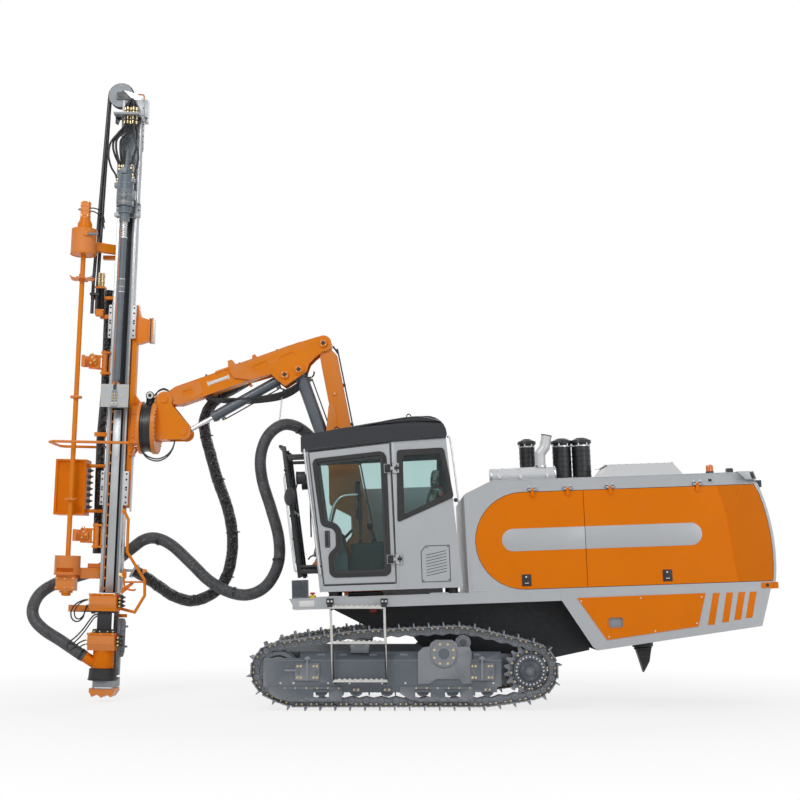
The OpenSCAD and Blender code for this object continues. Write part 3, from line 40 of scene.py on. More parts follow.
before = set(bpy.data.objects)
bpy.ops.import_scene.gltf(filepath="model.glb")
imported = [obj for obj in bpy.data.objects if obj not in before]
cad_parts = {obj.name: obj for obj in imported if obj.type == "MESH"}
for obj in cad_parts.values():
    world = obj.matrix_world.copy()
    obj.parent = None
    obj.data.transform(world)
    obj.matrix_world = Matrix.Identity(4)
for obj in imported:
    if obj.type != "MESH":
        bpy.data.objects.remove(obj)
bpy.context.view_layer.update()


# Frames: millimetres of each carrier to metres of the row

def shifted(x=0.0, y=0.0, z=0.0):
    return Matrix.Translation((x / 1000, y / 1000, z / 1000))


def turned(degrees, axis):
    return Matrix.Rotation(math.radians(degrees), 4, axis)


TO_METRES = Matrix.Scale(0.001, 4)
MACHINE_ORIGIN = shifted(19.2, 31, 0)
MACHINE = MACHINE_ORIGIN @ TO_METRES
CHASSIS = MACHINE_ORIGIN @ shifted(489, 0, 622) @ turned(-2, "Y") @ shifted(-489, 0, -622) @ TO_METRES
FEED = MACHINE_ORIGIN @ shifted(-3548, 300, 1286) @ turned(1.2, "Y") @ TO_METRES

BOOM_Y = 300
FOOT_PIN = Vector((-470, 1950))
ELBOW_PIN = FOOT_PIN + 2467.5 * Vector((math.cos(math.radians(101.38)), math.sin(math.radians(101.38))))
HEAD_PIN = ELBOW_PIN - 2087 * Vector((math.cos(math.radians(19.77)), math.sin(math.radians(19.77))))
LIFT = (Vector((-1000, 1600)), Vector((-800, 2400)))
FOLD = (Vector((-1260, 4039)), Vector((-805, 2790)))
TILT = (Vector((-1434, 3974)), Vector((-2680, 3260)))


def along(start, degrees):
    """A frame with its x along a line in side view that starts at a pin."""
    return MACHINE_ORIGIN @ shifted(start.x, BOOM_Y, start.y) @ turned(-degrees, "Y") @ TO_METRES


def slope(line):
    step = line[1] - line[0]
    return math.degrees(math.atan2(step.y, step.x))


LOWER_BOOM = along(FOOT_PIN, 101.38)
UPPER_BOOM = along(HEAD_PIN, 19.77)
ON_LIFT = along(LIFT[0], slope(LIFT))
ON_FOLD = along(FOLD[0], slope(FOLD))
ON_TILT = along(TILT[0], slope(TILT))


# Outlines

def arc(cx, cz, r, a0, a1, n):
    return [(cx + r * math.cos(math.radians(a0 + (a1 - a0) * i / n)),
             cz + r * math.sin(math.radians(a0 + (a1 - a0) * i / n))) for i in range(n + 1)]


def rounded(outline, r, n=4):
    """The outline with each corner turned on a radius."""
    result = []
    count = len(outline)
    for i in range(count):
        before, at, after = (Vector(outline[(i + k) % count]) for k in (-1, 0, 1))
        a, b = (before - at), (after - at)
        cut = min(r, a.length * 0.45, b.length * 0.45)
        start, end = at + a.normalized() * cut, at + b.normalized() * cut
        for k in range(n + 1):
            t = k / n
            result.append(tuple((1 - t) ** 2 * start + 2 * t * (1 - t) * at + t * t * end))
    return result


def signed_area(outline):
    return sum(outline[i - 1][0] * p[1] - p[0] * outline[i - 1][1] for i, p in enumerate(outline)) / 2


def inset(outline, width):
    """The outline drawn in by a width at each side, or drawn out where the width is negative."""
    side = 1 if signed_area(outline) > 0 else -1
    count = len(outline)
    result = []
    for i in range(count):
        p = Vector(outline[i])
        a = (p - Vector(outline[i - 1])).normalized()
        b = (Vector(outline[(i + 1) % count]) - p).normalized()
        na, nb = Vector((-a.y, a.x)) * side, Vector((-b.y, b.x)) * side
        mid = na + nb
        mid = mid / max(mid.length_squared / 2, 0.35)
        result.append(tuple(p + mid * width))
    return result


def smooth_path(points, steps=6):
    """A curve through the points, with several steps between each two."""
    pts = [Vector(p) for p in points]
    pts = [2 * pts[0] - pts[1]] + pts + [2 * pts[-1] - pts[-2]]
    result = []
    for i in range(1, len(pts) - 2):
        a, b, c, d = pts[i - 1:i + 3]
        for k in range(steps):
            t = k / steps
            result.append(0.5 * ((2 * b) + (c - a) * t + (2 * a - 5 * b + 4 * c - d) * t * t
                                 + (3 * b - a - 3 * c + d) * t ** 3))
    result.append(pts[-2])
    return result


# Mesh forms

PLANES = {
    "side": lambda u, v, w: (u, w, v),
    "front": lambda u, v, w: (w, u, v),
    "plan": lambda u, v, w: (u, v, w),
}


class Form:
    """Solid forms gathered into one mesh, in the millimetres of one carrier."""

    def __init__(self, carrier):
        self.carrier = carrier
        self.bm = bmesh.new()

    def faces(self, points, faces, bevel=0.0, segments=2):
        verts = [self.bm.verts.new(p) for p in points]
        made = [self.bm.faces.new([verts[i] for i in f]) for f in faces]
        bmesh.ops.recalc_face_normals(self.bm, faces=made)
        if bevel:
            edges = list({e for f in made for e in f.edges if len(e.link_faces) == 2
                          and e.calc_face_angle(0) > 0.3})
            bmesh.ops.bevel(self.bm, geom=edges, offset=bevel, segments=segments, affect="EDGES",
                            profile=0.5, clamp_overlap=True)
        return self

    def box(self, lo, hi, bevel=0.0, segments=2):
        x, y, z = ((min(a, b), max(a, b)) for a, b in zip(lo, hi))
        points = [(x[i], y[j], z[k]) for i in (0, 1) for j in (0, 1) for k in (0, 1)]
        return self.faces(points, [(0, 1, 3, 2), (4, 6, 7, 5), (0, 4, 5, 1), (2, 3, 7, 6), (0, 2, 6, 4),
                                   (1, 5, 7, 3)], bevel, segments)

    def plate(self, outline, w0, w1, plane="side", bevel=0.0, segments=2):
        put = PLANES[plane]
        n = len(outline)
        points = [put(u, v, w) for w in (w0, w1) for u, v in outline]
        sides = [(i, (i + 1) % n, n + (i + 1) % n, n + i) for i in range(n)]
        return self.faces(points, [tuple(range(n)), tuple(range(n, 2 * n))] + sides, bevel, segments)

    def band(self, outer, inner, w0, w1, plane="side", bevel=0.0):
        """A closed band between two outlines with equally many points."""
        put = PLANES[plane]
        n = len(outer)
        points = [put(u, v, w) for w in (w0, w1) for line in (outer, inner) for u, v in line]
        faces = []
        for i in range(n):
            j = (i + 1) % n
            faces += [(i, j, n + j, n + i), (2 * n + i, 3 * n + i, 3 * n + j, 2 * n + j),
                      (i, 2 * n + i, 2 * n + j, j), (n + i, n + j, 3 * n + j, 3 * n + i)]
        return self.faces(points, faces, bevel, 1)

    def lathe(self, at, axis, profile, n=32):
        """A turned form: the profile is (radius, height) from the foot up along the axis."""
        at, axis = Vector(at), Vector(axis).normalized()
        u = axis.orthogonal().normalized()
        v = axis.cross(u)
        points, rings = [], []
        for r, h in profile:
            if r <= 0:
                rings.append([len(points)])
                points.append(at + axis * h)
            else:
                rings.append(list(range(len(points), len(points) + n)))
                points += [at + axis * h + r * (math.cos(2 * math.pi * k / n) * u
                                                + math.sin(2 * math.pi * k / n) * v) for k in range(n)]
        faces = []
        for a, b in zip(rings, rings[1:]):
            for k in range(n):
                m = (k + 1) % n
                quad = [a[k % len(a)], a[m % len(a)], b[m % len(b)], b[k % len(b)]]
                faces.append(tuple(dict.fromkeys(quad)))
        for ring in (rings[0], rings[-1]):
            if len(ring) > 1:
                faces.append(tuple(ring))
        return self.faces(points, faces)

    def rod(self, a, b, r, n=20, edge=0.0):
        a, b = Vector(a), Vector(b)
        length = (b - a).length
        e = min(edge, r * 0.5, length * 0.3)
        profile = [(r, 0), (r, length)] if not e else [(r - e, 0), (r, e), (r, length - e), (r - e, length)]
        return self.lathe(a, b - a, profile, n)

    def tube(self, points, r, n=10, steps=6, radius=None):
        """A round tube on a smooth curve; radius(i, k, share) may change its wall."""
        line = smooth_path(points, steps) if steps > 1 else [Vector(p) for p in points]
        count = len(line)
        side = (line[1] - line[0]).orthogonal().normalized()
        verts, faces = [], []
        for i, p in enumerate(line):
            t = (line[min(i + 1, count - 1)] - line[max(i - 1, 0)]).normalized()
            side = (side - t * side.dot(t)).normalized()
            other = t.cross(side)
            for k in range(n):
                a = 2 * math.pi * k / n
                d = math.cos(a) * side + math.sin(a) * other
                verts.append(p + d * (r if radius is None else radius(i, k, p)))
        for i in range(count - 1):
            for k in range(n):
                m = (k + 1) % n
                faces.append((i * n + k, i * n + m, (i + 1) * n + m, (i + 1) * n + k))
        faces += [tuple(range(n)), tuple((count - 1) * n + k for k in range(n))]
        return self.faces(verts, faces)

    def ball(self, at, size, n=20):
        """An ellipsoid with its half sizes."""
        rows = n // 2
        verts, faces = [], []
        for i in range(1, rows):
            a = math.pi * i / rows
            for k in range(n):
                b = 2 * math.pi * k / n
                verts.append((at[0] + size[0] * math.sin(a) * math.cos(b),
                              at[1] + size[1] * math.sin(a) * math.sin(b), at[2] + size[2] * math.cos(a)))
        for i in range(rows - 2):
            for k in range(n):
                m = (k + 1) % n
                faces.append((i * n + k, i * n + m, (i + 1) * n + m, (i + 1) * n + k))
        top, low = len(verts), len(verts) + 1
        verts += [(at[0], at[1], at[2] + size[2]), (at[0], at[1], at[2] - size[2])]
        faces += [(top, k, (k + 1) % n) for k in range(n)]
        faces += [(low, (rows - 2) * n + (k + 1) % n, (rows - 2) * n + k) for k in range(n)]
        return self.faces(verts, faces)

    def done(self, name, finish, body, slot, crease=34):
        """Turns the forms into one piece that rides on a body."""
        bmesh.ops.transform(self.bm, matrix=self.carrier, verts=self.bm.verts[:])
        mesh = bpy.data.meshes.new(name)
        self.bm.to_mesh(mesh)
        self.bm.free()
        return piece_from(mesh, name, finish, body, crease)


def piece_from(mesh, name, finish, body, crease=34):
    for polygon in mesh.polygons:
        polygon.use_smooth = True
    mesh.set_sharp_from_angle(angle=math.radians(crease))
    mesh.materials.clear()
    mesh.materials.append(FINISHES[finish])
    obj = bpy.data.objects.new(name, mesh)
    bpy.context.scene.collection.objects.link(obj)
    if body:
        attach(obj, body)
    return obj


# Node graphs

class Graph:
    """Makes nodes with their sockets set or linked in one line."""

    def __init__(self, tree):
        self.tree = tree

    def node(self, kind, sockets=None, **settings):
        made = self.tree.nodes.new(kind)
        for key, value in settings.items():
            setattr(made, key, value)
        for key, value in (sockets or {}).items():
            if isinstance(value, bpy.types.NodeSocket):
                self.tree.links.new(value, made.inputs[key])
            else:
                made.inputs[key].default_value = value
        return made


FINISHES = {}


def shade(color, factor):
    return tuple(min(1.0, c * factor) for c in color[:3]) + (1.0,)


def make_finish(name, color, rough=0.4, metal=0.0, vary=0.06, cloud=1.6, grain=0.0, grain_size=240.0,
                stretch=(1, 1, 1), coat=0.0, dust=0.0, dust_color=(0.36, 0.34, 0.31), dust_size=5.0,
                wear=0.0, wear_color=(0.55, 0.56, 0.57), rough_vary=0.07, shine=0.5):
    """A finish with drifting colour, dust in soft patches, worn edges and fine grain."""
    material = bpy.data.materials.new(name)
    material.use_nodes = True
    g = Graph(material.node_tree)
    shader = material.node_tree.nodes["Principled BSDF"]
    shader.inputs["Metallic"].default_value = metal
    shader.inputs["Specular IOR Level"].default_value = shine
    shader.inputs["Coat Weight"].default_value = coat
    shader.inputs["Coat Roughness"].default_value = 0.12
    place = g.node("ShaderNodeTexCoord").outputs["Object"]
    drift = g.node("ShaderNodeTexNoise", {"Vector": place, "Scale": cloud, "Detail": 4.0, "Roughness": 0.6})
    spread = g.node("ShaderNodeMapRange", {"Value": drift.outputs["Fac"], "From Min": 0.3, "From Max": 0.7})
    look = g.node("ShaderNodeMix", {"Factor": spread.outputs["Result"], "A": shade(color, 1 - vary),
                                    "B": shade(color, 1 + vary)}, data_type="RGBA")
    out = look.outputs["Result"]
    if dust:
        patch = g.node("ShaderNodeTexNoise", {"Vector": place, "Scale": dust_size, "Detail": 8.0,
                                              "Roughness": 0.7})
        amount = g.node("ShaderNodeMapRange", {"Value": patch.outputs["Fac"], "From Min": 0.48,
                                               "From Max": 0.72,
                                               "To Max": dust})
        out = g.node("ShaderNodeMix", {"Factor": amount.outputs["Result"], "A": out,
                                       "B": shade(dust_color, 1)}, data_type="RGBA").outputs["Result"]
    if wear:
        edge = g.node("ShaderNodeNewGeometry").outputs["Pointiness"]
        near = g.node("ShaderNodeMapRange", {"Value": edge, "From Min": 0.53, "From Max": 0.6,
                                             "To Max": wear})
        out = g.node("ShaderNodeMix", {"Factor": near.outputs["Result"], "A": out,
                                       "B": shade(wear_color, 1)}, data_type="RGBA").outputs["Result"]
    g.tree.links.new(out, shader.inputs["Base Color"])
    spot = g.node("ShaderNodeTexNoise", {"Vector": place, "Scale": cloud * 9, "Detail": 3.0})
    gloss = g.node("ShaderNodeMapRange", {"Value": spot.outputs["Fac"], "From Min": 0.3, "From Max": 0.7,
                                          "To Min": max(rough - rough_vary, 0.03),
                                          "To Max": rough + rough_vary})
    g.tree.links.new(gloss.outputs["Result"], shader.inputs["Roughness"])
    if grain:
        laid = g.node("ShaderNodeMapping", {"Vector": place, "Scale": stretch}).outputs["Vector"]
        fine = g.node("ShaderNodeTexNoise", {"Vector": laid, "Scale": grain_size, "Detail": 2.0})
        bump = g.node("ShaderNodeBump", {"Height": fine.outputs["Fac"], "Strength": grain, "Distance": 0.002})
        g.tree.links.new(bump.outputs["Normal"], shader.inputs["Normal"])
    FINISHES[name] = material
    return material, g, shader, place


def make_finishes(look):
    orange, silver, grey = look.orange[:3], look.silver[:3], look.undercarriage[:3]
    make_finish("orange_paint", orange, 0.36, vary=0.03, grain=0.05, coat=0.03, dust=0.02, shine=0.12)
    make_finish("boom_paint", look.boom_orange[:3], 0.36, vary=0.04, grain=0.06, coat=0.03, dust=0.03,
                wear=0.12,
                shine=0.15)
    # A darker copy of the orange: painted shade for the folded-in facets of the rear doors
    make_finish("painted_shade_orange", shade(orange, 0.86)[:3], 0.4, vary=0.03, grain=0.05, coat=0.03, shine=0.12)
    make_finish("silver_paint", silver, 0.42, metal=0.15, vary=0.03, grain=0.05, coat=0.15, dust=0.08)
    make_finish("pale_paint", (0.72, 0.73, 0.74), 0.4, metal=0.1, vary=0.04, grain=0.04)
    make_finish("undercarriage_paint", grey, 0.45, vary=0.08, grain=0.12, dust=0.25,
                dust_color=(0.2, 0.21, 0.22), wear=0.35)
    make_finish("track_steel", (0.075, 0.085, 0.1), 0.5, metal=0.45, vary=0.25, cloud=6, grain=0.35,
                grain_size=120, dust=0.4, dust_color=(0.16, 0.17, 0.18), wear=0.5,
                wear_color=(0.4, 0.42, 0.44))
    make_finish("drifter_paint", (0.13, 0.165, 0.195), 0.42, vary=0.08, grain=0.1, dust=0.15, wear=0.3)
    make_finish("cylinder_paint", (0.105, 0.125, 0.15), 0.38, vary=0.06, grain=0.05, coat=0.15, dust=0.1)
    make_finish("chrome", (0.72, 0.73, 0.75), 0.12, metal=1.0, vary=0.04, rough_vary=0.03)
    make_finish("bright_steel", (0.56, 0.57, 0.58), 0.3, metal=0.9, vary=0.12, cloud=14, grain=0.08)
    make_finish("aluminium", (0.42, 0.43, 0.44), 0.36, metal=0.75, vary=0.12, cloud=2.2, grain=0.25,
                grain_size=90, stretch=(1, 1, 0.02), dust=0.12, dust_color=(0.3, 0.3, 0.3))
    make_finish("tread_aluminium", (0.62, 0.61, 0.58), 0.4, metal=0.6, vary=0.12, cloud=20, grain=0.2,
                grain_size=150)
    make_finish("zinc_bolt", (0.62, 0.5, 0.3), 0.32, metal=0.85, vary=0.25, cloud=30, grain=0.1)
    make_finish("black_bolt", (0.03, 0.03, 0.032), 0.4, metal=0.6, vary=0.3, cloud=30)
    make_finish("brass", (0.6, 0.45, 0.2), 0.32, metal=0.9, vary=0.15, cloud=30)
    make_finish("black_paint", (0.008, 0.009, 0.012), 0.38, vary=0.3, cloud=3, grain=0.12, dust=0.1,
                dust_color=(0.05, 0.05, 0.055))
    make_finish("roof_black", (0.0035, 0.005, 0.011), 0.3, vary=0.15, cloud=1.2, grain=0.04, coat=0.3)
    make_finish("belly_black", (0.01, 0.012, 0.016), 0.5, vary=0.3, cloud=2.5, grain=0.15, dust=0.25,
                dust_color=(0.03, 0.033, 0.04))
    make_finish("rubber", (0.012, 0.012, 0.013), 0.55, vary=0.25, cloud=12, grain=0.3, grain_size=160,
                dust=0.15, dust_color=(0.07, 0.07, 0.07))
    make_finish("hose_rubber", (0.016, 0.016, 0.018), 0.42, vary=0.25, cloud=18, grain=0.3, grain_size=300,
                dust=0.2, dust_color=(0.1, 0.1, 0.1), dust_size=22)
    make_finish("slate_paint", (0.045, 0.055, 0.075), 0.4, vary=0.08, grain=0.05, coat=0.2)
    make_finish("red_plastic", (0.6, 0.02, 0.015), 0.35, vary=0.06, grain=0.05)
    make_finish("yellow_plastic", (0.8, 0.6, 0.02), 0.4, vary=0.05, grain=0.05)
    make_finish("white_plastic", (0.8, 0.8, 0.79), 0.4, vary=0.03, grain=0.04)
    make_finish("lamp_orange", (0.9, 0.2, 0.01), 0.2, vary=0.05, coat=0.6)
    make_finish("cabin_plastic", (0.075, 0.115, 0.12), 0.55, vary=0.1, cloud=5, grain=0.3, grain_size=300)
    make_finish("screen_black", (0.006, 0.008, 0.012), 0.15, vary=0.2, cloud=20, coat=0.4)
    make_glass("tinted_glass", (0.63, 0.76, 0.75, 1))
    make_hose_dust("suction_rubber")
    make_wrap("wrapped_sheath")
    make_camouflage("seat_fabric")


def make_glass(name, color):
    """Tinted safety glass with a faint drift in its tint."""
    material, g, shader, place = make_finish(name, color[:3], 0.04, vary=0.02, rough_vary=0.02)
    shader.inputs["Transmission Weight"].default_value = 1.0
    shader.inputs["IOR"].default_value = 1.3
    return material


def make_hose_dust(name):
    """Grey ribbed hose with pale rubbed flecks and dark patches."""
    material, g, shader, place = make_finish(name, (0.075, 0.078, 0.085), 0.55, vary=0.35, cloud=7, grain=0.5,
                                             grain_size=170)
    flecks = g.node("ShaderNodeTexNoise", {"Vector": place, "Scale": 26.0, "Detail": 9.0, "Roughness": 0.78})
    amount = g.node("ShaderNodeMapRange", {"Value": flecks.outputs["Fac"], "From Min": 0.52, "From Max": 0.72,
                                           "To Max": 0.75})
    base = shader.inputs["Base Color"].links[0].from_socket
    out = g.node("ShaderNodeMix", {"Factor": amount.outputs["Result"], "A": base,
                                   "B": (0.34, 0.33, 0.31, 1)}, data_type="RGBA").outputs["Result"]
    g.tree.links.new(out, shader.inputs["Base Color"])


def make_wrap(name):
    """Glossy black sleeve, wrinkled across its length."""
    material, g, shader, place = make_finish(name, (0.007, 0.007, 0.008), 0.22, vary=0.3, cloud=8,
                                             rough_vary=0.12,
                                             dust=0.2, dust_color=(0.09, 0.09, 0.09), dust_size=30)
    wave = g.node("ShaderNodeTexNoise", {"Vector": place, "Scale": 13.0, "Detail": 5.0, "Roughness": 0.55,
                                         "Distortion": 1.6})
    cells = g.node("ShaderNodeTexVoronoi", {"Vector": place, "Scale": 24.0})
    both = g.node("ShaderNodeMath", {0: wave.outputs["Fac"], 1: cells.outputs["Distance"]}, operation="ADD")
    bump = g.node("ShaderNodeBump", {"Height": both.outputs["Value"], "Strength": 0.9, "Distance": 0.03})
    g.tree.links.new(bump.outputs["Normal"], shader.inputs["Normal"])


def make_camouflage(name):
    """Woven seat cover in three greys."""
    material, g, shader, place = make_finish(name, (0.2, 0.22, 0.21), 0.85, vary=0.1)
    shader.inputs["Sheen Weight"].default_value = 0.3
    spots = g.node("ShaderNodeTexNoise", {"Vector": place, "Scale": 17.0, "Detail": 2.5, "Distortion": 0.8})
    ramp = g.node("ShaderNodeValToRGB", {"Fac": spots.outputs["Fac"]})
    ramp.color_ramp.interpolation = "CONSTANT"
    for i, (at, value) in enumerate(((0.0, (0.05, 0.06, 0.055)), (0.46, (0.2, 0.23, 0.21)),
                                     (0.56, (0.42, 0.45, 0.42)))):
        stop = ramp.color_ramp.elements[i] if i < 2 else ramp.color_ramp.elements.new(at)
        stop.position, stop.color = at, value + (1,)
    g.tree.links.new(ramp.outputs["Color"], shader.inputs["Base Color"])
    weave = g.node("ShaderNodeTexWave", {"Vector": place, "Scale": 160.0})
    bump = g.node("ShaderNodeBump", {"Height": weave.outputs["Fac"], "Strength": 0.3, "Distance": 0.001})
    g.tree.links.new(bump.outputs["Normal"], shader.inputs["Normal"])


# Geometry Nodes trees

def node_tree(name, sockets):
    """A geometry tree with its named inputs, and its graph."""
    tree = bpy.data.node_groups.new(name, "GeometryNodeTree")
    tree.interface.new_socket("Geometry", in_out="INPUT", socket_type="NodeSocketGeometry")
    tree.interface.new_socket("Geometry", in_out="OUTPUT", socket_type="NodeSocketGeometry")
    for label, kind, value in sockets:
        made = tree.interface.new_socket(label, in_out="INPUT", socket_type=kind)
        if value is not None:
            made.default_value = value
    g = Graph(tree)
    return g, g.node("NodeGroupInput").outputs


def close_tree(g, geometry, material):
    real = g.node("GeometryNodeRealizeInstances", {"Geometry": geometry})
    coated = g.node("GeometryNodeSetMaterial", {"Geometry": real.outputs["Geometry"], "Material": material})
    g.node("NodeGroupOutput", {"Geometry": coated.outputs["Geometry"]})
    return g.tree


def fastener_tree():
    """Hex bolts with washers on points that carry the attributes axis and size."""
    g, given = node_tree("fasteners", [
        ("Material", "NodeSocketMaterial", None), ("Head Height", "NodeSocketFloat", 0.55),
        ("Washer Radius", "NodeSocketFloat", 0.78), ("Washer Height", "NodeSocketFloat", 0.14),
        ("Sides", "NodeSocketInt", 6)])
    head = g.node("GeometryNodeMeshCylinder", {"Vertices": given["Sides"], "Radius": 0.56,
                                               "Depth": given["Head Height"]})
    half = g.node("ShaderNodeMath", {0: given["Head Height"], 1: 0.5}, operation="MULTIPLY")
    rise = g.node("ShaderNodeMath", {0: half.outputs[0], 1: given["Washer Height"]}, operation="ADD")
    lift = g.node("ShaderNodeCombineXYZ", {"Z": rise.outputs[0]})
    head = g.node("GeometryNodeTransform", {"Geometry": head.outputs["Mesh"], "Translation": lift.outputs[0]})
    washer = g.node("GeometryNodeMeshCylinder", {"Vertices": 16, "Radius": given["Washer Radius"],
                                                 "Depth": given["Washer Height"]})
    low = g.node("ShaderNodeMath", {0: given["Washer Height"], 1: 0.5}, operation="MULTIPLY")
    under = g.node("ShaderNodeCombineXYZ", {"Z": low.outputs[0]})
    washer = g.node("GeometryNodeTransform", {"Geometry": washer.outputs["Mesh"],
                                              "Translation": under.outputs[0]})
    both = g.node("GeometryNodeJoinGeometry")
    g.tree.links.new(head.outputs["Geometry"], both.inputs[0])
    g.tree.links.new(washer.outputs["Geometry"], both.inputs[0])
    axis = g.node("GeometryNodeInputNamedAttribute", {"Name": "axis"}, data_type="FLOAT_VECTOR")
    size = g.node("GeometryNodeInputNamedAttribute", {"Name": "size"}, data_type="FLOAT")
    aim = g.node("FunctionNodeAlignRotationToVector", {"Vector": axis.outputs["Attribute"]}, axis="Z")
    points = g.node("GeometryNodeMeshToPoints", {"Mesh": given["Geometry"]})
    set_out = g.node("GeometryNodeInstanceOnPoints", {
        "Points": points.outputs["Points"], "Instance": both.outputs[0], "Rotation": aim.outputs["Rotation"],
        "Scale": size.outputs["Attribute"]})
    return close_tree(g, set_out.outputs["Instances"], given["Material"])


def ring_tree():
    """Rings strung on a path: hose ribs as they are, or chain links when laid over and twisted."""
    g, given = node_tree("rings on a path", [
        ("Material", "NodeSocketMaterial", None), ("Ring Radius", "NodeSocketFloat", 0.07),
        ("Wire Radius", "NodeSocketFloat", 0.003), ("Spacing", "NodeSocketFloat", 0.02),
        ("Stretch", "NodeSocketFloat", 1.0), ("Lay Angle", "NodeSocketFloat", 0.0),
        ("Twist", "NodeSocketFloat", 0.0), ("Ring Sides", "NodeSocketInt", 16)])
    ring = g.node("GeometryNodeCurvePrimitiveCircle", {"Resolution": given["Ring Sides"],
                                                       "Radius": given["Ring Radius"]})
    wire = g.node("GeometryNodeCurvePrimitiveCircle", {"Resolution": 5, "Radius": given["Wire Radius"]})
    scale = g.node("ShaderNodeCombineXYZ", {"X": 1.0, "Y": given["Stretch"], "Z": 1.0})
    shaped = g.node("GeometryNodeTransform", {"Geometry": ring.outputs["Curve"], "Scale": scale.outputs[0]})
    solid = g.node("GeometryNodeCurveToMesh", {"Curve": shaped.outputs[0],
                                               "Profile Curve": wire.outputs["Curve"]})
    lay = g.node("ShaderNodeCombineXYZ", {"X": given["Lay Angle"]})
    laid = g.node("GeometryNodeTransform", {"Geometry": solid.outputs[0]})
    turn = g.node("FunctionNodeEulerToRotation", {"Euler": lay.outputs[0]})
    g.tree.links.new(turn.outputs[0], laid.inputs["Rotation"])
    line = g.node("GeometryNodeMeshToCurve", {"Mesh": given["Geometry"]})
    spots = g.node("GeometryNodeCurveToPoints", {"Curve": line.outputs[0], "Length": given["Spacing"]},
                   mode="LENGTH")
    index = g.node("GeometryNodeInputIndex")
    angle = g.node("ShaderNodeMath", {0: index.outputs[0], 1: given["Twist"]}, operation="MULTIPLY")
    spin = g.node("FunctionNodeAxisAngleToRotation", {"Axis": (0, 0, 1), "Angle": angle.outputs[0]})
    both = g.node("FunctionNodeRotateRotation", {"Rotation": spots.outputs["Rotation"],
                                                 "Rotate By": spin.outputs[0]},
                  rotation_space="LOCAL")
    set_out = g.node("GeometryNodeInstanceOnPoints", {
        "Points": spots.outputs["Points"], "Instance": laid.outputs[0], "Rotation": both.outputs[0]})
    return close_tree(g, set_out.outputs["Instances"], given["Material"])


def row_tree():
    """Copies of one item in a row, each turned a little more than the last."""
    g, given = node_tree("row of items", [
        ("Material", "NodeSocketMaterial", None), ("Item", "NodeSocketObject", None),
        ("Count", "NodeSocketInt", 8), ("Step", "NodeSocketVector", (0.05, 0, 0)),
        ("Turn Axis", "NodeSocketVector", (0, 0, 1)), ("Turn Each", "NodeSocketFloat", 0.0)])
    item = g.node("GeometryNodeObjectInfo", {"Object": given["Item"]})
    line = g.node("GeometryNodeMeshLine", {"Count": given["Count"], "Offset": given["Step"]})
    index = g.node("GeometryNodeInputIndex")
    angle = g.node("ShaderNodeMath", {0: index.outputs[0], 1: given["Turn Each"]}, operation="MULTIPLY")
    spin = g.node("FunctionNodeAxisAngleToRotation", {"Axis": given["Turn Axis"], "Angle": angle.outputs[0]})
    set_out = g.node("GeometryNodeInstanceOnPoints", {
        "Points": line.outputs["Mesh"], "Instance": item.outputs["Geometry"], "Rotation": spin.outputs[0]})
    return close_tree(g, set_out.outputs["Instances"], given["Material"])


def belt_tree():
    """Copies of one item at the points of a track loop that carry the attribute turn."""
    g, given = node_tree("items on a track", [
        ("Material", "NodeSocketMaterial", None), ("Item", "NodeSocketObject", None),
        ("Item Scale", "NodeSocketFloat", 1.0)])
    item = g.node("GeometryNodeObjectInfo", {"Object": given["Item"]})
    turn = g.node("GeometryNodeInputNamedAttribute", {"Name": "turn"}, data_type="FLOAT")
    spin = g.node("FunctionNodeAxisAngleToRotation", {"Axis": (0, 1, 0), "Angle": turn.outputs["Attribute"]})
    points = g.node("GeometryNodeMeshToPoints", {"Mesh": given["Geometry"]})
    set_out = g.node("GeometryNodeInstanceOnPoints", {
        "Points": points.outputs["Points"], "Instance": item.outputs["Geometry"], "Rotation": spin.outputs[0],
        "Scale": given["Item Scale"]})
    return close_tree(g, set_out.outputs["Instances"], given["Material"])


def spiral_tree():
    """A rope thread wound round the z axis."""
    g, given = node_tree("rope thread", [
        ("Material", "NodeSocketMaterial", None), ("Radius", "NodeSocketFloat", 0.03),
        ("Wire Radius", "NodeSocketFloat", 0.006), ("Height", "NodeSocketFloat", 0.3),
        ("Turns", "NodeSocketFloat", 6.0)])
    line = g.node("GeometryNodeCurveSpiral", {"Resolution": 24, "Rotations": given["Turns"],
                                              "Start Radius": given["Radius"], "End Radius": given["Radius"],
                                              "Height": given["Height"]})
    wire = g.node("GeometryNodeCurvePrimitiveCircle", {"Resolution": 6, "Radius": given["Wire Radius"]})
    solid = g.node("GeometryNodeCurveToMesh", {"Curve": line.outputs[0],
                                               "Profile Curve": wire.outputs["Curve"],
                                               "Fill Caps": True})
    return close_tree(g, solid.outputs[0], given["Material"])


TREES = {}


def grow(tree_name, mesh, name, finish, body, values, crease=34, carrier=None):
    """Runs a tree on a mesh of points and keeps the result as one plain piece."""
    if tree_name not in TREES:
        TREES[tree_name] = {"fasteners": fastener_tree, "rings": ring_tree, "row": row_tree,
                            "belt": belt_tree,
                            "spiral": spiral_tree}[tree_name]()
    tree = TREES[tree_name]
    host = bpy.data.objects.new(name + "_host", mesh)
    bpy.context.scene.collection.objects.link(host)
    modifier = host.modifiers.new("Nodes", "NODES")
    modifier.node_group = tree
    values = {"Material": FINISHES[finish], **values}
    for socket in tree.interface.items_tree:
        if socket.item_type == "SOCKET" and socket.in_out == "INPUT" and socket.name in values:
            modifier[socket.identifier] = values[socket.name]
    graph = bpy.context.evaluated_depsgraph_get()
    result = bpy.data.meshes.new_from_object(host.evaluated_get(graph), depsgraph=graph)
    if carrier is not None:
        result.transform(carrier)
    bpy.data.objects.remove(host)
    if not result.polygons:
        raise RuntimeError(name + " came out empty")
    return piece_from(result, name, finish, body, crease)


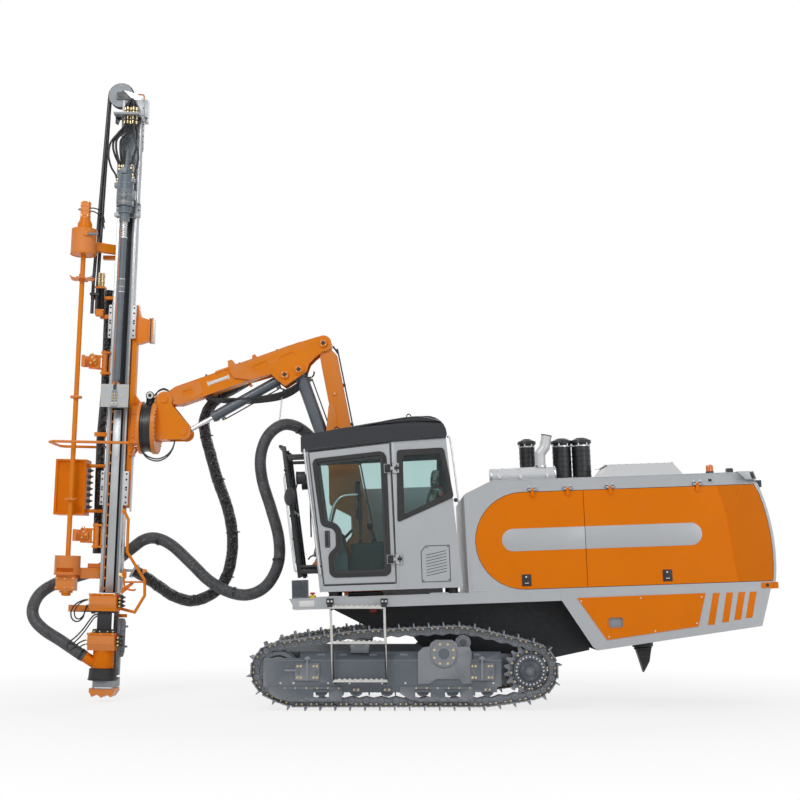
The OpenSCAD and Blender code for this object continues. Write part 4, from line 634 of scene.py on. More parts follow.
def bolts(name, carrier, places, body, finish="zinc_bolt", slot=None, **values):
    """Hex bolts: each place is (x, y, z, size, axis), in millimetres of the carrier."""
    mesh = bpy.data.meshes.new(name)
    mesh.from_pydata([carrier @ Vector(p[:3]) for p in places], [], [])
    # Adding a second attribute can move the first in memory, so both are looked up again by name
    mesh.attributes.new("axis", "FLOAT_VECTOR", "POINT")
    mesh.attributes.new("size", "FLOAT", "POINT")
    axis, size = mesh.attributes["axis"].data, mesh.attributes["size"].data
    for i, p in enumerate(places):
        axis[i].vector = carrier.to_3x3() @ Vector(p[4]) * 1000
        size[i].value = p[3] / 1000
    return grow("fasteners", mesh, name, finish, body, values)


def rings(name, carrier, path, body, finish, slot, steps=6, **values):
    """Rings strung on a smooth path, with their sizes in metres."""
    line = [carrier @ p for p in smooth_path(path, steps)]
    mesh = bpy.data.meshes.new(name)
    mesh.from_pydata(line, [(i, i + 1) for i in range(len(line) - 1)], [])
    return grow("rings", mesh, name, finish, body, values, crease=60)


def row(name, form, count, step, body, finish, turn_each=0.0, turn_axis=(0, 0, 1)):
    """Copies of a form in a row: the form and the step are in millimetres of its carrier."""
    carrier = form.carrier
    bmesh.ops.scale(form.bm, vec=(0.001, 0.001, 0.001), verts=form.bm.verts[:])
    form.carrier = Matrix.Identity(4)
    item = form.done(name + "_item", finish, None, None)
    seed = bpy.data.meshes.new(name)
    seed.from_pydata([(0, 0, 0)], [], [])
    made = grow("row", seed, name, finish, body, {
        "Item": item, "Count": count, "Step": Vector(step) / 1000, "Turn Each": math.radians(turn_each),
        "Turn Axis": turn_axis}, carrier=carrier @ Matrix.Scale(1000, 4))
    bpy.data.objects.remove(item)
    return made


# Sizes and colours that a user would change

class RigLook(bpy.types.PropertyGroup):
    orange: FloatVectorProperty(name="Orange", description="Paint of doors and panels", subtype="COLOR",
                                size=4,
                                min=0, max=1, default=(0.84, 0.205, 0.0, 1))
    boom_orange: FloatVectorProperty(name="Boom Orange",
                                     description="Paint of the boom and the feed's fittings",
                                     subtype="COLOR", size=4, min=0, max=1, default=(0.88, 0.25, 0.008, 1))
    silver: FloatVectorProperty(name="Silver", description="Paint of the cab, hood and skirts",
                                subtype="COLOR",
                                size=4, min=0, max=1, default=(0.47, 0.49, 0.51, 1))
    undercarriage: FloatVectorProperty(name="Undercarriage Grey", description="Paint of the track frames",
                                       subtype="COLOR", size=4, min=0, max=1, default=(0.125, 0.145, 0.17, 1))
    view_distance: FloatProperty(name="View Distance",
                                 description="Distance from the camera to the rig's middle",
                                 default=17.1, min=5, max=60, unit="LENGTH")
    view_tilt: FloatProperty(name="View Tilt", description="Upward tilt of the camera",
                             default=math.radians(7.5),
                             subtype="ANGLE")


class RigSizes(bpy.types.PropertyGroup):
    rib_spacing: FloatProperty(name="Hose Rib Spacing",
                               description="Distance between two ribs of the dust hose",
                               default=0.021, min=0.01, max=0.1, unit="LENGTH")
    seam_width: FloatProperty(name="Seam Width", description="Width of the dark seams round doors",
                              default=0.007, min=0.002, max=0.02, unit="LENGTH")
    slew_bolts: IntProperty(name="Slew Bolts", description="Bolts round each flange of the slew bearing",
                            default=36, min=12, max=60)
    gasket_width: FloatProperty(name="Gasket Width",
                                description="Width of the rubber round the cab door's glass",
                                default=0.05, min=0.02, max=0.08, unit="LENGTH")


def look():
    return bpy.context.scene.rig_look


def sizes():
    return bpy.context.scene.rig_sizes


# Stage

class RIG_OT_stage(bpy.types.Operator):
    """Sets the camera, the soft lights, the white surround and the floor"""
    bl_idname = "rig.stage"
    bl_label = "Stage"

    def execute(self, context):
        scene = context.scene
        camera = bpy.data.objects.new("camera", bpy.data.cameras.new("camera"))
        camera.data.sensor_width = 36
        camera.data.lens = 63.18
        camera.data.clip_end = 200
        camera.location = (0.0192, 0.031 - look().view_distance, 1.385)
        camera.rotation_euler = (math.radians(90) + look().view_tilt, 0, 0)
        scene.collection.objects.link(camera)
        scene.camera = camera
        scene.view_settings.view_transform = "Standard"

        world = bpy.data.worlds.new("studio")
        world.use_nodes = True
        scene.world = world
        world.node_tree.nodes.clear()
        g = Graph(world.node_tree)
        ray = g.node("ShaderNodeLightPath").outputs
        direct = g.node("ShaderNodeMath", {0: ray["Is Camera Ray"], 1: ray["Is Transmission Ray"]},
                        operation="MAXIMUM")
        seen = g.node("ShaderNodeMath", {0: direct.outputs[0], 1: ray["Is Glossy Ray"]}, operation="MAXIMUM")
        place = g.node("ShaderNodeTexCoord").outputs["Generated"]
        height = g.node("ShaderNodeSeparateXYZ", {"Vector": place}).outputs["Z"]
        dome = g.node("ShaderNodeValToRGB", {"Fac": height})
        dome.color_ramp.elements[0].color = (0.42, 0.42, 0.43, 1)
        dome.color_ramp.elements[1].color = (0.78, 0.79, 0.81, 1)
        soft = g.node("ShaderNodeBackground", {"Color": dome.outputs["Color"], "Strength": 0.6})
        white = g.node("ShaderNodeBackground", {"Color": (1, 1, 1, 1), "Strength": 1.0})
        mixed = g.node("ShaderNodeMixShader", {0: seen.outputs[0], 1: soft.outputs[0], 2: white.outputs[0]})
        g.node("ShaderNodeOutputWorld", {"Surface": mixed.outputs[0]})

        for name, at, aim, size, power in (
                ("key_light", (-5.5, -11, 11), (0, 0, 2.0), 5.0, 660),
                ("fill_light", (9, -10, 5), (1, 0, 1.5), 6.0, 260),
                ("back_light", (2, 9, 9), (0, 0, 2.5), 6.0, 270)):
            lamp = bpy.data.lights.new(name, "AREA")
            lamp.shape, lamp.size, lamp.energy = "SQUARE", size, power
            obj = bpy.data.objects.new(name, lamp)
            obj.location = at
            obj.rotation_euler = (Vector(aim) - Vector(at)).to_track_quat("-Z", "Y").to_euler()
            scene.collection.objects.link(obj)

        floor_finish = bpy.data.materials.new("pale_floor")
        floor_finish.use_nodes = True
        floor_finish.node_tree.nodes.clear()
        g = Graph(floor_finish.node_tree)
        ray = g.node("ShaderNodeLightPath").outputs
        direct = g.node("ShaderNodeMath", {0: ray["Is Camera Ray"], 1: ray["Is Transmission Ray"]},
                        operation="MAXIMUM")
        seen = g.node("ShaderNodeMath", {0: direct.outputs[0], 1: ray["Is Glossy Ray"]}, operation="MAXIMUM")
        place = g.node("ShaderNodeNewGeometry").outputs["Position"]
        away = g.node("ShaderNodeVectorMath", {0: place}, operation="LENGTH").outputs["Value"]
        share = g.node("ShaderNodeMapRange", {"Value": away, "From Min": 4.0, "From Max": 8.0, "To Min": 0.80,
                                              "To Max": 1.0}).outputs[0]
        part = g.node("ShaderNodeMath", {0: seen.outputs[0], 1: share}, operation="MULTIPLY")
        matt = g.node("ShaderNodeBsdfDiffuse", {"Color": (0.86, 0.86, 0.86, 1)})
        glow = g.node("ShaderNodeEmission", {"Color": (1, 1, 1, 1), "Strength": 1.0})
        mixed = g.node("ShaderNodeMixShader", {0: part.outputs[0], 1: matt.outputs[0], 2: glow.outputs[0]})
        g.node("ShaderNodeOutputMaterial", {"Surface": mixed.outputs[0]})
        mesh = bpy.data.meshes.new("floor")
        mesh.from_pydata([(-60, -30, 0), (60, -30, 0), (60, 60, 0), (-60, 60, 0)], [], [(0, 1, 2, 3)])
        mesh.materials.append(floor_finish)
        floor = bpy.data.objects.new("floor", mesh)
        scene.collection.objects.link(floor)
        return {"FINISHED"}


# Free hoses

SUCTION_ROUTE = [
    (-3793, 35, 532), (-3900, 25, 600), (-4080, 20, 720), (-4290, 30, 850), (-4420, 60, 980),
    (-4450, 110, 1120), (-4390, 200, 1280), (-4240, 330, 1400), (-4030, 450, 1480), (-3800, 530, 1560),
    (-3560, 560, 1680), (-3370, 540, 1820), (-3200, 500, 1940), (-3030, 460, 1960), (-2830, 410, 1870),
    (-2590, 360, 1660), (-2340, 310, 1430), (-2070, 260, 1290), (-1830, 230, 1270), (-1620, 220, 1390),
    (-1490, 210, 1650), (-1490, 210, 1960), (-1590, 220, 2320), (-1700, 240, 2660), (-1730, 270, 2960),
    (-1650, 310, 3220), (-1480, 380, 3370), (-1300, 470, 3360), (-1130, 560, 3240), (-960, 660, 3060),
    (-830, 740, 2880),
]
BUNDLE_ROUTE = [
    (-1950, 530, 3950), (-2060, 530, 3880), (-2260, 520, 3760), (-2400, 512, 3620), (-2470, 505, 3440),
    (-2450, 500, 3250), (-2400, 495, 3070), (-2290, 490, 2700), (-2165, 490, 2360), (-2095, 490, 2040),
    (-2095, 490, 1750), (-2160, 490, 1480), (-2310, 490, 1290), (-2560, 490, 1190), (-2790, 490, 1240),
    (-3000, 490, 1370), (-3160, 482, 1480), (-3290, 482, 1550),
]


def free_hose(name, route, r, finish, nodes, lumps):
    """A hose on its route, from where it leaves the machine to where it goes back in."""

    def wall(i, k, p):
        return r + lumps * noise.noise(Vector(p) / 55 + Vector((0, 0, k * 0.5)))

    hose = Form(MACHINE).tube(route, r, 20, 10, wall).done(name, finish, "chassis", "rubber", 60)
    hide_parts(*nodes)
    return hose


class RIG_OT_hoses(bpy.types.Operator):
    """Makes the dust hose with its ribs and the boom's sheathed hose bundle"""
    bl_idname = "rig.hoses"
    bl_label = "Free Hoses"

    def execute(self, context):
        ribs = rings("suction_hose_ribs", MACHINE, SUCTION_ROUTE, "chassis", "suction_rubber", "rubber",
                     **{"Ring Radius": 0.0708, "Wire Radius": 0.0028, "Spacing": sizes().rib_spacing,
                        "Ring Sides": 20})
        cuffs = Form(MACHINE)
        for i in (0, 10, 13, 17, 20, 27, 29):
            a, b = Vector(SUCTION_ROUTE[i]), Vector(SUCTION_ROUTE[i + 1])
            d = (b - a).normalized()
            cuffs.rod(a + d * 30, a + d * 58, 75.5, 24, 3)
        cuffs = cuffs.done("suction_hose_clamps", "black_paint", "chassis", "rubber")
        free_hose("suction_hose_tube", SUCTION_ROUTE, 70, "suction_rubber", ["suction_hose"], 1.0)
        ties = Form(MACHINE)
        for i in (2, 5, 7, 9, 11, 13, 15):
            a, b = Vector(BUNDLE_ROUTE[i]), Vector(BUNDLE_ROUTE[i + 1])
            d = (b - a).normalized()
            ties.rod(a, a + d * 22, 76, 16, 3)
            ties.box(a + Vector((60, -10, -8)), a + Vector((98, 8, 8)), 3)
        ties = ties.done("boom_bundle_ties", "black_paint", "chassis", "rubber")
        free_hose("boom_bundle_tube", BUNDLE_ROUTE, 71, "wrapped_sheath", ["boom_hoses"], 5.0)
        return {"FINISHED"}


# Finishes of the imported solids

def paint(node, finish, *zones, carrier=None):
    """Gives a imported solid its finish, and other finishes where a zone's test holds: (finish, test)."""
    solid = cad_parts[node]
    mesh = solid.data
    mesh.materials.clear()
    for name in [finish] + [z[0] for z in zones]:
        mesh.materials.append(FINISHES[name])
    if zones:
        back = (carrier or MACHINE).inverted()
        for polygon in mesh.polygons:
            p = back @ (solid.matrix_world @ polygon.center)
            for i, (_, test) in enumerate(zones):
                if test(p.x, p.y, p.z):
                    polygon.material_index = i + 1
                    break


class RIG_OT_finishes(bpy.types.Operator):
    """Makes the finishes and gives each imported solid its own"""
    bl_idname = "rig.finishes"
    bl_label = "Finishes"

    def execute(self, context):
        make_finishes(look())
        plain = {
            "track_steel": ("track_left", "track_right", "track_sprockets"),
            "undercarriage_paint": ("track_frames", "track_rollers", "pivot_axle", "feed_foot"),
            "belly_black": ("belly_frame",),
            "silver_paint": ("deck", "side_skirts", "hood_shell", "dust_collector", "cab_shell", "cab_door"),
            "orange_paint": ("skirt_panels", "hood_door_left_front", "hood_door_left_rear",
                             "hood_door_right_front", "hood_door_right_rear", "control_cabinet"),
            "pale_paint": ("roof_cowl", "exhaust"),
            "black_paint": ("air_filters", "cab_guard", "roof_lamps"),
            "roof_black": ("cab_roof",),
            "cabin_plastic": ("cab_console",),
            "seat_fabric": ("seat",),
            "tinted_glass": ("door_glass", "cab_glass"),
            "drifter_paint": ("engine", "hose_pulley", "drifter"),
            "boom_paint": ("boom_bracket", "lower_boom", "upper_boom", "boom_head", "feed_cradle",
                           "rod_magazine", "magazine_ends", "rod_grippers"),
            "cylinder_paint": ("lift_barrel", "fold_barrel", "tilt_barrel"),
            "chrome": ("lift_rod", "fold_rod", "tilt_rod"),
            "bright_steel": ("drill_rod",),
            "hose_rubber": ("suction_hose", "boom_hoses"),
        }
        for finish, nodes in plain.items():
            for node in nodes:
                paint(node, finish)
        paint("steps", "tread_aluminium", ("rubber", lambda x, y, z: z < 715 and abs(z - 338) > 38))
        paint("side_skirts", "silver_paint", ("black_paint", lambda x, y, z: abs(y) < 1189), carrier=CHASSIS)
        paint("deck", "silver_paint",
              ("slate_paint", lambda x, y, z: z > 1292 and x < -1005 and y < -1020),
              ("black_paint", lambda x, y, z: z < 1286 and abs(y) < 1140), carrier=CHASSIS)
        paint("cab_shell", "silver_paint",
              ("cabin_plastic", lambda x, y,
               z: -1197 < y < -203 and z > 1356 and -860 < x < 728 - (z - 1350) * 0.075),
              ("rubber", lambda x, y, z: z < 1349), carrier=CHASSIS)
        paint("cab_door", "silver_paint", ("cabin_plastic", lambda x, y, z: y > -1160), carrier=CHASSIS)
        paint("roof_lamps", "black_paint", ("lamp_orange", lambda x, y, z: x < 3800),
              ("orange_paint", lambda x, y, z: z < 1300), carrier=CHASSIS)
        paint("boom_head", "boom_paint", ("black_paint", lambda x, y, z: x < 439.5 and z < 2345),
              ("black_paint", lambda x, y, z: x < 455 and z > 2347), carrier=FEED)
        paint("feed_beam", "aluminium",
              ("black_paint", lambda x, y, z: z > 6120 and x < -20),
              ("boom_paint", lambda x, y, z: x < -122 or (x < -119 and -60 < y < 60)),
              ("silver_paint", lambda x, y, z: x > 121 and z > 5900),
              ("undercarriage_paint", lambda x, y, z: z < -2 or (abs(x) < 119.9 and z < 10 and y > -118)),
              ("black_paint", lambda x, y, z: y > -119 and y < -68 and abs(x) < 80), carrier=FEED)
        paint("rod_support", "aluminium", ("silver_paint", lambda x, y, z: y < -333), carrier=FEED)
        paint("drill_rod", "bright_steel", ("drifter_paint", lambda x, y, z: z < 4400), carrier=FEED)
        paint("foot_clamps", "boom_paint",
              ("black_paint", lambda x, y, z: -475 < z < -214 and x < 140), carrier=FEED)
        paint("dust_hood", "orange_paint", ("rubber", lambda x, y, z: z < -897), carrier=FEED)
        paint("feed_foot", "undercarriage_paint", ("boom_paint", lambda x, y, z: z < -1124), carrier=FEED)
        paint("feed_hoses", "hose_rubber", ("wrapped_sheath", lambda x, y, z: y > 20), carrier=FEED)
        return {"FINISHED"}


# Tracks

WHEELS = ((-1220, 207.8, 105.8), (975, 227.3, 125.3), (1449, 436, 171 / 2 / math.sin(math.radians(360 / 19))),
          (706, 743, 135.4), (-451, 558, 268.4), (-1358, 437, 257.4))
SHOES = 44
TRACK_Y = 1080


def belt_pins():
    """The places of the track's pins and the direction of the belt at each, walked round its wheels."""
    count = len(WHEELS)
    leave = []
    for i, a in enumerate(WHEELS):
        b = WHEELS[(i + 1) % count]
        step = Vector((b[0] - a[0], b[1] - a[1]))
        leave.append(math.atan2(step.y, step.x) - math.acos((a[2] - b[2]) / step.length))
    parts = []
    for i, (x, z, r) in enumerate(WHEELS):
        start = leave[i - 1]
        swing = (leave[i] - start) % (2 * math.pi)
        parts.append((r * swing, lambda s, x=x, z=z, r=r, start=start: (
            Vector((x, z)) + r * Vector((math.cos(start + s / r), math.sin(start + s / r))),
            start + s / r + math.pi / 2)))
        nx, nz, nr = WHEELS[(i + 1) % count]
        a = Vector((x, z)) + r * Vector((math.cos(leave[i]), math.sin(leave[i])))
        b = Vector((nx, nz)) + nr * Vector((math.cos(leave[i]), math.sin(leave[i])))
        length = (b - a).length
        parts.append((length, lambda s, a=a, b=b, length=length: (
            a + (b - a) * s / length, math.atan2((b - a).y, (b - a).x))))
    total = sum(p[0] for p in parts)
    pins = []
    for i in range(SHOES):
        s = total * (i + 0.35) / SHOES
        for length, place in parts:
            if s <= length:
                pins.append(place(s)[0])
                break
            s -= length
    return pins


def belt_items(name, form, spots, finish, body="chassis"):
    """Copies of a form at spots (x, y, z, angle) of the belt; the form's x runs along the belt."""
    bmesh.ops.scale(form.bm, vec=(0.001, 0.001, 0.001), verts=form.bm.verts[:])
    form.carrier = Matrix.Identity(4)
    item = form.done(name + "_item", finish, None, None)
    mesh = bpy.data.meshes.new(name)
    mesh.from_pydata([MACHINE @ Vector(s[:3]) for s in spots], [], [])
    turn = mesh.attributes.new("turn", "FLOAT", "POINT")
    for i, s in enumerate(spots):
        turn.data[i].value = -s[3]
    made = grow("belt", mesh, name, finish, body, {"Item": item, "Item Scale": 1.0})
    bpy.data.objects.remove(item)
    return made


class RIG_OT_tracks(bpy.types.Operator):
    """Makes the link bolts, pins, hubs, guards and brackets of both tracks"""
    bl_idname = "rig.tracks"
    bl_label = "Track Fittings"

    def execute(self, context):
        pins = belt_pins()
        pin_spots, link_spots, shoe_spots = [], [], []
        for s in (-1, 1):
            for i, p in enumerate(pins):
                q = pins[(i + 1) % SHOES]
                before = pins[i - 1]
                angle = math.atan2(q.y - before.y, q.x - before.x)
                mid, lean = (p + q) / 2, math.atan2(q.y - p.y, q.x - p.x)
                pin_spots.append((p.x, s * TRACK_Y, p.y, angle))
                link_spots.append((mid.x, s * TRACK_Y, mid.y, lean))
        pin_form = Form(MACHINE)
        for a, b in ((-81, -70), (70, 81)):
            pin_form.lathe((0, a, 0), (0, 1, 0), [(30, 0), (30, b - a)], 16)
            pin_form.lathe((0, a - 2, 0), (0, 1, 0), [(15, 0), (17, 2), (17, b - a + 2), (15, b - a + 4)], 14)
        belt_items("track_pins", pin_form, pin_spots, "track_steel")
        link_form = Form(MACHINE)
        for y in (-76, 69):
            link_form.box((-44, y, -46), (44, y + 7, -28), 2)
            link_form.box((-36, y + 1, -28), (36, y + 6, 12), 6)
        belt_items("track_link_ribs", link_form, link_spots, "track_steel")
        bolt_form = Form(MACHINE)
        for x in (-31, 31):
            for a, d in ((-76, -1), (76, 1)):
                bolt_form.lathe((x, a, -37), (0, d, 0), [(13, 0), (13, 3), (10, 3.2), (9.5, 11), (7, 12)], 6)
        belt_items("track_link_bolts", bolt_form, link_spots, "zinc_bolt")
        plate_form = Form(MACHINE)
        for y in (-168, 96):
            for x in (-50, 0):
                plate_form.box((x - 9, y, -63), (x + 9, y + 72, -59), 2)
        for x in (-52, 18):
            for y in (-52, 52):
                plate_form.lathe((x, y, -60), (0, 0, -1), [(13, 0), (13, 9), (10, 11)], 6)
        belt_items("track_shoe_ribs", plate_form, link_spots, "track_steel")

        frame_bolts, dark_bolts = [], []
        plates = Form(MACHINE)
        hub = Form(MACHINE)
        caps = Form(MACHINE)
        for s in (-1, 1):
            face = s * (TRACK_Y + 110)
            out = (0, s, 0)
            end = s * 1226
            for k in range(8):
                a = math.radians(22.5 + 45 * k)
                frame_bolts.append((489 + 114 * math.cos(a), end, 622 + 114 * math.sin(a), 19, out))
            plates.lathe((489, end, 622), out, [(84, 0), (84, 3), (60, 3.5), (60, 1)], 40)
            for x in (-1033, 915):
                for dx in (-108, -72, 72, 108):
                    for z in (362, 486):
                        frame_bolts.append((x + dx, face + s * 18, z, 17, out))
                plates.plate([(x - 4, 520), (x + 4, 520), (x + 4, 560), (x - 4, 560)], face + s * 24,
                             face + s * 34)
                plates.plate(arc(x, 560, 34, 0, 180, 10), face + s * 6, face + s * 20)
                plates.plate(arc(x - 84, 430, 34, 90, 270, 8), face + s * 17, face + s * 25, bevel=2)
                plates.plate(arc(x + 84, 430, 34, -90, 90, 8), face + s * 17, face + s * 25, bevel=2)
            for x in (-1330, -1185, -800, -560, -200, 60, 1040):
                dark_bolts.append((x, face, 300, 15, out))
            for x, z in ((-880, 590), (-640, 590), (-300, 590), (40, 590), (860, 590)):
                plates.box((x - 44, s * (TRACK_Y + 18), z + 8), (x + 44, s * (TRACK_Y + 62), z + 30), 4)
            for x0, x1 in ((-1372, -643), (90, 819)):
                guard = s * (TRACK_Y + 123)
                plates.plate([(x0 + 20, 240), (x1 - 14, 240), (x1 - 14, 252), (x0 + 20, 252)], guard,
                             guard + s * 5, bevel=1.5)
                n = 6
                for k in range(n):
                    x = x0 + 90 + (x1 - x0 - 130) * k / (n - 1)
                    frame_bolts.append((x, guard, 246, 14, out))
                    plates.plate([(x - 24, 112), (x + 24, 112), (x + 18, 148), (x - 18, 148)], guard,
                                 guard + s * 6, bevel=2)
            for x in (-488, -144, 975):
                caps.lathe((x, s * (TRACK_Y + 74), 227.3), out,
                           [(62, 0), (62, 4), (40, 6), (38, 14), (24, 16), (0, 16)], 28)
                caps.box((x - 40, face - s * 2, 205), (x + 40, face + s * 10, 252), 5)
                frame_bolts += [(x + dx, face + s * 10, 228, 15, out) for dx in (-24, 24)]
            caps.lathe((-1358, s * (TRACK_Y + 73), 437), out, [(150, 0), (150, 5), (70, 8), (66, 11)], 40)
            caps.lathe((706, s * (TRACK_Y + 74), 743), out, [(60, 0), (60, 6), (34, 9), (0, 9)], 28)
            hub.lathe((1449, s * (TRACK_Y + 117.5), 436), out,
                      [(176, 0), (176, 4), (168, 8), (120, 9), (112, 22), (60, 24),
                                                               (56, 30), (0, 31)], 48)
            for k in range(24):
                a = math.radians(15 * k)
                dark_bolts.append((1449 + 152 * math.cos(a), s * (TRACK_Y + 126), 436 + 152 * math.sin(a),
                                   13, out))
            for k in range(12):
                a = math.radians(30 * k + 8)
                frame_bolts.append((1449 + 205 * math.cos(a), s * (TRACK_Y + 22), 436 + 205 * math.sin(a),
                                    15, out))
            for k in range(3):
                a = math.radians(120 * k + 40)
                hub.lathe((1449 + 86 * math.cos(a), s * (TRACK_Y + 140), 436 + 86 * math.sin(a)), out,
                          [(13, 0), (13, 5), (8, 6), (8, 2)], 12)
            plates.plate([(-505, 700), (-397, 700), (-397, 772), (-505, 764)], s * (TRACK_Y + 70),
                         s * (TRACK_Y + 84), bevel=4)
            plates.plate([(-1523, 545), (400, 545), (400, 555), (-1523, 555)], face - s * 3, face + s * 3,
                         bevel=1)
            plates.plate([(660, 545), (1130, 545), (1130, 555), (660, 555)], face - s * 3, face + s * 3,
                         bevel=1)
            plates.rod((-1290, face - s * 2, 437), (-1140, face - s * 2, 437), 14, 14)
        plates.done("track_frame_fittings", "undercarriage_paint", "chassis", "grey_paint")
        caps.done("track_wheel_caps", "track_steel", "chassis", "track_steel")
        hub.done("track_hubs", "track_steel", "chassis", "track_steel")
        bolts("track_frame_bolts", MACHINE, frame_bolts, "chassis", "zinc_bolt")
        bolts("track_dark_bolts", MACHINE, dark_bolts, "chassis", "bright_steel")
        return {"FINISHED"}


class RIG_OT_steps(bpy.types.Operator):
    """Makes the treads' bumps and the bolted tops of the hanging steps"""
    bl_idname = "rig.steps"
    bl_label = "Steps"

    def execute(self, context):
        tops, marks, straps = Form(MACHINE), Form(MACHINE), Form(MACHINE)
        places = []
        for x in (-781, -178):
            tops.box((x - 40, -1319, 1168), (x + 42, -1268, 1236), 8)
            tops.box((x - 30, -1330, 1140), (x + 30, -1318, 1172), 5)
            places += [(x + dx, -1319, 1203, 15, (0, -1, 0)) for dx in (-18, 20)]
        for z, x in ((1143, -776), (756, -752), (338, -730)):
            marks.box((x + 6, -1316, z - 19), (x + 582, -1311, z - 9), 1.5)
            for i in range(1, 10):
                marks.plate(arc(x + 58.8 * i, z + 6, 11, 0, 180, 8), -1318, -1311, bevel=1)
            straps.box((x - 6, -1300, z - 26), (x + 594, -1270, z - 21.5), 2)
            for dx in (2, 560):
                straps.box((x + dx, -1306, z - 40), (x + dx + 26, -1268, z - 20), 4)
        for x0, x1, z in ((-780, -735, 1143), (-178, -147, 1143)):
            for k in range(3):
                t = 0.02 + 0.012 * k
                places.append((x0 + (x1 - x0) * t, -1294, 1120 - 18 * k * 2, 9, (0, -1, 0)))
        tops.done("step_hinges", "black_paint", "chassis", "rubber")
        marks.done("step_tread_edges", "tread_aluminium", "chassis", "aluminium")
        straps.done("step_tread_frames", "rubber", "chassis", "rubber")
        bolts("step_bolts", MACHINE, places, "chassis", "bright_steel")
        return {"FINISHED"}


# Engine house and skirts

STRIPE_Z, STRIPE_R = 1857, 126
DOOR_C, DOOR_R = (1440, 1848), 549
REAR_C, REAR_R = (2002, 1587), 2267
DOOR_TOP, DOOR_LOW = DOOR_C[1] + DOOR_R, DOOR_C[1] - DOOR_R


def door_outline(gap):
    return (arc(*DOOR_C, DOOR_R - gap, 90, 270, 40) + [(4215 - gap, DOOR_LOW + gap)]
            + arc(*REAR_C, REAR_R - 30 - gap, -6.6, 18.5, 12) + [(4070 - gap, DOOR_TOP - gap)])


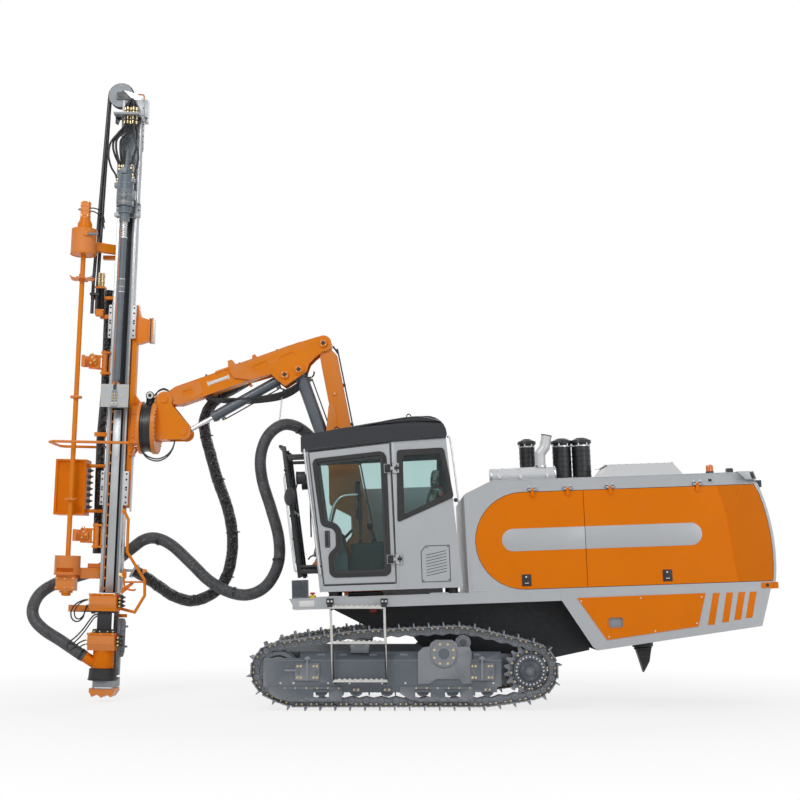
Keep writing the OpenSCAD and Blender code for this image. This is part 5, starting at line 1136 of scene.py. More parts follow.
class RIG_OT_hood(bpy.types.Operator):
    """Makes the stripe, latches, seals with painted shadow in the door gaps, facets in painted shade and roof
    fittings of the engine house
    """
    bl_idname = "rig.hood"
    bl_label = "Engine House"

    def execute(self, context):
        for s, side in ((-1, "left"), (1, "right")):
            y = s * 1200
            out = (0, s, 0)
            front, rear = "hood_door_%s_front" % side, "hood_door_%s_rear" % side
            Form(CHASSIS).plate(arc(1319, STRIPE_Z, STRIPE_R, 90, 270, 24) + [(2132, STRIPE_Z - STRIPE_R),
                                                                              (2132, STRIPE_Z + STRIPE_R)],
                                y - s * 0.5, y + s * 3, bevel=1).done("stripe_%s_front" % side,
                                                                      "silver_paint", front, "silver_paint")
            Form(CHASSIS).plate([(2138, STRIPE_Z - STRIPE_R)] + arc(3326, STRIPE_Z, STRIPE_R, -90, 90,
                                                                    24) + [(2138, STRIPE_Z + STRIPE_R)],
                                y - s * 0.5, y + s * 3, bevel=1).done("stripe_%s_rear" % side,
                                                                      "silver_paint", rear, "silver_paint")
            # Black rubber seal behind the door outline: partly a real seal, partly painted shadow that
            # darkens the gap round each door
            Form(CHASSIS).band(door_outline(-16), door_outline(22), y - s * 40, y - s * 30).done(
                "door_seal_%s" % side, "rubber", "chassis", "rubber")
            # Black strip on the post behind the split between the two doors: painted shadow for the gap, on a
            # post that is silver
            Form(CHASSIS).box((2112, y - s * 40, DOOR_LOW), (2158, y - s * 31, DOOR_TOP)).done(
                "door_post_seal_%s" % side, "rubber", "chassis", "rubber")
            for x, body in ((1450, front), (3035, rear)):
                latch = Form(CHASSIS)
                latch.box((x - 53, y, 1337), (x + 53, y + s * 14, 1469), 9, 3)
                latch.box((x - 30, y + s * 12, 1352), (x + 30, y + s * 18, 1392), 4)
                latch.rod((x - 34, y + s * 14, 1360), (x + 34, y + s * 14, 1360), 6, 10)
                latch.done("latch_%s_%d" % (side, x), "black_paint", body, "plastic")
                mark = Form(CHASSIS)
                mark.lathe((x - 4, y + s * 13, 1440), out, [(10, 0), (10, 2.5), (0, 3)], 16)
                mark.box((x - 22, y + s * 17, 1366), (x + 22, y + s * 19.5, 1374), 1)
                mark.done("latch_mark_%s_%d" % (side, x), "white_plastic", body, "plastic")
            # The rear corner that folds inward is drawn as flat plates in a darker orange: painted shade
            facet = Form(CHASSIS)
            facet.plate([(3658, 2391), (3918, 2391), (3744, 2063)], y - s * 0.5, y + s * 1.6)
            edge = [p for p in arc(*REAR_C, REAR_R - 40, -6.4, 18.2, 10)]
            facet.plate([(3744, 2063), (3831, 1330), (3840, 1310)] + [(4196, 1310)] + edge + [(4045, 2388),
                    (3925, 2388)],
                        y - s * 0.5, y + s * 1.8)
            facet.done("door_facets_%s" % side, "painted_shade_orange", rear, "orange_paint")
            creases = Form(CHASSIS)
            creases.tube([(3658, y + s * 1, 2391), (3744, y + s * 1, 2063), (3831, y + s * 1, 1330)], 5, 8, 1)
            creases.tube([(3744, y + s * 1, 2063), (3918, y + s * 1, 2391)], 4, 8, 1)
            creases.done("door_creases_%s" % side, "orange_paint", rear, "orange_paint")
            wedge = Form(CHASSIS)
            wedge.plate([(3886, 2543), (4076, 2543), (4108, 2447), (3990, 2447)], s * 1120, s * 1214, bevel=4)
            wedge.done("rear_wedge_%s" % side, "silver_paint", "chassis", "silver_paint")
            dark = Form(CHASSIS)
            dark.plate([(4030, 2530), (4070, 2530), (4096, 2455), (4052, 2455)], s * 1213, s * 1217, bevel=1)
            dark.box((3560, s * 1196, 2440), (3600, s * 1204, 2470), 4)
            dark.done("rear_wedge_marks_%s" % side, "black_paint", "chassis", "plastic")
            knuckles = Form(CHASSIS)
            for x in (1560, 1960, 2440, 3430):
                knuckles.rod((x - 60, s * 1218, 2417), (x + 60, s * 1218, 2417), 7, 12, 2)
                for dx in (-34.5, 34.5):
                    knuckles.box((x + dx - 17, s * 1224, 2424), (x + dx + 17, s * 1176, 2438), 4)
            knuckles.done("hood_hinge_pins_%s" % side, "black_paint", "chassis", "dark_paint")
            bolts("hood_hinge_bolts_%s" % side, CHASSIS,
                  [(x + dx, s * 1200, 2455, 11, out) for x in (1560, 1960, 2440, 3430) for dx in (-34, 34)],
                  "chassis",
                  "bright_steel")
            trim = Form(CHASSIS)
            trim.tube([(800, s * 1199, 2392), (1114, s * 1060, 2541), (4040, s * 1060, 2541)], 6, 8, 1)
            trim.box((812, s * 1196, 1292), (1000, s * 1203, 1312), 2)
            trim.plate([(812, 1312), (846, 1312), (846, 2360), (812, 2330)], s * 1196, s * 1202, bevel=2)
            trim.done("hood_edge_%s" % side, "silver_paint", "chassis", "silver_paint")
            panel = Form(CHASSIS)
            for (ax, az), (bx, bz) in (((3534, 1188), (3454, 836)), ((3684, 1188), (3614, 859)),
                                       ((3821, 1188), (3752, 881)),
                                       ((3950, 1188), (3882, 899))):
                panel.plate([(ax, az), (ax + 75, az), (bx + 75, bz + 3), (bx, bz)], y - s * 0.5, y + s * 4,
                            bevel=1.5)
            panel.done("skirt_stripes_%s" % side, "orange_paint", "chassis", "orange_paint")
            pocket = Form(CHASSIS)
            ring = [(2343, 861), (2361, 843), (2488, 843), (2506, 861), (2506, 937), (2488, 955),
                    (2361, 955), (2343, 937)]
            pocket.band(inset(ring, -10), inset(ring, 1), y + s * 7, y + s * 11, bevel=1)
            pocket.done("skirt_pocket_rims_%s" % side, "orange_paint", "chassis", "orange_paint")
            Form(CHASSIS).plate(inset(ring, -6), y - s * 60, y - s * 14).done(
                "skirt_pockets_%s" % side, "undercarriage_paint", "chassis", "grey_paint")
            hook = Form(CHASSIS)
            hook.plate(rounded([(4080, 1222), (4206, 1222), (4226, 1286), (4080, 1286)], 14), s * 1050,
                       s * 1206, bevel=5)
            hook.done("rear_hooks_%s" % side, "orange_paint", "chassis", "orange_paint")
            hole = Form(CHASSIS)
            hole.lathe((4150, s * 1206, 1256), out, [(19, 0), (19, 2), (13, 2.2), (12, 0.5), (0, 0.5)], 24)
            hole.done("rear_hook_holes_%s" % side, "black_paint", "chassis", "dark_paint")
            bolts("panel_bolts_%s" % side, CHASSIS, [
                (x, s * 1208, z, 11, out) for x, z in ((2050, 1150), (3400, 1150), (3330, 860), (2340, 745),
                                                       (2720, 1160), (2860, 790))],
                "chassis", "bright_steel")
        cans = Form(CHASSIS)
        bright = Form(CHASSIS)
        for x, y, r, top in ((1640, 60, 95, 3110), (2050, -60, 112, 3090), (2285, -60, 112, 3090)):
            for k in range(7):
                z = 2620 + (top - 2720) * k / 6
                cans.lathe((x, y, z), (0, 0, 1), [(r - 1, 0), (r + 4, 3), (r + 4, 11), (r - 1, 14)], 40)
            cans.lathe((x, y, top - 61), (0, 0, 1), [(r + 13, 0), (r + 18, 6), (r + 18, 30), (r + 13, 38)],
                       40)
            cans.lathe((x, y, top - 22), (0, 0, 1), [(r * 0.5, 20), (r * 0.5, 30), (0, 33)], 32)
            bright.lathe((x, y, top - 100), (0, 0, 1), [(r + 1, 0), (r + 5, 2), (r + 5, 16), (r + 1, 18)], 40)
            for a in (200, 250, 300):
                c, sn = math.cos(math.radians(a)), math.sin(math.radians(a))
                bright.box((x + (r + 8) * c - 7, y + (r + 8) * sn - 5, top - 96),
                           (x + (r + 8) * c + 7, y + (r + 8) * sn + 5, top - 48), 2)
        cans.done("filter_ribs", "black_paint", "chassis", "dark_paint")
        bright.done("filter_clips", "bright_steel", "chassis", "bright_steel")
        pipe = Form(CHASSIS)
        for x in (1156, 1930):
            d = -1 if x < 1500 else 1
            pipe.lathe((x, -300, 2650), (d, 0, 0), [(97, -12), (99, -4), (96, 4), (70, 14), (0, 18)], 40)
        for x in (1250, 1500, 1820):
            pipe.lathe((x - 14, -300, 2650), (1, 0, 0), [(95, 0), (99, 2), (99, 26), (95, 28)], 40)
            pipe.box((x - 16, -402, 2600), (x + 16, -388, 2660), 3)
        pipe.lathe((1757, -300, 2735), (0, 0, 1), [(64, 0), (72, 4), (72, 24), (64, 28)], 32)
        pipe.done("exhaust_straps", "bright_steel", "chassis", "bright_steel")
        mouth = Form(CHASSIS)
        up = Vector((30, 0, 140)).normalized()
        mouth.lathe(Vector((1850, -300, 3120)) - up * 8, up, [(63, 0), (66, 3), (66, 12), (58, 12),
                                                              (56, -60), (0, -60)], 32)
        mouth.done("exhaust_mouth", "black_paint", "chassis", "dark_paint")
        bolts("cowl_rivets", CHASSIS, [(2600 + 90 * k, sy * 386, 2735, 8,
                                        (0, 0, 1)) for k in range(9) for sy in (-1, 1)]
              + [(x, -478, 2600, 8, (0, -1, 0)) for x in (2620, 2900, 3180)], "chassis", "bright_steel")
        cap = Form(CHASSIS)
        cap.box((2500, -330, 2735), (3350, -320, 2741), 2)
        cap.box((2500, 320, 2735), (3350, 330, 2741), 2)
        cap.plate([(2540, -300), (3310, -300), (3310, 300), (2540, 300)], 2734, 2743, "plan", 3)
        cap.done("cowl_top", "pale_paint", "chassis", "silver_paint")
        lamp = Form(CHASSIS)
        lamp.lathe((3735, -520, 2600), (0, 0, 1), [(45, 0), (45, 8), (43, 10), (44, 60), (38, 76), (22, 84),
                                                   (0, 87)], 32)
        lamp.done("beacon_lens", "lamp_orange", "chassis", "plastic")
        post = Form(CHASSIS)
        post.lathe((3735, -520, 2542), (0, 0, 1), [(52, 0), (52, 10), (47, 14), (47, 60)], 32)
        post.box((3922, -566, 2541), (3998, -474, 2556), 4)
        post.lathe((3990, -520, 2600), (1, 0, 0), [(30, 0), (30, 16), (22, 18), (20, 12), (0, 12)], 24)
        post.done("camera_and_beacon_feet", "black_paint", "chassis", "dark_paint")
        shut = Form(CHASSIS)
        for k in range(9):
            shut.box((4150, -810, 1462 + 85 * k), (4240 - 0.05 * abs(k - 2) * 60, 810, 1470 + 85 * k), 2)
        shut.done("rear_louvres", "black_paint", "chassis", "dark_paint")
        tail = Form(CHASSIS)
        tail.lathe((2830, -500, 560), (0, 0, 1), [(96, 0), (104, 6), (104, 20), (96, 26)], 32)
        for k in range(4):
            tail.box((2756 + 12 * k, -562, 540 - 46 * k), (2904 - 12 * k, -438, 546 - 46 * k), 2)
        tail.done("outlet_ribs", "rubber", "chassis", "rubber")
        return {"FINISHED"}


# Cab

CAB_DOOR_LINE = [(-833, 1423), (-7, 1422), (-27, 3015), (-968, 2938)]
DOOR_WINDOW = [(-700, 1530), (-120, 1530), (-90, 1560), (-100, 2850), (-140, 2890), (-880, 2830),
               (-895, 2800),
               (-820, 2110), (-700, 2080), (-655, 2020), (-655, 1840), (-745, 1760), (-735, 1560)]
REAR_WINDOW = [(40, 2120), (60, 2900), (560, 2910), (650, 2375)]


def cushion(name, place, size, lean=0.0, power=0.38, n=40):
    """A padded cushion: a closed crowned form with full round edges."""
    def bent(c, e):
        return math.copysign(abs(c) ** e, c)

    pad = Form(CHASSIS)
    rows = n // 2
    verts, faces = [], []
    for i in range(1, rows):
        a = math.pi * i / rows - math.pi / 2
        for k in range(n):
            b = 2 * math.pi * k / n
            x = size[0] * bent(math.cos(a), power) * bent(math.cos(b), power)
            y = size[1] * bent(math.cos(a), power) * bent(math.sin(b), power)
            z = size[2] * bent(math.sin(a), power)
            x += size[0] * 0.22 * (1 - (y / size[1]) ** 2) * (1 - (z / size[2]) ** 2) * (-1 if lean else 0)
            z += size[2] * 0.22 * (1 - (y / size[1]) ** 2) * (1 - (x / size[0]) ** 2) * (0 if lean else 1)
            verts.append((place[0] + x + lean * z, place[1] + y, place[2] + z))
    for i in range(rows - 2):
        for k in range(n):
            m = (k + 1) % n
            faces.append((i * n + k, i * n + m, (i + 1) * n + m, (i + 1) * n + k))
    faces += [tuple(range(n)), tuple((rows - 2) * n + k for k in range(n))]
    made = pad.faces(verts, faces).done(name, "seat_fabric", "chassis", "fabric", 70)
    return made


class RIG_OT_cab(bpy.types.Operator):
    """Makes the cab's rubbers, handle, louvre plate, rails, lamps, mirror and inside"""
    bl_idname = "rig.cab"
    bl_label = "Cab"

    def execute(self, context):
        near = (0, -1, 0)
        wide = sizes().gasket_width * 500
        window = rounded(DOOR_WINDOW, 42, 4)
        Form(CHASSIS).band(inset(window, -wide), inset(window, wide * 0.9), -1212, -1186, bevel=3).done(
            "door_gasket", "rubber", "cab_door", "rubber")
        Form(CHASSIS).band(inset(window, wide * 0.9 - 2), inset(window, wide * 0.9 + 26), -1184, -1179).done(
            "door_glass_border", "screen_black", "cab_door", "rubber")
        outer = [(22, 2098), (42, 2922), (578, 2932), (672, 2362)]
        inner = [(105, 2185), (110, 2850), (535, 2862), (612, 2420)]
        Form(CHASSIS).band(rounded(outer, 40), rounded(inner, 30), -1211, -1184, bevel=3).done(
            "rear_window_frame", "rubber", "chassis", "rubber")
        seam = sizes().seam_width * 1000
        line = rounded(CAB_DOOR_LINE, 26)
        Form(CHASSIS).band(inset(line, -seam), inset(line, 1), -1201.5, -1196).done("door_seam", "rubber",
                "chassis", "rubber")
        Form(CHASSIS).band(inset(line, 8), inset(line, 14), -1203, -1196, bevel=1).done(
            "door_rim", "rubber", "cab_door", "rubber")
        Form(CHASSIS).band(inset(CAB_DOOR_LINE, -2), inset(CAB_DOOR_LINE, 30), -1152, -1140).done(
            "door_inner_seal", "rubber", "cab_door", "rubber")
        handle = Form(CHASSIS)
        handle.plate(rounded([(-800, 1846), (-745, 1846), (-745, 2036), (-800, 2036)], 14), -1212, -1199,
                     bevel=3)
        handle.box((-790, -1238, 1862), (-757, -1222, 2020), 7, 3)
        handle.box((-786, -1226, 1866), (-762, -1206, 1890), 4)
        handle.box((-786, -1226, 1992), (-762, -1206, 2016), 4)
        handle.done("door_handle", "black_paint", "cab_door", "plastic")
        lock = Form(CHASSIS)
        lock.lathe((-772, -1212, 1830), near, [(11, 0), (11, 4), (7, 5), (7, 3), (0, 3)], 20)
        lock.done("door_lock", "bright_steel", "cab_door", "bright_steel")
        louvre = Form(CHASSIS)
        plate = [(277, 1423), (597, 1423), (597, 1826), (330, 1826), (277, 1760)]
        louvre.band(inset(plate, -3), inset(plate, 4), -1204, -1198, bevel=1)
        louvre.done("louvre_seam", "black_paint", "chassis", "plastic")
        blades = Form(CHASSIS)
        blades.plate([(330, 0), (560, 45), (560, 52), (330, 7)], -1206, -1170, bevel=1)
        for v in blades.bm.verts:
            v.co.z += 1494
        row("louvre_blades", blades, 8, (0, 0, 33), "chassis", "silver_paint")
        back = Form(CHASSIS)
        back.box((318, -1165, 1475), (572, -1158, 1800), 2)
        back.done("louvre_screen", "black_paint", "chassis", "plastic")
        rails = Form(CHASSIS)
        rails.tube([(628, -1190, 3052), (646, -1216, 3044), (668, -1220, 2900), (718, -1220, 2352),
                    (712, -1190, 2332)], 11, 12, 8)
        rails.tube([(-992, -1222, 2890), (-1000, -1240, 2870), (-872, -1240, 1640), (-860, -1204, 1620)],
                   12, 12, 8)
        rails.done("cab_hand_rails", "bright_steel", "chassis", "bright_steel")
        black = Form(CHASSIS)
        black.lathe((690, -1206, 2330), near, [(20, 0), (24, 4), (24, 18), (14, 24), (0, 26)], 20)
        black.box((-880, -1210, 1600), (-842, -1196, 1650), 4)
        for z in (1690, 2715):
            black.box((-104, -1236, z - 46), (-36, -1198, z + 46), 6)
            black.box((6, -1226, z - 54), (62, -1198, z + 54), 6)
            black.rod((-2, -1215, z - 60), (-2, -1215, z + 60), 8, 12, 3)
        black.box((-108, -1212, 2680), (-100, -1203, 2900), 2)
        black.done("cab_black_fittings", "black_paint", "chassis", "plastic")
        bolts("cab_hinge_bolts", CHASSIS,
              [(x, -1236 if x < 0 else -1226, z + dz, 13, near) for x in (-70, 36) for z in (1690,
                      2715) for dz in (-30, 30)]
              + [(x, -1206, z, 8, near) for x, z in ((296, 1440), (580, 1440), (580, 1808), (346, 1808))],
              "chassis", "black_bolt")
        corner = Form(CHASSIS)
        corner.plate([(-870, 1350), (-833, 1423), (-968, 2938), (-996, 2963), (-1000, 2963), (-874, 1350)],
                     -1206, -1198, bevel=2)
        corner.plate([(-7, 1350), (24, 1350), (24, 3030), (-7, 3026)], -1203, -1198, bevel=1.5)
        corner.plate([(-866, 1350), (735, 1350), (734, 1364), (-865, 1364)], -1204, -1198, bevel=1.5)
        corner.done("cab_posts", "silver_paint", "chassis", "silver_paint")
        roof = Form(CHASSIS)
        roof.tube([(-1046, -1212, 2955), (-300, -1216, 3012), (560, -1216, 3052)], 7, 8, 1)
        roof.tube([(-1020, -1200, 3112), (-300, -1205, 3220), (240, -1205, 3292), (560, -1200, 3230)], 9, 8,
                  4)
        for y in (-980, -700, -420):
            roof.box((-700, y - 40, 3150), (180, y + 40, 3158), 3)
        roof.done("roof_trim", "roof_black", "chassis", "dark_paint")
        feet = Form(CHASSIS)
        for x in (-720, 620):
            for y in (-1090, -310):
                feet.lathe((x, y, 1290), (0, 0, 1), [(66, 0), (66, 10), (50, 14), (56, 30), (50, 46),
                                                     (66, 50), (66, 59)], 28)
        feet.done("cab_mounts", "rubber", "chassis", "rubber")
        # Front guard
        guard = Form(CHASSIS)
        guard.plate([(-1262, 3010), (-1222, 3016), (-1080, 1520), (-1120, 1516)], -1168, -1156, bevel=3)
        guard.plate([(-1262, 3010), (-1222, 3016), (-1080, 1520), (-1120, 1516)], -282, -270, bevel=3)
        for k in range(5):
            z = 1700 + 260 * k
            x = -1114 - (z - 1600) * 0.1
            guard.box((x - 20, -1176, z - 14), (x + 30, -1160, z + 14), 4)
        guard.box((-1090, -1186, 1560), (-884, -1166, 1610), 6)
        guard.box((-1200, -1186, 2850), (-978, -1166, 2890), 6)
        guard.tube([(-1236, -1100, 3002), (-1300, -1000, 3030), (-1300, -400, 3030), (-1236, -300, 3002)],
                   16, 12, 8)
        guard.done("front_guard_plates", "black_paint", "chassis", "dark_paint")
        mirror = Form(CHASSIS)
        mirror.lathe((-1172, -1262, 2430), (-0.75, -0.6, 0.05),
                     [(96, 0), (104, 6), (104, 16), (92, 26), (60, 36), (0, 40)], 40)
        mirror.tube([(-1150, -1240, 2434), (-1120, -1230, 2500), (-1090, -1190, 2600),
                     (-1070, -1160, 2640)], 9, 10, 6)
        mirror.done("mirror", "black_paint", "chassis", "plastic")
        lampset = Form(CHASSIS)
        for y in (-1160, -240):
            lampset.lathe((-1096, y, 2645), (-1, 0, 0), [(70, -6), (76, 0), (76, 10), (66, 14), (62, 4),
                                                         (0, 2)], 36)
            for k in range(5):
                lampset.box((-1058 + 16 * k, y - 73, 2600), (-1050 + 16 * k, y + 73, 2690), 2)
        lampset.done("work_lamps", "black_paint", "chassis", "plastic")
        bars = Form(CHASSIS)
        bars.tube([(-1130, -1192, 1580), (-1160, -1206, 1700), (-1238, -1206, 2560), (-1244, -1192, 2700)],
                  11, 12, 8)
        bars.tube([(-1108, -700, 1640), (-1168, -700, 1700), (-1206, -700, 2080), (-1160, -700, 2150)], 11,
                  12, 8)
        bars.done("guard_grab_rails", "bright_steel", "chassis", "bright_steel")
        wipers = Form(CHASSIS)
        wipers.tube([(-880, -720, 1575), (-912, -780, 1820), (-955, -850, 2240)], 7, 8, 6)
        wipers.box((-985, -862, 1980), (-968, -848, 2560), 4)
        wipers.done("wiper", "black_paint", "chassis", "plastic")
        # Inside
        base = cushion("seat_base_cushion", (150, -700, 1800), (250, 235, 72))
        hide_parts("seat")
        cushion("seat_back_cushion", (428, -700, 2165), (78, 228, 340), lean=0.14)
        cushion("seat_head_rest", (480, -700, 2610), (46, 130, 104), lean=0.1)
        seat = Form(CHASSIS)
        seat.box((-60, -900, 1690), (400, -500, 1742), 14, 3)
        seat.lathe((180, -700, 1412), (0, 0, 1), [(150, 0), (150, 12), (80, 24), (72, 60), (72, 280)], 32)
        for k in range(7):
            seat.lathe((180, -700, 1470 + 30 * k), (0, 0, 1), [(76, 0), (92, 8), (92, 16), (76, 24)], 28)
        for y in (-950, -450):
            seat.box((60, y - 28, 1990), (380, y + 28, 2040), 14, 3)
            seat.box((340, y - 16, 1760), (390, y + 16, 2000), 8)
        seat.rod((470, -740, 2470), (478, -740, 2540), 9, 12)
        seat.rod((470, -660, 2470), (478, -660, 2540), 9, 12)
        seat.plate([(392, 1770), (440, 1770), (548, 2500), (500, 2500)], -860, -540, bevel=10)
        seat.done("seat_frame", "cabin_plastic", "chassis", "plastic")
        inside = Form(CHASSIS)
        for z0, z1 in ((2432, 2630), (2180, 2410)):
            y0 = -572 if z0 > 2400 else -542
            inside.box((-452, y0, z0), (-398, -282, z1), 10, 3)
            inside.box((-462, y0 + 14, z0 + 14), (-450, -296, z1 - 14), 4)
        inside.lathe((-425, -310, 1896), (0, 0, 1), [(54, 0), (54, 10), (24, 20), (22, 40)], 28)
        inside.lathe((-300, -350, 2060), (-0.2, -0.05, 1), [(20, 0), (32, 20), (34, 60), (28, 84), (12, 92),
                                                            (0, 93)], 28)
        inside.lathe((-262, -340, 1896), (0, 0, 1), [(52, 0), (44, 14), (30, 40), (26, 60)], 28)
        inside.box((-480, -416, 1896), (240, -268, 1912), 8)
        for k in range(6):
            inside.box((-180 + 44 * k, -396, 1911), (-156 + 44 * k, -366, 1921), 3)
        inside.plate([(-560, 1700), (-545, 1706), (-606, 2006), (-620, 2000)], -1040, -390, bevel=3)
        inside.box((-640, -1030, 2012), (-800, -400, 2030), 6)
        inside.tube([(-600, -720, 1960), (-520, -720, 2040), (-500, -720, 2052)], 16, 12, 6)
        inside.done("cab_controls", "black_paint", "chassis", "plastic")
        screens = Form(CHASSIS)
        screens.box((-398, -558, 2448), (-394, -296, 2614), 1)
        screens.box((-398, -528, 2196), (-394, -296, 2394), 1)
        screens.done("cab_screens", "screen_black", "chassis", "plastic")
        red = Form(CHASSIS)
        red.lathe((540, -308, 2150), (0, 0, 1), [(40, 0), (57, 10), (57, 330), (46, 362), (22, 382),
                                                 (18, 400), (0, 402)], 32)
        red.done("extinguisher", "red_plastic", "chassis", "plastic")
        tag = Form(CHASSIS)
        tag.box((-446, -642, 2300), (-443, -586, 2400), 1)
        tag.done("cab_tag", "white_plastic", "chassis", "plastic")
        rail = Form(CHASSIS)
        rail.tube([(-760, -1120, 2050), (-700, -1120, 2300), (-600, -1120, 2420), (-420, -1120, 2440)], 13,
                  12, 8)
        rail.done("cab_inner_rail", "bright_steel", "chassis", "bright_steel")
        return {"FINISHED"}


class RIG_OT_deck(bpy.types.Operator):
    """Makes the boxes, stop button, pads and hydraulic fittings on the deck"""
    bl_idname = "rig.deck"
    bl_label = "Deck"

    def execute(self, context):
        boxes = Form(CHASSIS)
        for x0, x1 in ((-1189, -1099), (-1093, -1011)):
            boxes.box((x0, -1194, 1288), (x1, -1024, 1494), 9, 3)
            boxes.box((x0 + 10, -1198, 1400), (x1 - 10, -1192, 1480), 3)
        boxes.done("front_boxes", "slate_paint", "chassis", "dark_paint")
        rims = Form(CHASSIS)
        for x0, x1 in ((-1189, -1099), (-1093, -1011)):
            rims.band([(x0 - 1, 1290), (x1 + 1, 1290), (x1 + 1, 1302), (x0 - 1, 1302)],
                      [(x0 + 2, 1292), (x1 - 2, 1292), (x1 - 2, 1300), (x0 + 2, 1300)], -1197, -1021)
        rims.box((-776, -1196, 1287), (-565, -1130, 1301), 4)
        rims.box((358, -1196, 1287), (568, -1130, 1301), 4)
        rims.box((-1222, -1203, 1278), (800, -1196, 1289), 2)
        rims.plate([(-1158, 1162), (1836, 1162), (1836, 1170), (-1161, 1170)], -1203, -1197, bevel=1.5)
        rims.done("deck_edges", "silver_paint", "chassis", "silver_paint")
        collar = Form(CHASSIS)
        collar.lathe((-960, -1150, 1288), (0, 0, 1), [(40, 0), (40, 26), (30, 32), (0, 32)], 32)
        collar.done("stop_collar", "yellow_plastic", "chassis", "plastic")
        knob = Form(CHASSIS)
        knob.lathe((-960, -1150, 1318), (0, 0, 1), [(13, 0), (13, 12), (30, 14), (31, 24), (22, 32),
                                                    (0, 35)], 32)
        knob.done("stop_button", "red_plastic", "chassis", "plastic")
        sign = Form(CHASSIS)
        sign.plate([(-1108, 1196), (-940, 1196), (-940, 1262), (-1108, 1262)], -1204, -1199, bevel=1)
        sign.done("deck_blank_plate", "white_plastic", "chassis", "silver_paint")
        far = Form(CHASSIS)
        far.box((-566, -930, 1288), (-180, -860, 1340), 8, 3)
        for k in range(6):
            far.lathe((-540 + 64 * k, -934, 1318), (0, -1, 0),
                      [(16, 0), (16, 8), (10, 9), (10, 24), (0, 25)], 12)
        far.done("valve_bank", "black_paint", "chassis", "dark_paint")
        red = Form(CHASSIS)
        red.box((-330, -730, 1098), (-250, -690, 1160), 8)
        for k in range(3):
            red.lathe((-520 + 128 * k, -900, 1340), (0, 0, 1), [(16, 0), (16, 16), (9, 18), (0, 20)], 16)
        red.done("red_fittings", "red_plastic", "chassis", "plastic")
        hoses = Form(CHASSIS)
        for k in range(5):
            x = -520 + 84 * k
            hoses.tube([(x, -880, 1300), (x + 20, -800, 1250), (x + 60 - 20 * k, -600, 1180),
                        (x + 120, -300, 1100),
                        (x + 160, 60, 1080)], 15, 10, 8)
        hoses.done("deck_hoses", "hose_rubber", "chassis", "rubber")
        gold = Form(CHASSIS)
        for k in range(5):
            x = -520 + 84 * k
            gold.lathe((x, -874, 1306), (0, 0.5, -0.8), [(19, -14), (19, 0), (17, 2), (17, 26), (12, 30)], 6)
        gold.done("deck_fittings", "brass", "chassis", "bright_steel")
        return {"FINISHED"}


# Boom

def pin_caps(form, dark, places, r):
    """Round pin caps at (x, z) on both outer faces of a carrier's plates, y measured from the middle."""
    for x, z, y in places:
        for s in (-1, 1):
            form.lathe((x, s * y, z), (0, s, 0), [(r, 0), (r, 12), (r - 4, 15), (r * 0.55, 16),
                                                  (r * 0.5, 9), (0, 9)], 36)
            dark.lathe((x, s * (y + 9.5), z), (0, s, 0), [(r * 0.46, 0), (r * 0.46, 2), (0, 2.5)], 24)


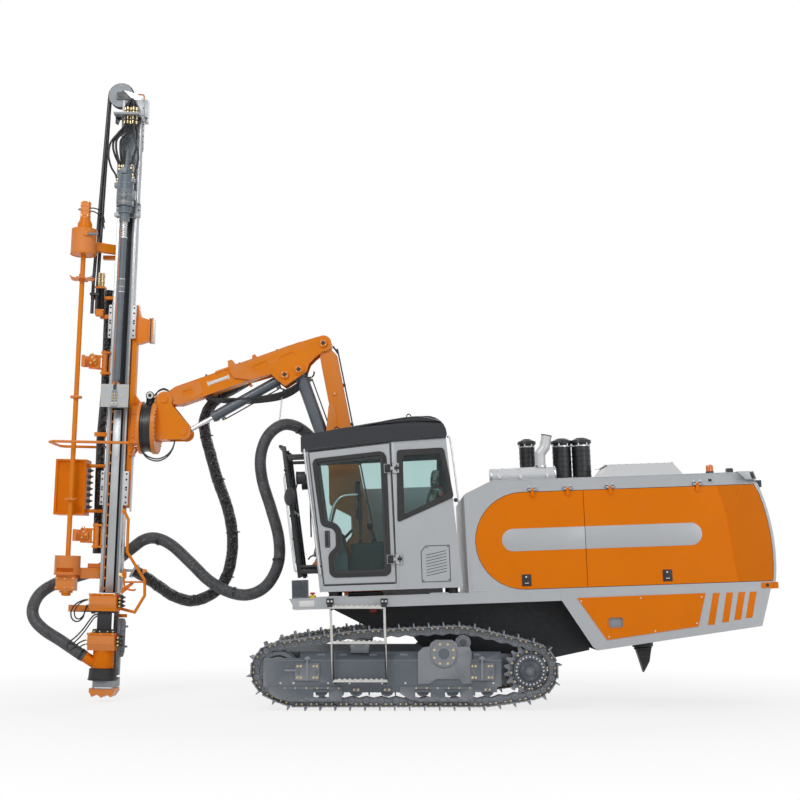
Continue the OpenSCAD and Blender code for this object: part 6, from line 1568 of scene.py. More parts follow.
class RIG_OT_boom(bpy.types.Operator):
    """Makes the boom's pin caps, welds, hydraulic tubes and hoses"""
    bl_idname = "rig.boom"
    bl_label = "Boom"

    def execute(self, context):
        # Pins of the bracket, which stand in the pitched frame
        x = 489 + (-470 - 489) * math.cos(math.radians(2)) + (1950 - 622) * math.sin(math.radians(2))
        z = 622 - (-470 - 489) * math.sin(math.radians(2)) + (1950 - 622) * math.cos(math.radians(2))
        xl = 489 + (-1000 - 489) * math.cos(math.radians(2)) + (1600 - 622) * math.sin(math.radians(2))
        zl = 622 - (-1000 - 489) * math.sin(math.radians(2)) + (1600 - 622) * math.cos(math.radians(2))
        bracket = CHASSIS @ Matrix.Translation((0, BOOM_Y, 0))
        caps, dark = Form(bracket), Form(bracket)
        pin_caps(caps, dark, [(x, z, 142), (xl, zl, 142)], 56)
        caps.done("bracket_pin_caps", "boom_paint", "boom_bracket", "orange_paint")
        dark.done("bracket_pin_holes", "black_paint", "boom_bracket", "dark_paint")
        bolts("bracket_bolts", bracket, [(x + 40 * math.cos(a), -158, z + 40 * math.sin(a), 11, (0, -1, 0))
                                         for a in (0.8, 2.4, 4.0, 5.5)], "boom_bracket", "zinc_bolt")
        # Lower boom
        caps, dark = Form(LOWER_BOOM), Form(LOWER_BOOM)
        caps.lathe((0, -113, 0), (0, -1, 0), [(72, -12), (72, -4), (64, 0)], 40)
        for s in (-1, 1):
            caps.tube([(40, s * 105, 66), (2220, s * 105, 66), (2380, s * 105, 60)], 5, 8, 1)
            caps.tube([(40, s * 105, -132), (2280, s * 105, -132), (2390, s * 105, -64)], 5, 8, 1)
            for xs in (520, 980, 1800):
                caps.box((xs, s * 104, -40), (xs + 44, s * 116, 0), 6)
        caps.done("lower_boom_welds", "boom_paint", "lower_boom", "orange_paint")
        pipes = Form(LOWER_BOOM)
        for k in range(4):
            y = -76 + 26 * k
            pipes.tube([(180, y, -152), (300, y, -160), (2200, y, -160), (2330, y, -150), (2420, y, -112)],
                       9, 10, 6)
        for xs in (420, 900, 1400, 1900):
            pipes.box((xs, -100, -168), (xs + 30, 30, -140), 4)
        pipes.done("lower_boom_pipes", "hose_rubber", "lower_boom", "rubber")
        bolts("lower_boom_bolts", LOWER_BOOM, [(xs + 15, yy, -168, 11, (0, 0, -1)) for xs in (420, 900,
                1400, 1900)
                                               for yy in (-92, 22)]
              + [(xs + 22, -116, -20, 12, (0, -1, 0)) for xs in (520, 980, 1800)], "lower_boom", "zinc_bolt")
        # Upper boom
        caps, dark = Form(UPPER_BOOM), Form(UPPER_BOOM)
        rot = math.radians(-19.77)

        def upper(p):
            d = Vector(p) - HEAD_PIN
            return (d.x * math.cos(rot) - d.y * math.sin(rot), d.x * math.sin(rot) + d.y * math.cos(rot))

        fx, fz = upper(FOLD[0])
        tx, tz = upper(TILT[0])
        pin_caps(caps, dark, [(fx, fz, 154), (tx, tz, 154), (2087, 0, 154)], 50)
        for s in (-1, 1):
            caps.tube([(895, s * 139, 194), (948, s * 139, 188), (976, s * 139, 115), (1823, s * 139, 115)],
                      4, 8, 1)
            caps.tube([(1844, s * 139, -172), (1765, s * 139, -266), (1464, s * 139, -342),
                       (1394, s * 139, -234),
                       (1349, s * 139, -141), (1084, s * 139, -124), (899, s * 139, -30),
                       (868, s * 139, 87)], 4, 8, 1)
            caps.tube([(10, s * 114, 60), (172, s * 114, 108), (870, s * 114, 108)], 5, 8, 1)
            caps.tube([(10, s * 114, -60), (172, s * 114, -118), (900, s * 114, -118)], 5, 8, 1)
        caps.box((700, -126, 96), (1000, -96, 128), 8)
        caps.plate([(1180, 112), (1260, 112), (1240, 176), (1200, 176)], -60, 60, bevel=6)
        caps.done("upper_boom_welds", "boom_paint", "upper_boom", "orange_paint")
        dark.done("upper_boom_pin_holes", "black_paint", "upper_boom", "dark_paint")
        plate = Form(UPPER_BOOM)
        plate.box((560, -119, -14), (850, -114.5, 26), 1.5)
        plate.done("upper_boom_blank_plate", "white_plastic", "upper_boom", "silver_paint")
        bolts("upper_boom_bolts", UPPER_BOOM,
              [(px + 34 * math.cos(a), -169, pz + 34 * math.sin(a), 9, (0, -1, 0)) for px,
               pz in ((fx, fz), (tx, tz), (2087, 0))
               for a in (0.6, 2.2, 3.7, 5.3)] + [(xx, -115, zz, 9, (0, -1, 0)) for xx in (572,
                       838) for zz in (36, -24)],
              "upper_boom", "zinc_bolt")
        # Cylinders
        for name, carrier, body, r, long, eye in (("lift", ON_LIFT, "lift_barrel", 62, 540, 62),
                                                  ("fold", ON_FOLD, "fold_barrel", 82, 1000, 74),
                                                  ("tilt", ON_TILT, "tilt_barrel", 64, 1048, 58)):
            detail = Form(carrier)
            detail.lathe((long - 74, 0, 0), (1, 0, 0), [(r, 0), (r + 11, 2), (r + 11, 20), (r + 8, 22),
                                                        (r + 8, 52),
                                                        (r + 4, 56), (r * 0.7, 60)], 40)
            detail.lathe((eye * 0.9, 0, 0), (1, 0, 0), [(r, 0), (r + 5, 4), (r + 5, 26), (r, 30)], 40)
            for a in (0, 60, 120, 180, 240, 300):
                c, sn = math.cos(math.radians(a)), math.sin(math.radians(a))
                detail.rod((long - 16, (r - 10) * c, (r - 10) * sn),
                           (long - 8, (r - 10) * c, (r - 10) * sn), 8, 6)
            detail.box((110, -26, r - 4), (170, 26, r + 30), 6)
            detail.box((long - 150, -26, r - 4), (long - 96, 26, r + 26), 6)
            detail.done(name + "_barrel_fittings", "cylinder_paint", body, "grey_paint")
            pipe = Form(carrier)
            pipe.tube([(150, -10, r + 26), (180, -10, r + 34), (long - 170, -10, r + 34),
                       (long - 124, -10, r + 24)], 8, 10, 6)
            pipe.tube([(130, 14, r + 28), (100, 30, r + 70), (60, 40, r + 90)], 10, 10, 6)
            pipe.done(name + "_barrel_pipes", "hose_rubber", body, "rubber")
            bright = Form(carrier)
            for px in (140, long - 124):
                bright.lathe((px, -10, r + 22), (0, 0, 1), [(14, 0), (14, 10), (10, 12), (10, 20)], 6)
            bright.done(name + "_barrel_unions", "brass", body, "bright_steel")
        rods = Form(ON_TILT)
        rods.lathe((1436 - 60, 0, 0), (1, 0, 0), [(29.5, -30), (34, -26), (40, 0), (50, 14)], 36)
        rods.done("tilt_rod_end", "cylinder_paint", "tilt_rod", "grey_paint")
        ends = Form(ON_FOLD)
        ends.lathe((1329 - 66, 0, 0), (1, 0, 0), [(40.5, -30), (46, -26), (50, 0), (58, 14)], 36)
        ends.done("fold_rod_end", "cylinder_paint", "fold_rod", "grey_paint")
        # Hose loops below the tilt barrel and beside the upper boom
        loops = Form(UPPER_BOOM)
        for k in range(5):
            y = -60 + 26 * k
            drop = 30 * k
            loops.tube([(1780, y, -250), (1700, y, -330 - drop * 0.4), (1400, y, -395 - drop * 0.5),
                        (1000, y, -330 - drop * 0.4),
                        (700, y, -230 - drop * 0.3), (480, y, -150)], 13, 10, 8)
        for k in range(3):
            y = 30 + 28 * k
            loops.tube([(1880, y, 118), (1700, y, 140), (1300, y, 136), (800, y, 128), (420, y, 126),
                        (300, y, 116)], 12, 10, 8)
        loops.done("upper_boom_hoses", "hose_rubber", "upper_boom", "rubber")
        clips = Form(UPPER_BOOM)
        for xs in (560, 1000, 1500):
            clips.box((xs, 10, 108), (xs + 26, 108, 156), 6)
        clips.box((520, -80, -168), (560, 70, -120), 6)
        clips.done("upper_boom_hose_clips", "black_paint", "upper_boom", "dark_paint")
        chain = [(-1459, 300, 3808), (-1478, 318, 3690), (-1494, 344, 3560), (-1506, 366, 3450)]
        rings("hose_chain", MACHINE, chain, "chassis", "bright_steel", "bright_steel", **{
            "Ring Radius": 0.011, "Wire Radius": 0.0032, "Spacing": 0.027, "Stretch": 1.5,
            "Lay Angle": math.radians(90), "Twist": math.radians(90), "Ring Sides": 12})
        return {"FINISHED"}


# Slew bearing, mast and feed

FRONT, BACK, UP = (0, -1, 0), (-1, 0, 0), (0, 0, 1)
SLEW_Z = 2047
ROD_Y = -265
MAGAZINE_X = -490


def jumper(name, carrier, points, r, body):
    """A short hydraulic hose between two fittings."""
    hose = Form(carrier).tube(points, r, 12, 6).done(name, "hose_rubber", body, "rubber")


def unions(name, places, body, finish="zinc_bolt", carrier=None):
    """Hexagon hose unions at (x, y, z, radius, length, axis)."""
    made = Form(carrier or FEED)
    for x, y, z, r, long, axis in places:
        made.lathe((x, y, z), axis, [(r, 0), (r, long * 0.4), (r * 0.75, long * 0.44),
                                     (r * 0.75, long * 0.56),
                                     (r, long * 0.6), (r, long), (0, long)], 12)
    made.done(name, finish, body, "bright_steel")


class RIG_OT_slew(bpy.types.Operator):
    """Makes the slew bearing's bolts, rings, motor and hoses"""
    bl_idname = "rig.slew"
    bl_label = "Slew Bearing"

    def execute(self, context):
        count = sizes().slew_bolts
        ring = [(314 * math.cos(2 * math.pi * i / count), SLEW_Z + 314 * math.sin(2 * math.pi * i / count))
                for i in range(count)]
        bolts("slew_bolts_cradle", FEED, [(276, y, z, 15, BACK) for y,
                                          z in ring if abs(y) > 175 or abs(z - 2065) > 240],
              "feed_cradle", "zinc_bolt")
        bolts("slew_bolts_head", FEED, [(490, y, z, 15, (1, 0, 0)) for y, z in ring
                                        if abs(y) > 160 or not -170 < z - SLEW_Z < 290], "boom_head",
                                        "zinc_bolt")
        drum = Form(FEED)
        drum.lathe((0, 0, SLEW_Z), (1, 0, 0), [(286, 316), (305, 318), (305, 338), (297, 342), (297, 404),
                                               (308, 408),
                                               (308, 432), (286, 436)], 72)
        drum.lathe((388, -90, SLEW_Z + 395), FRONT, [(46, -2), (52, 2), (52, 14), (44, 18), (18, 18),
                                                     (14, 24), (0, 25)], 32)
        drum.lathe((388, 0, SLEW_Z + 300), UP, [(63, 0), (66, 3), (66, 16), (63, 19)], 36)
        drum.done("slew_drum", "black_paint", "boom_head", "dark_paint")
        white = Form(FEED)
        white.lathe((388, -108, SLEW_Z + 395), FRONT, [(42, 0), (42, 3), (22, 3), (22, 0)], 32)
        white.done("slew_motor_ring", "white_plastic", "boom_head", "bright_steel")
        ribs = Form(FEED)
        for z in (1905, 2200):
            ribs.box((186, -186, z), (277, -168, z + 16), 3)
        ribs.box((190, -178, 1832), (277, -168, 1846), 2)
        ribs.done("slew_box_ribs", "boom_paint", "feed_cradle", "orange_paint")
        unions("slew_unions", [(452, -60, 2372, 18, 74, (0.2, -0.3, 1)),
                               (490, -40, 2372, 16, 66, (0.4, -0.2, 1)),
                               (440, -100, 2420, 15, 60, (1, -0.2, 0.4)),
                               (520, -60, 2402, 17, 62, (0.8, -0.3, 0.6))],
               "boom_head")
        for k in range(2):
            jumper("slew_hose_%d" % (k + 1), FEED,
                   [(330, -150, 1762), (352, -160, 1720 - 14 * k), (420, -160, 1670 - 24 * k),
                    (530, -150, 1650 - 26 * k),
                    (640, -150, 1700 - 24 * k), (706, -146, 1790 - 10 * k), (728, -138, 1890)], 9,
                    "boom_head")
        for k in range(2):
            jumper("slew_top_hose_%d" % (k + 1), FEED,
                   [(444, -70 + 40 * k, 2446), (480, -80 + 30 * k, 2492 + 12 * k),
                    (550, -86 + 20 * k, 2522 + 14 * k),
                    (620, -86 + 10 * k, 2492 + 8 * k), (648, -84, 2414)], 9, "boom_head")
        return {"FINISHED"}


class RIG_OT_mast(bpy.types.Operator):
    """Makes the mast's strips, bolts, guides, head plates and hose fittings"""
    bl_idname = "rig.mast"
    bl_label = "Mast"

    def execute(self, context):
        light = Form(FEED)
        light.box((-121, -123, 8), (-88, -119, 6236), 1.5)
        light.box((-46, -122, 8), (48, -119, 2248), 1.5)
        light.box((92, -121.5, 2560), (121, -119, 6200), 1)
        light.done("mast_bright_strips", "aluminium", "feed", "silver_paint")
        dark = Form(FEED)
        dark.box((74, -122, 12), (98, -119, 6180), 1)
        dark.box((-88, -121.5, 12), (-76, -119, 6180), 1)
        dark.done("mast_dark_strips", "drifter_paint", "feed", "dark_paint")
        orange = Form(FEED)
        orange.box((-76, -123, 12), (-69, -119, 4560), 1)
        clip = Form(FEED)
        clip.box((-70, -128, 40), (-52, -119, 66), 3)
        orange.done("mast_orange_strip", "boom_paint", "feed", "orange_paint")
        row("mast_clips", clip, 36, (0, 0, 128), "feed", "boom_paint")
        bolts("mast_bolts", FEED, [(112, -121.5, 60 + 170 * i, 9, FRONT) for i in range(36)]
              + [(-104, -123, 90 + 170 * i, 8, FRONT) for i in range(36)], "feed", "zinc_bolt")
        guides = Form(FEED)
        for z in (1071, 3153):
            for s in (-1, 1):
                x0, x1 = (112, 176) if s > 0 else (-168, -124)
                guides.box((x0, -128, z), (x1, -101, z + 420), 4)
        guides.done("cradle_guides", "pale_paint", "feed_cradle", "silver_paint")
        bolts("cradle_guide_bolts", FEED, [(x, -128, z + dz, 15, FRONT) for z in (1071, 3153) for x in (150,
                -146)
                                           for dz in (34, 100, 190, 220, 318, 386)], "feed_cradle",
                                           "black_bolt")
        cap = Form(FEED)
        cap.box((348.5, -74, 3126), (361.5, 74, 3418), 2)
        cap.done("cradle_cap_rubber", "rubber", "feed_cradle", "rubber")
        pale = Form(FEED)
        pale.box((385, -82, 3118), (391, 82, 3427), 2)
        pale.box((191, -63, 1000), (193, 63, 1690), 0.8)
        pale.done("cradle_cap_plate", "pale_paint", "feed_cradle", "silver_paint")
        # Middle rod support
        y = -351
        middle = Form(FEED)
        for x in (-28, 28):
            middle.lathe((x, -300, 2541), UP, [(20, -6), (20, 22), (12, 26), (0, 27)], 6)
        middle.done("support_blocks", "boom_paint", "rod_support", "orange_paint")
        slot = Form(FEED)
        slot.plate([(-36, 2262), (36, 2262), (36, 2440), (24, 2478), (-24, 2478), (-36, 2440)], y, y + 3)
        slot.done("support_recess", "drifter_paint", "rod_support", "dark_paint")
        yoke = Form(FEED)
        yoke.box((-40, y - 8, 2270), (40, y, 2322), 4)
        yoke.rod((0, y - 6, 2300), (0, y - 6, 2440), 9, 12, 2)
        yoke.done("support_yoke", "silver_paint", "rod_support", "silver_paint")
        bolts("support_bolts", FEED, [(x, y + 2, z, 13, FRONT) for x in (-146, -92, 92, 146) for z in (2290,
                2400, 2512)]
              + [(x, y - 8, z, 9, FRONT) for x in (-26, 26) for z in (2286, 2308)], "rod_support",
              "zinc_bolt")
        brass = [(dx, y, 2350 + 34 * k, 9, 12, FRONT) for k in range(3) for dx in (-22, 22)]
        unions("support_pins", brass, "rod_support", "brass")
        # Head of the mast
        head = Form(FEED)
        head.box((40, -130, 6010), (163, -121, 6248), 4)
        head.box((163, -126, 6020), (200, -40, 6236), 4)
        head.box((150, -124, 5560), (168, -100, 6010), 3)
        head.done("mast_head_plate", "silver_paint", "feed", "silver_paint")
        bolts("mast_head_bolts", FEED, [(x, -130, z, 9, FRONT) for x in (58, 148) for z in (6034, 6130, 6226)]
              + [(159, -124, 5600 + 80 * k, 9, FRONT) for k in range(5)], "feed", "black_bolt")
        arch = Form(FEED)
        arch.tube([(-4, -60, 6254), (-2, -60, 6316), (16, -60, 6334), (110, -60, 6334), (134, -60, 6318),
                   (140, -60, 6252)],
                  9, 10, 4)
        arch.done("mast_head_arch", "boom_paint", "feed", "orange_paint")
        wheel = Form(FEED)
        wheel.lathe((-151, -106, 6302), FRONT, [(60, 0), (60, 6), (48, 9), (30, 9), (28, 20), (22, 24),
                                                (14, 24), (12, 18), (0, 18)], 40)
        wheel.done("pulley_hub", "zinc_bolt", "hose_pulley", "bright_steel")
        rim = Form(FEED)
        rim.lathe((-151, -104, 6302), FRONT,
                  [(150, 0), (156, 3), (156, 8), (146, 10), (64, 7), (60, 2)], 56)
        rim.done("pulley_face", "drifter_paint", "hose_pulley", "dark_paint")
        shelf = Form(FEED)
        shelf.box((-192, -328, 6004), (137, -178, 6012), 2)
        shelf.done("hose_shelf_edge", "silver_paint", "drifter", "silver_paint")
        drop = Form(FEED)
        drop.plate([(-190, 5905), (-150, 5880), (-120, 5985), (-190, 5985)], -186, -180, bevel=2)
        drop.plate([(135, 5905), (60, 5860), (40, 5985), (135, 5985)], -186, -180, bevel=2)
        drop.done("hose_shelf_gussets", "black_paint", "drifter", "dark_paint")
        xs = (-60, -24, 12, 48, 84)
        unions("shelf_unions_top", [(x, -230 - 24 * (i % 2), 6010, 17, 92, (0, 0, 1)) for i,
                                    x in enumerate(xs)], "drifter")
        unions("shelf_unions_low", [(x, -230 - 24 * (i % 2), 5986, 17, 100, (0, 0, -1)) for i,
                                    x in enumerate(xs)], "drifter")
        for i, x in enumerate(xs):
            yy = -230 - 24 * (i % 2)
            jumper("shelf_stub_%d" % (i + 1), FEED,
                   [(x, yy, 6012), (x, yy, 6104), (x * 0.75 - 1, yy + 36, 6166),
                    (x * 0.3 - 3, yy + 112, 6236),
                    (-6, -80 + 10 * i, 6302)], 13, "drifter")
        ends = ((-100, 5222, -300), (-84, 5254, -318), (-60, 5254, -300), (-34, 5254, -318), (62, 5292, -300))
        for i, (x, (ex, ez, ey)) in enumerate(zip(xs, ends)):
            yy = -230 - 24 * (i % 2)
            side = -70 + 26 * i if ex < 0 else 60
            jumper("drifter_hose_%d" % (i + 1), FEED,
                   [(x, yy, 5980), (x, yy - 4, 5860), (x + side * 0.4, yy - 40, 5770),
                    (ex + side * 0.9, yy - 76, 5660),
                    (ex + side, ey - 46, 5550), (ex + side * 0.6, ey - 30, 5440), (ex, ey - 4, 5340),
                    (ex, ey, ez)],
                   14, "drifter")
        jumper("drifter_hose_6", FEED, [(-42, -270, 5980), (-44, -290, 5850), (-110, -346, 5730),
                                        (-200, -350, 5600),
                                        (-224, -330, 5440), (-190, -306, 5300), (-130, -294, 5200),
                                        (-106, -292, 5110)],
               13, "drifter")
        jumper("drifter_hose_7", FEED, [(66, -262, 5980), (68, -284, 5850), (84, -350, 5700),
                                        (130, -370, 5560),
                                        (156, -350, 5420), (132, -320, 5290), (90, -302, 5172)], 13,
                                        "drifter")
        return {"FINISHED"}


class RIG_OT_drifter(bpy.types.Operator):
    """Makes the drifter's seams, bolts and carriage pads, and the rod's thread and sleeves"""
    bl_idname = "rig.drifter"
    bl_label = "Drifter"

    def execute(self, context):
        body = Form(FEED)
        for z, r in ((4720, 78), (4808, 104), (4880, 104), (5006, 104), (5090, 96), (5190, 92), (5309, 70),
                     (5400, 52)):
            body.lathe((0, ROD_Y, z), UP, [(r - 4, -7), (r + 4, -5), (r + 4, 5), (r - 4, 7)], 40)
        for a in range(0, 360, 45):
            c, s = math.cos(math.radians(a)), math.sin(math.radians(a))
            body.rod((96 * c, ROD_Y + 96 * s, 4812), (96 * c, ROD_Y + 96 * s, 4998), 8, 8)
        body.box((-40, ROD_Y - 118, 4880), (40, ROD_Y - 92, 4960), 8)
        body.box((-52, ROD_Y - 92, 5210), (20, ROD_Y - 60, 5290), 8)
        body.box((70, ROD_Y - 50, 4880), (130, ROD_Y + 10, 5000), 10)
        body.lathe((-60, -295, 5236), UP, [(46, 0), (52, 4), (52, 20), (40, 26), (0, 28)], 28)
        body.done("drifter_bands", "drifter_paint", "drifter", "grey_paint")
        silver = Form(FEED)
        for z in (4700, 5960):
            for x in (-128, 118):
                silver.box((x - 26, -160, z), (x + 44, -134, z + 52), 6)
        silver.plate([(-138, 4690), (176, 4690), (176, 4870), (160, 4890), (-138, 4890)], -140, -132, bevel=4)
        silver.done("carriage_pads", "silver_paint", "drifter", "silver_paint")
        seams = Form(FEED)
        for z in (4842, 4940):
            seams.lathe((0, ROD_Y, z), UP, [(104.2, 0), (105, 1), (105, 4), (104.2, 5)], 40)
        seams.done("drifter_seams", "zinc_bolt", "drifter", "bright_steel")
        bolts("drifter_bolts", FEED, [(x, -140, z, 14, FRONT) for x in (-118, 150) for z in (4716, 4790,
                4862)]
              + [(x, ROD_Y - 118, z, 10, FRONT) for x in (-26, 26) for z in (4894, 4946)], "drifter",
              "black_bolt")
        unions("drifter_unions", [(-84, -318, 5250, 16, 74, UP), (-60, -300, 5250, 16, 80, UP),
                                  (-34, -318, 5250, 16, 74, UP),
                                  (-100, -300, 5196, 16, 60, UP), (62, -300, 5276, 16, 66, UP),
                                  (-106, -292, 5090, 16, 66, UP), (90, -302, 5150, 16, 66, UP)], "drifter")
        block = Form(FEED)
        block.box((-136, -324, 5030), (-90, -262, 5096), 8)
        block.box((60, -330, 5100), (116, -270, 5156), 8)
        block.done("drifter_manifolds", "drifter_paint", "drifter", "grey_paint")
        grow_thread(4404, 4590)
        collars = Form(FEED)
        for z in (4392, 4598):
            collars.lathe((0, ROD_Y, z), UP, [(38, 0), (44, 2), (44, 16), (38, 18)], 36)
        for z in (3704, 3770, 3866):
            collars.lathe((0, ROD_Y, z), UP, [(40, 0), (43, 2), (43, 8), (40, 10)], 36)
        collars.done("rod_collars", "bright_steel", "drill_rod", "bright_steel")
        return {"FINISHED"}


def grow_thread(z0, z1):
    """The rope thread on the drill shank, as one wound wire."""
    wire = Form(FEED)
    turns = (z1 - z0) / 31
    n = int(turns * 16)
    wire.tube([(36 * math.cos(2 * math.pi * turns * i / n),
                ROD_Y + 36 * math.sin(2 * math.pi * turns * i / n),
                z0 + (z1 - z0) * i / n) for i in range(n + 1)], 8, 8, 1)
    wire.done("shank_thread", "bright_steel", "drill_rod", "bright_steel")


class RIG_OT_feed_hoses(bpy.types.Operator):
    """Makes the fittings, sleeves and clamps of the hoses along the mast"""
    bl_idname = "rig.feed_hoses"
    bl_label = "Feed Hoses"

    def execute(self, context):
        places = [(-324, -60, 3868), (-278, -60, 3868), (-324, -20, 3868), (-278, -20, 3868)]
        unions("feed_hose_unions", [(x, y, z + dz, 21, 56, UP) for x, y, z in places for dz in (0, 66)],
               "feed")
        unions("feed_hose_brass", [(x, y, z - 46, 19, 40, UP) for x, y, z in places], "feed", "brass")
        clamp = Form(FEED)
        clamp.box((-366, -92, 3790), (-236, 14, 3816), 6)
        clamp.box((-350, -84, 3440), (-250, 10, 3520), 8)
        clamp.box((-358, -90, 3500), (-242, 16, 3524), 5)
        clamp.done("feed_hose_clamps", "boom_paint", "feed", "orange_paint")
        for i, (x, y, z) in enumerate(places):
            rings("feed_hose_sleeve_%d" % (i + 1), FEED, [(x, y, 3786), (x + 2, y, 3650), (x + 8, y, 3526)],
                  "feed",
                  "hose_rubber", "rubber", **{"Ring Radius": 0.021, "Wire Radius": 0.0045, "Spacing": 0.012,
                                              "Ring Sides": 12})
        return {"FINISHED"}


class RIG_OT_magazine(bpy.types.Operator):
    """Makes the rod magazine's motor, collars, claws and gripper blocks"""
    bl_idname = "rig.magazine"
    bl_label = "Rod Magazine"

    def execute(self, context):
        motor = Form(FEED)
        motor.lathe((MAGAZINE_X, ROD_Y, 4571), UP, [(66, 0), (78, 6), (78, 26), (66, 32), (66, 56),
                                                    (60, 62), (52, 68)], 36)
        for z in (4660, 4720, 4780, 4832):
            motor.box((MAGAZINE_X - 57, ROD_Y - 57, z), (MAGAZINE_X + 57, ROD_Y + 57, z + 14), 5)
        for a in range(0, 360, 60):
            c, s = math.cos(math.radians(a)), math.sin(math.radians(a))
            motor.rod((MAGAZINE_X + 74 * c, ROD_Y + 74 * s, 4491),
                      (MAGAZINE_X + 74 * c, ROD_Y + 74 * s, 4592), 9, 6)
        motor.lathe((MAGAZINE_X, ROD_Y, 4489), UP, [(159, -4), (160, 0), (150, 6), (92, 6)], 48)
        motor.lathe((MAGAZINE_X, ROD_Y, 4172), UP, [(158, 0), (163, 2), (163, 14), (158, 16)], 48)
        motor.box((MAGAZINE_X + 20, ROD_Y - 176, 4380), (MAGAZINE_X + 80, ROD_Y - 140, 4440), 8)
        motor.lathe((MAGAZINE_X, ROD_Y, 210), UP, [(155, 0), (160, 2), (160, 14), (155, 16)], 48)
        for z in (40, 150):
            motor.box((MAGAZINE_X - 122, ROD_Y - 98, z), (MAGAZINE_X + 122, ROD_Y - 86, z + 30), 5)
        motor.lathe((MAGAZINE_X, ROD_Y, 20), (0, 0, -1), [(80, -2), (80, 24), (56, 30), (56, 56), (40, 64),
                                                          (0, 66)], 32)
        motor.done("magazine_end_details", "boom_paint", "feed", "orange_paint")
        bolts("magazine_bolts", FEED, [(MAGAZINE_X + dx, ROD_Y - 98, z, 12, FRONT) for dx in (-100, 0,
                100) for z in (54, 164)]
              + [(MAGAZINE_X + dx, ROD_Y - 57, z, 10, FRONT) for dx in (-40, 40) for z in (4667, 4839)],
              "feed", "zinc_bolt")
        lever = Form(FEED)
        lever.rod((MAGAZINE_X + 78, ROD_Y - 152, 4404), (MAGAZINE_X + 206, ROD_Y - 150, 4408), 15, 16, 4)
        lever.rod((MAGAZINE_X - 54, ROD_Y - 10, 4752), (MAGAZINE_X - 92, ROD_Y - 10, 4750), 14, 12, 8)
        lever.done("magazine_cylinder", "drifter_paint", "feed", "grey_paint")
        for k in range(2):
            jumper("magazine_hose_%d" % (k + 1), FEED,
                   [(MAGAZINE_X + 56, ROD_Y, 4770 - 40 * k), (MAGAZINE_X + 92, ROD_Y + 10, 4776 - 42 * k),
                    (MAGAZINE_X + 150, ROD_Y + 60, 4770 - 60 * k),
                    (MAGAZINE_X + 190, ROD_Y + 130, 4720 - 70 * k),
                    (MAGAZINE_X + 202, ROD_Y + 188, 4640 - 80 * k)], 8, "feed")
        spin = Form(FEED)
        for z in (1110, 2367):
            spin.lathe((MAGAZINE_X, ROD_Y, z), UP, [(30, -8), (40, -6), (40, 0), (72, 0), (72, 24),
                                                    (40, 24), (40, 32), (30, 34)], 36)
        for a in range(30, 390, 60):
            c, s = math.cos(math.radians(a)), math.sin(math.radians(a))
            p = [(MAGAZINE_X + r * c, ROD_Y + r * s, z) for r,
                 z in ((64, 3864), (112, 3868), (142, 3878), (158, 3892))]
            spin.tube(p, 8, 8, 3)
        spin.lathe((MAGAZINE_X, ROD_Y, 3850), UP, [(30, -20), (44, -16), (44, 38), (30, 42)], 28)
        spin.done("magazine_collars", "boom_paint", "rod_magazine", "orange_paint")
        bolts("magazine_collar_bolts", FEED, [(MAGAZINE_X + 58 * math.cos(a), ROD_Y + 58 * math.sin(a),
                                               z + 24, 12, UP)
                                              for z in (1110, 2367) for a in (0.4, 1.97, 3.54, 5.1)],
                                              "rod_magazine", "zinc_bolt")
        grip = Form(FEED)
        steel = Form(FEED)
        for z0, z1 in ((547, 834), (2691, 2975)):
            grip.box((-352, -258, z0 + 96), (-262, -166, z1 - 96), 8)
            grip.box((-300, -226, z0 + 60), (-232, -150, z0 + 96), 6)
            grip.box((-330, -262, z1 - 100), (-276, -190, z1 - 56), 8)
            grip.lathe((-306, -256, (z0 + z1) / 2), (-0.6, -0.8, 0),
                       [(34, 0), (34, 16), (22, 22), (22, 34), (0, 36)], 24)
            grip.lathe((-190, -130, z1 - 22), UP, [(36, -6), (44, -4), (44, 18), (20, 24), (0, 25)], 24)
            for dx, dz in ((-24, 118), (18, 150), (-10, 186)):
                steel.lathe((-306 + dx, -262, z0 + dz), FRONT,
                            [(13, 0), (13, 14), (8, 16), (8, 26), (0, 27)], 6)
            steel.lathe((-326, -236, z1 - 62), UP, [(16, 0), (22, 8), (16, 26), (0, 30)], 16)
        grip.done("gripper_blocks", "boom_paint", "rod_grippers", "orange_paint")
        steel.done("gripper_fittings", "zinc_bolt", "rod_grippers", "bright_steel")
        valves = Form(FEED)
        for k in range(7):
            valves.box((-296, -300, 1010 + 74 * k), (-262, -228, 1058 + 74 * k), 5)
            valves.lathe((-262, -264, 1034 + 74 * k), (1, 0, 0),
                         [(16, 0), (16, 18), (9, 20), (9, 34), (0, 35)], 12)
        valves.done("cabinet_valves", "black_paint", "feed", "dark_paint")
        return {"FINISHED"}


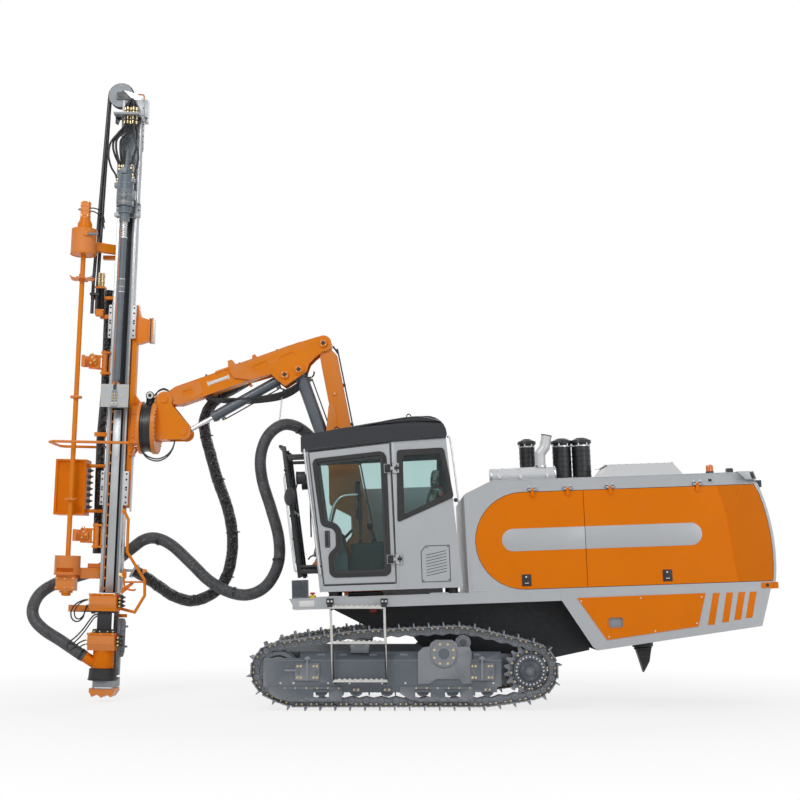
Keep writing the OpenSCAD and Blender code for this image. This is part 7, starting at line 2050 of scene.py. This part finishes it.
class RIG_OT_foot(bpy.types.Operator):
    """Makes the clamp covers' bolts, valves, hoses, neck plates and the dust hood's bands"""
    bl_idname = "rig.foot"
    bl_label = "Drill Foot"

    def execute(self, context):
        cover = Form(FEED)
        for z in (-213, -679):
            cover.box((-178, -438, z + 184), (158, -404, z + 208), 5)
            cover.plate([(-176, z), (-166, z), (-166, z + 206), (-176, z + 206)], -396, -262, bevel=3)
            cover.plate([(146, z), (156, z), (156, z + 206), (146, z + 206)], -396, -262, bevel=3)
        cover.lathe((0, ROD_Y, -700), (0, 0, -1), [(110, 0), (127, 6), (127, 18), (120, 22)], 44)
        cover.lathe((176, -100, -290), UP, [(48, 0), (54, 4), (54, 36), (48, 40)], 28)
        cover.done("clamp_cover_edges", "orange_paint", "feed", "orange_paint")
        rub = Form(FEED)
        rub.lathe((0, ROD_Y, -906), UP, [(128, -2), (142, 0), (142, 16), (128, 18)], 48)
        rub.lathe((0, ROD_Y, -1030), UP, [(171, -2), (177, 2), (177, 12), (170, 16)], 48)
        rub.lathe((0, ROD_Y, -912), UP, [(156, -2), (166, 0), (164, 12), (130, 14)], 48)
        rub.done("dust_hood_bands", "rubber", "feed", "rubber")
        neck = Form(FEED)
        for z in (-470, -236):
            neck.box((-138, -330, z), (138, -318, z + 26), 4)
        neck.box((-82, -346, -440), (82, -336, -236), 6)
        neck.box((-178, -262, -250), (-134, -200, -60), 6)
        neck.done("clamp_neck", "black_paint", "feed", "dark_paint")
        bolts("clamp_bolts", FEED, [(x, -330, -457, 15, FRONT) for x in (-112, -46, 46, 112)]
              + [(x, -438, z + 196, 11, FRONT) for z in (-213, -679) for x in (-150, -10, 130)], "feed",
              "zinc_bolt")
        plates = Form(FEED)
        plates.plate([(160, -300), (214, -300), (232, -340), (232, -700), (214, -760), (160, -760)], -176,
                     -164, bevel=3)
        for k in range(6):
            plates.box((168, -186, -728 + 70 * k), (226, -174, -696 + 70 * k), 4)
        for z in (-396, -636):
            plates.rod((200, -170, z), (262, -170, z), 13, 14, 3)
        plates.box((146, -210, -980), (176, -100, -300), 6)
        plates.done("clamp_side_plates", "undercarriage_paint", "feed", "grey_paint")
        valve = Form(FEED)
        for z in (-190, -655):
            valve.box((158, -350, z + 20), (206, -262, z + 176), 7)
            for k in range(3):
                valve.lathe((206, -306, z + 44 + 50 * k), (1, 0, 0),
                            [(18, 0), (18, 16), (11, 18), (11, 34), (0, 35)], 12)
        valve.done("clamp_valves", "black_paint", "feed", "dark_paint")
        unions("clamp_valve_unions", [(182, -352, z + 40 + 44 * k, 13, 24, FRONT) for z in (-190,
                -655) for k in range(3)],
               "feed", "brass")
        red = Form(FEED)
        for z in (-190, -655):
            red.lathe((166, -352, z + 150), FRONT, [(12, 0), (12, 12), (0, 14)], 12)
        red.done("clamp_caps", "red_plastic", "feed", "plastic")
        unions("clamp_unions", [(-176, y, z, 13, 30, BACK) for y in (-340, -300) for z in (-80, -140, -560,
                -610)], "feed")
        jumper("clamp_hose_1", FEED, [(-174, -340, -80), (-212, -341, -80), (-270, -346, -94),
                                      (-350, -350, -140),
                                      (-398, -350, -226), (-382, -350, -312), (-320, -350, -344),
                                      (-256, -348, -300),
                                      (-232, -345, -210), (-212, -341, -150), (-174, -340, -140)], 9, "feed")
        jumper("clamp_hose_2", FEED, [(-174, -300, -80), (-212, -302, -84), (-270, -320, -106),
                                      (-330, -330, -156),
                                      (-362, -330, -230), (-346, -330, -296), (-300, -330, -312),
                                      (-254, -326, -270),
                                      (-232, -310, -200), (-212, -302, -152), (-174, -300, -140)], 8, "feed")
        jumper("clamp_hose_3", FEED, [(-84, -310, -250), (-128, -344, -270), (-180, -356, -340),
                                      (-240, -358, -430),
                                      (-320, -354, -520), (-390, -350, -580), (-424, -346, -640),
                                      (-396, -344, -680),
                                      (-346, -342, -660), (-290, -340, -600), (-214, -340, -562),
                                      (-174, -340, -560)],
               9, "feed")
        jumper("clamp_hose_4", FEED, [(-84, -296, -270), (-122, -330, -300), (-170, -350, -376),
                                      (-226, -350, -460),
                                      (-290, -344, -540), (-350, -330, -600), (-376, -318, -650),
                                      (-350, -312, -690),
                                      (-306, -308, -672), (-260, -304, -630), (-214, -302, -612),
                                      (-174, -300, -610)],
               8, "feed")
        guard = Form(FEED)
        guard.tube([(188, -152, 137), (300, -152, 140), (426, -152, 142)], 12, 10, 2)
        guard.tube([(182, -152, 300), (182, -152, 130), (210, -152, 62), (290, -152, 40), (330, -152, 50)],
                   12, 10, 4)
        guard.plate([(406, 236), (456, 276), (448, 298), (396, 300)], -146, -130, bevel=3)
        guard.plate([(150, -20), (300, 120), (270, 136), (150, 60)], -128, -120, bevel=2)
        guard.box((140, -150, 180), (206, -122, 260), 8)
        guard.done("tube_guard_fittings", "boom_paint", "feed", "orange_paint")
        unions("guard_valve", [(132, -140, 214, 20, 44, (0.1, -0.6, 0.2)),
                               (150, -160, 190, 16, 40, (0.3, -0.7, 0.3))], "feed",
               "brass")
        arch = Form(FEED)
        arch.plate([(-70, -1122), (150, -1122), (150, -1108), (-70, -1108)], -402, -398, bevel=1.5)
        arch.done("foot_edge", "bright_steel", "feed", "bright_steel")
        return {"FINISHED"}


OPERATORS = (RIG_OT_stage, RIG_OT_finishes, RIG_OT_hoses, RIG_OT_tracks, RIG_OT_steps, RIG_OT_hood,
             RIG_OT_cab, RIG_OT_deck, RIG_OT_boom, RIG_OT_slew, RIG_OT_mast, RIG_OT_drifter,
             RIG_OT_feed_hoses, RIG_OT_magazine, RIG_OT_foot)


# Panel and registration

class RIG_PT_panel(bpy.types.Panel):
    """Lists the rig's sizes, colours and steps"""
    bl_idname = "RIG_PT_panel"
    bl_label = "Drilling Rig"
    bl_space_type = "VIEW_3D"
    bl_region_type = "UI"
    bl_category = "Drilling Rig"

    def draw(self, context):
        for group in (context.scene.rig_look, context.scene.rig_sizes):
            box = self.layout.box()
            for key in group.__annotations__:
                box.prop(group, key)
        for step in STEPS:
            self.layout.operator(step.bl_idname)


STEPS = OPERATORS
CLASSES = (RigLook, RigSizes) + STEPS + (RIG_PT_panel,)


def register():
    for item in CLASSES:
        bpy.utils.register_class(item)
    bpy.types.Scene.rig_look = PointerProperty(type=RigLook)
    bpy.types.Scene.rig_sizes = PointerProperty(type=RigSizes)


def unregister():
    del bpy.types.Scene.rig_sizes
    del bpy.types.Scene.rig_look
    for item in reversed(CLASSES):
        bpy.utils.unregister_class(item)


def main():
    register()
    for step in STEPS:
        group, name = step.bl_idname.split(".")
        if getattr(getattr(bpy.ops, group), name)() != {"FINISHED"}:
            raise RuntimeError(step.bl_label + " did not finish")


if __name__ == "__main__":
    main()
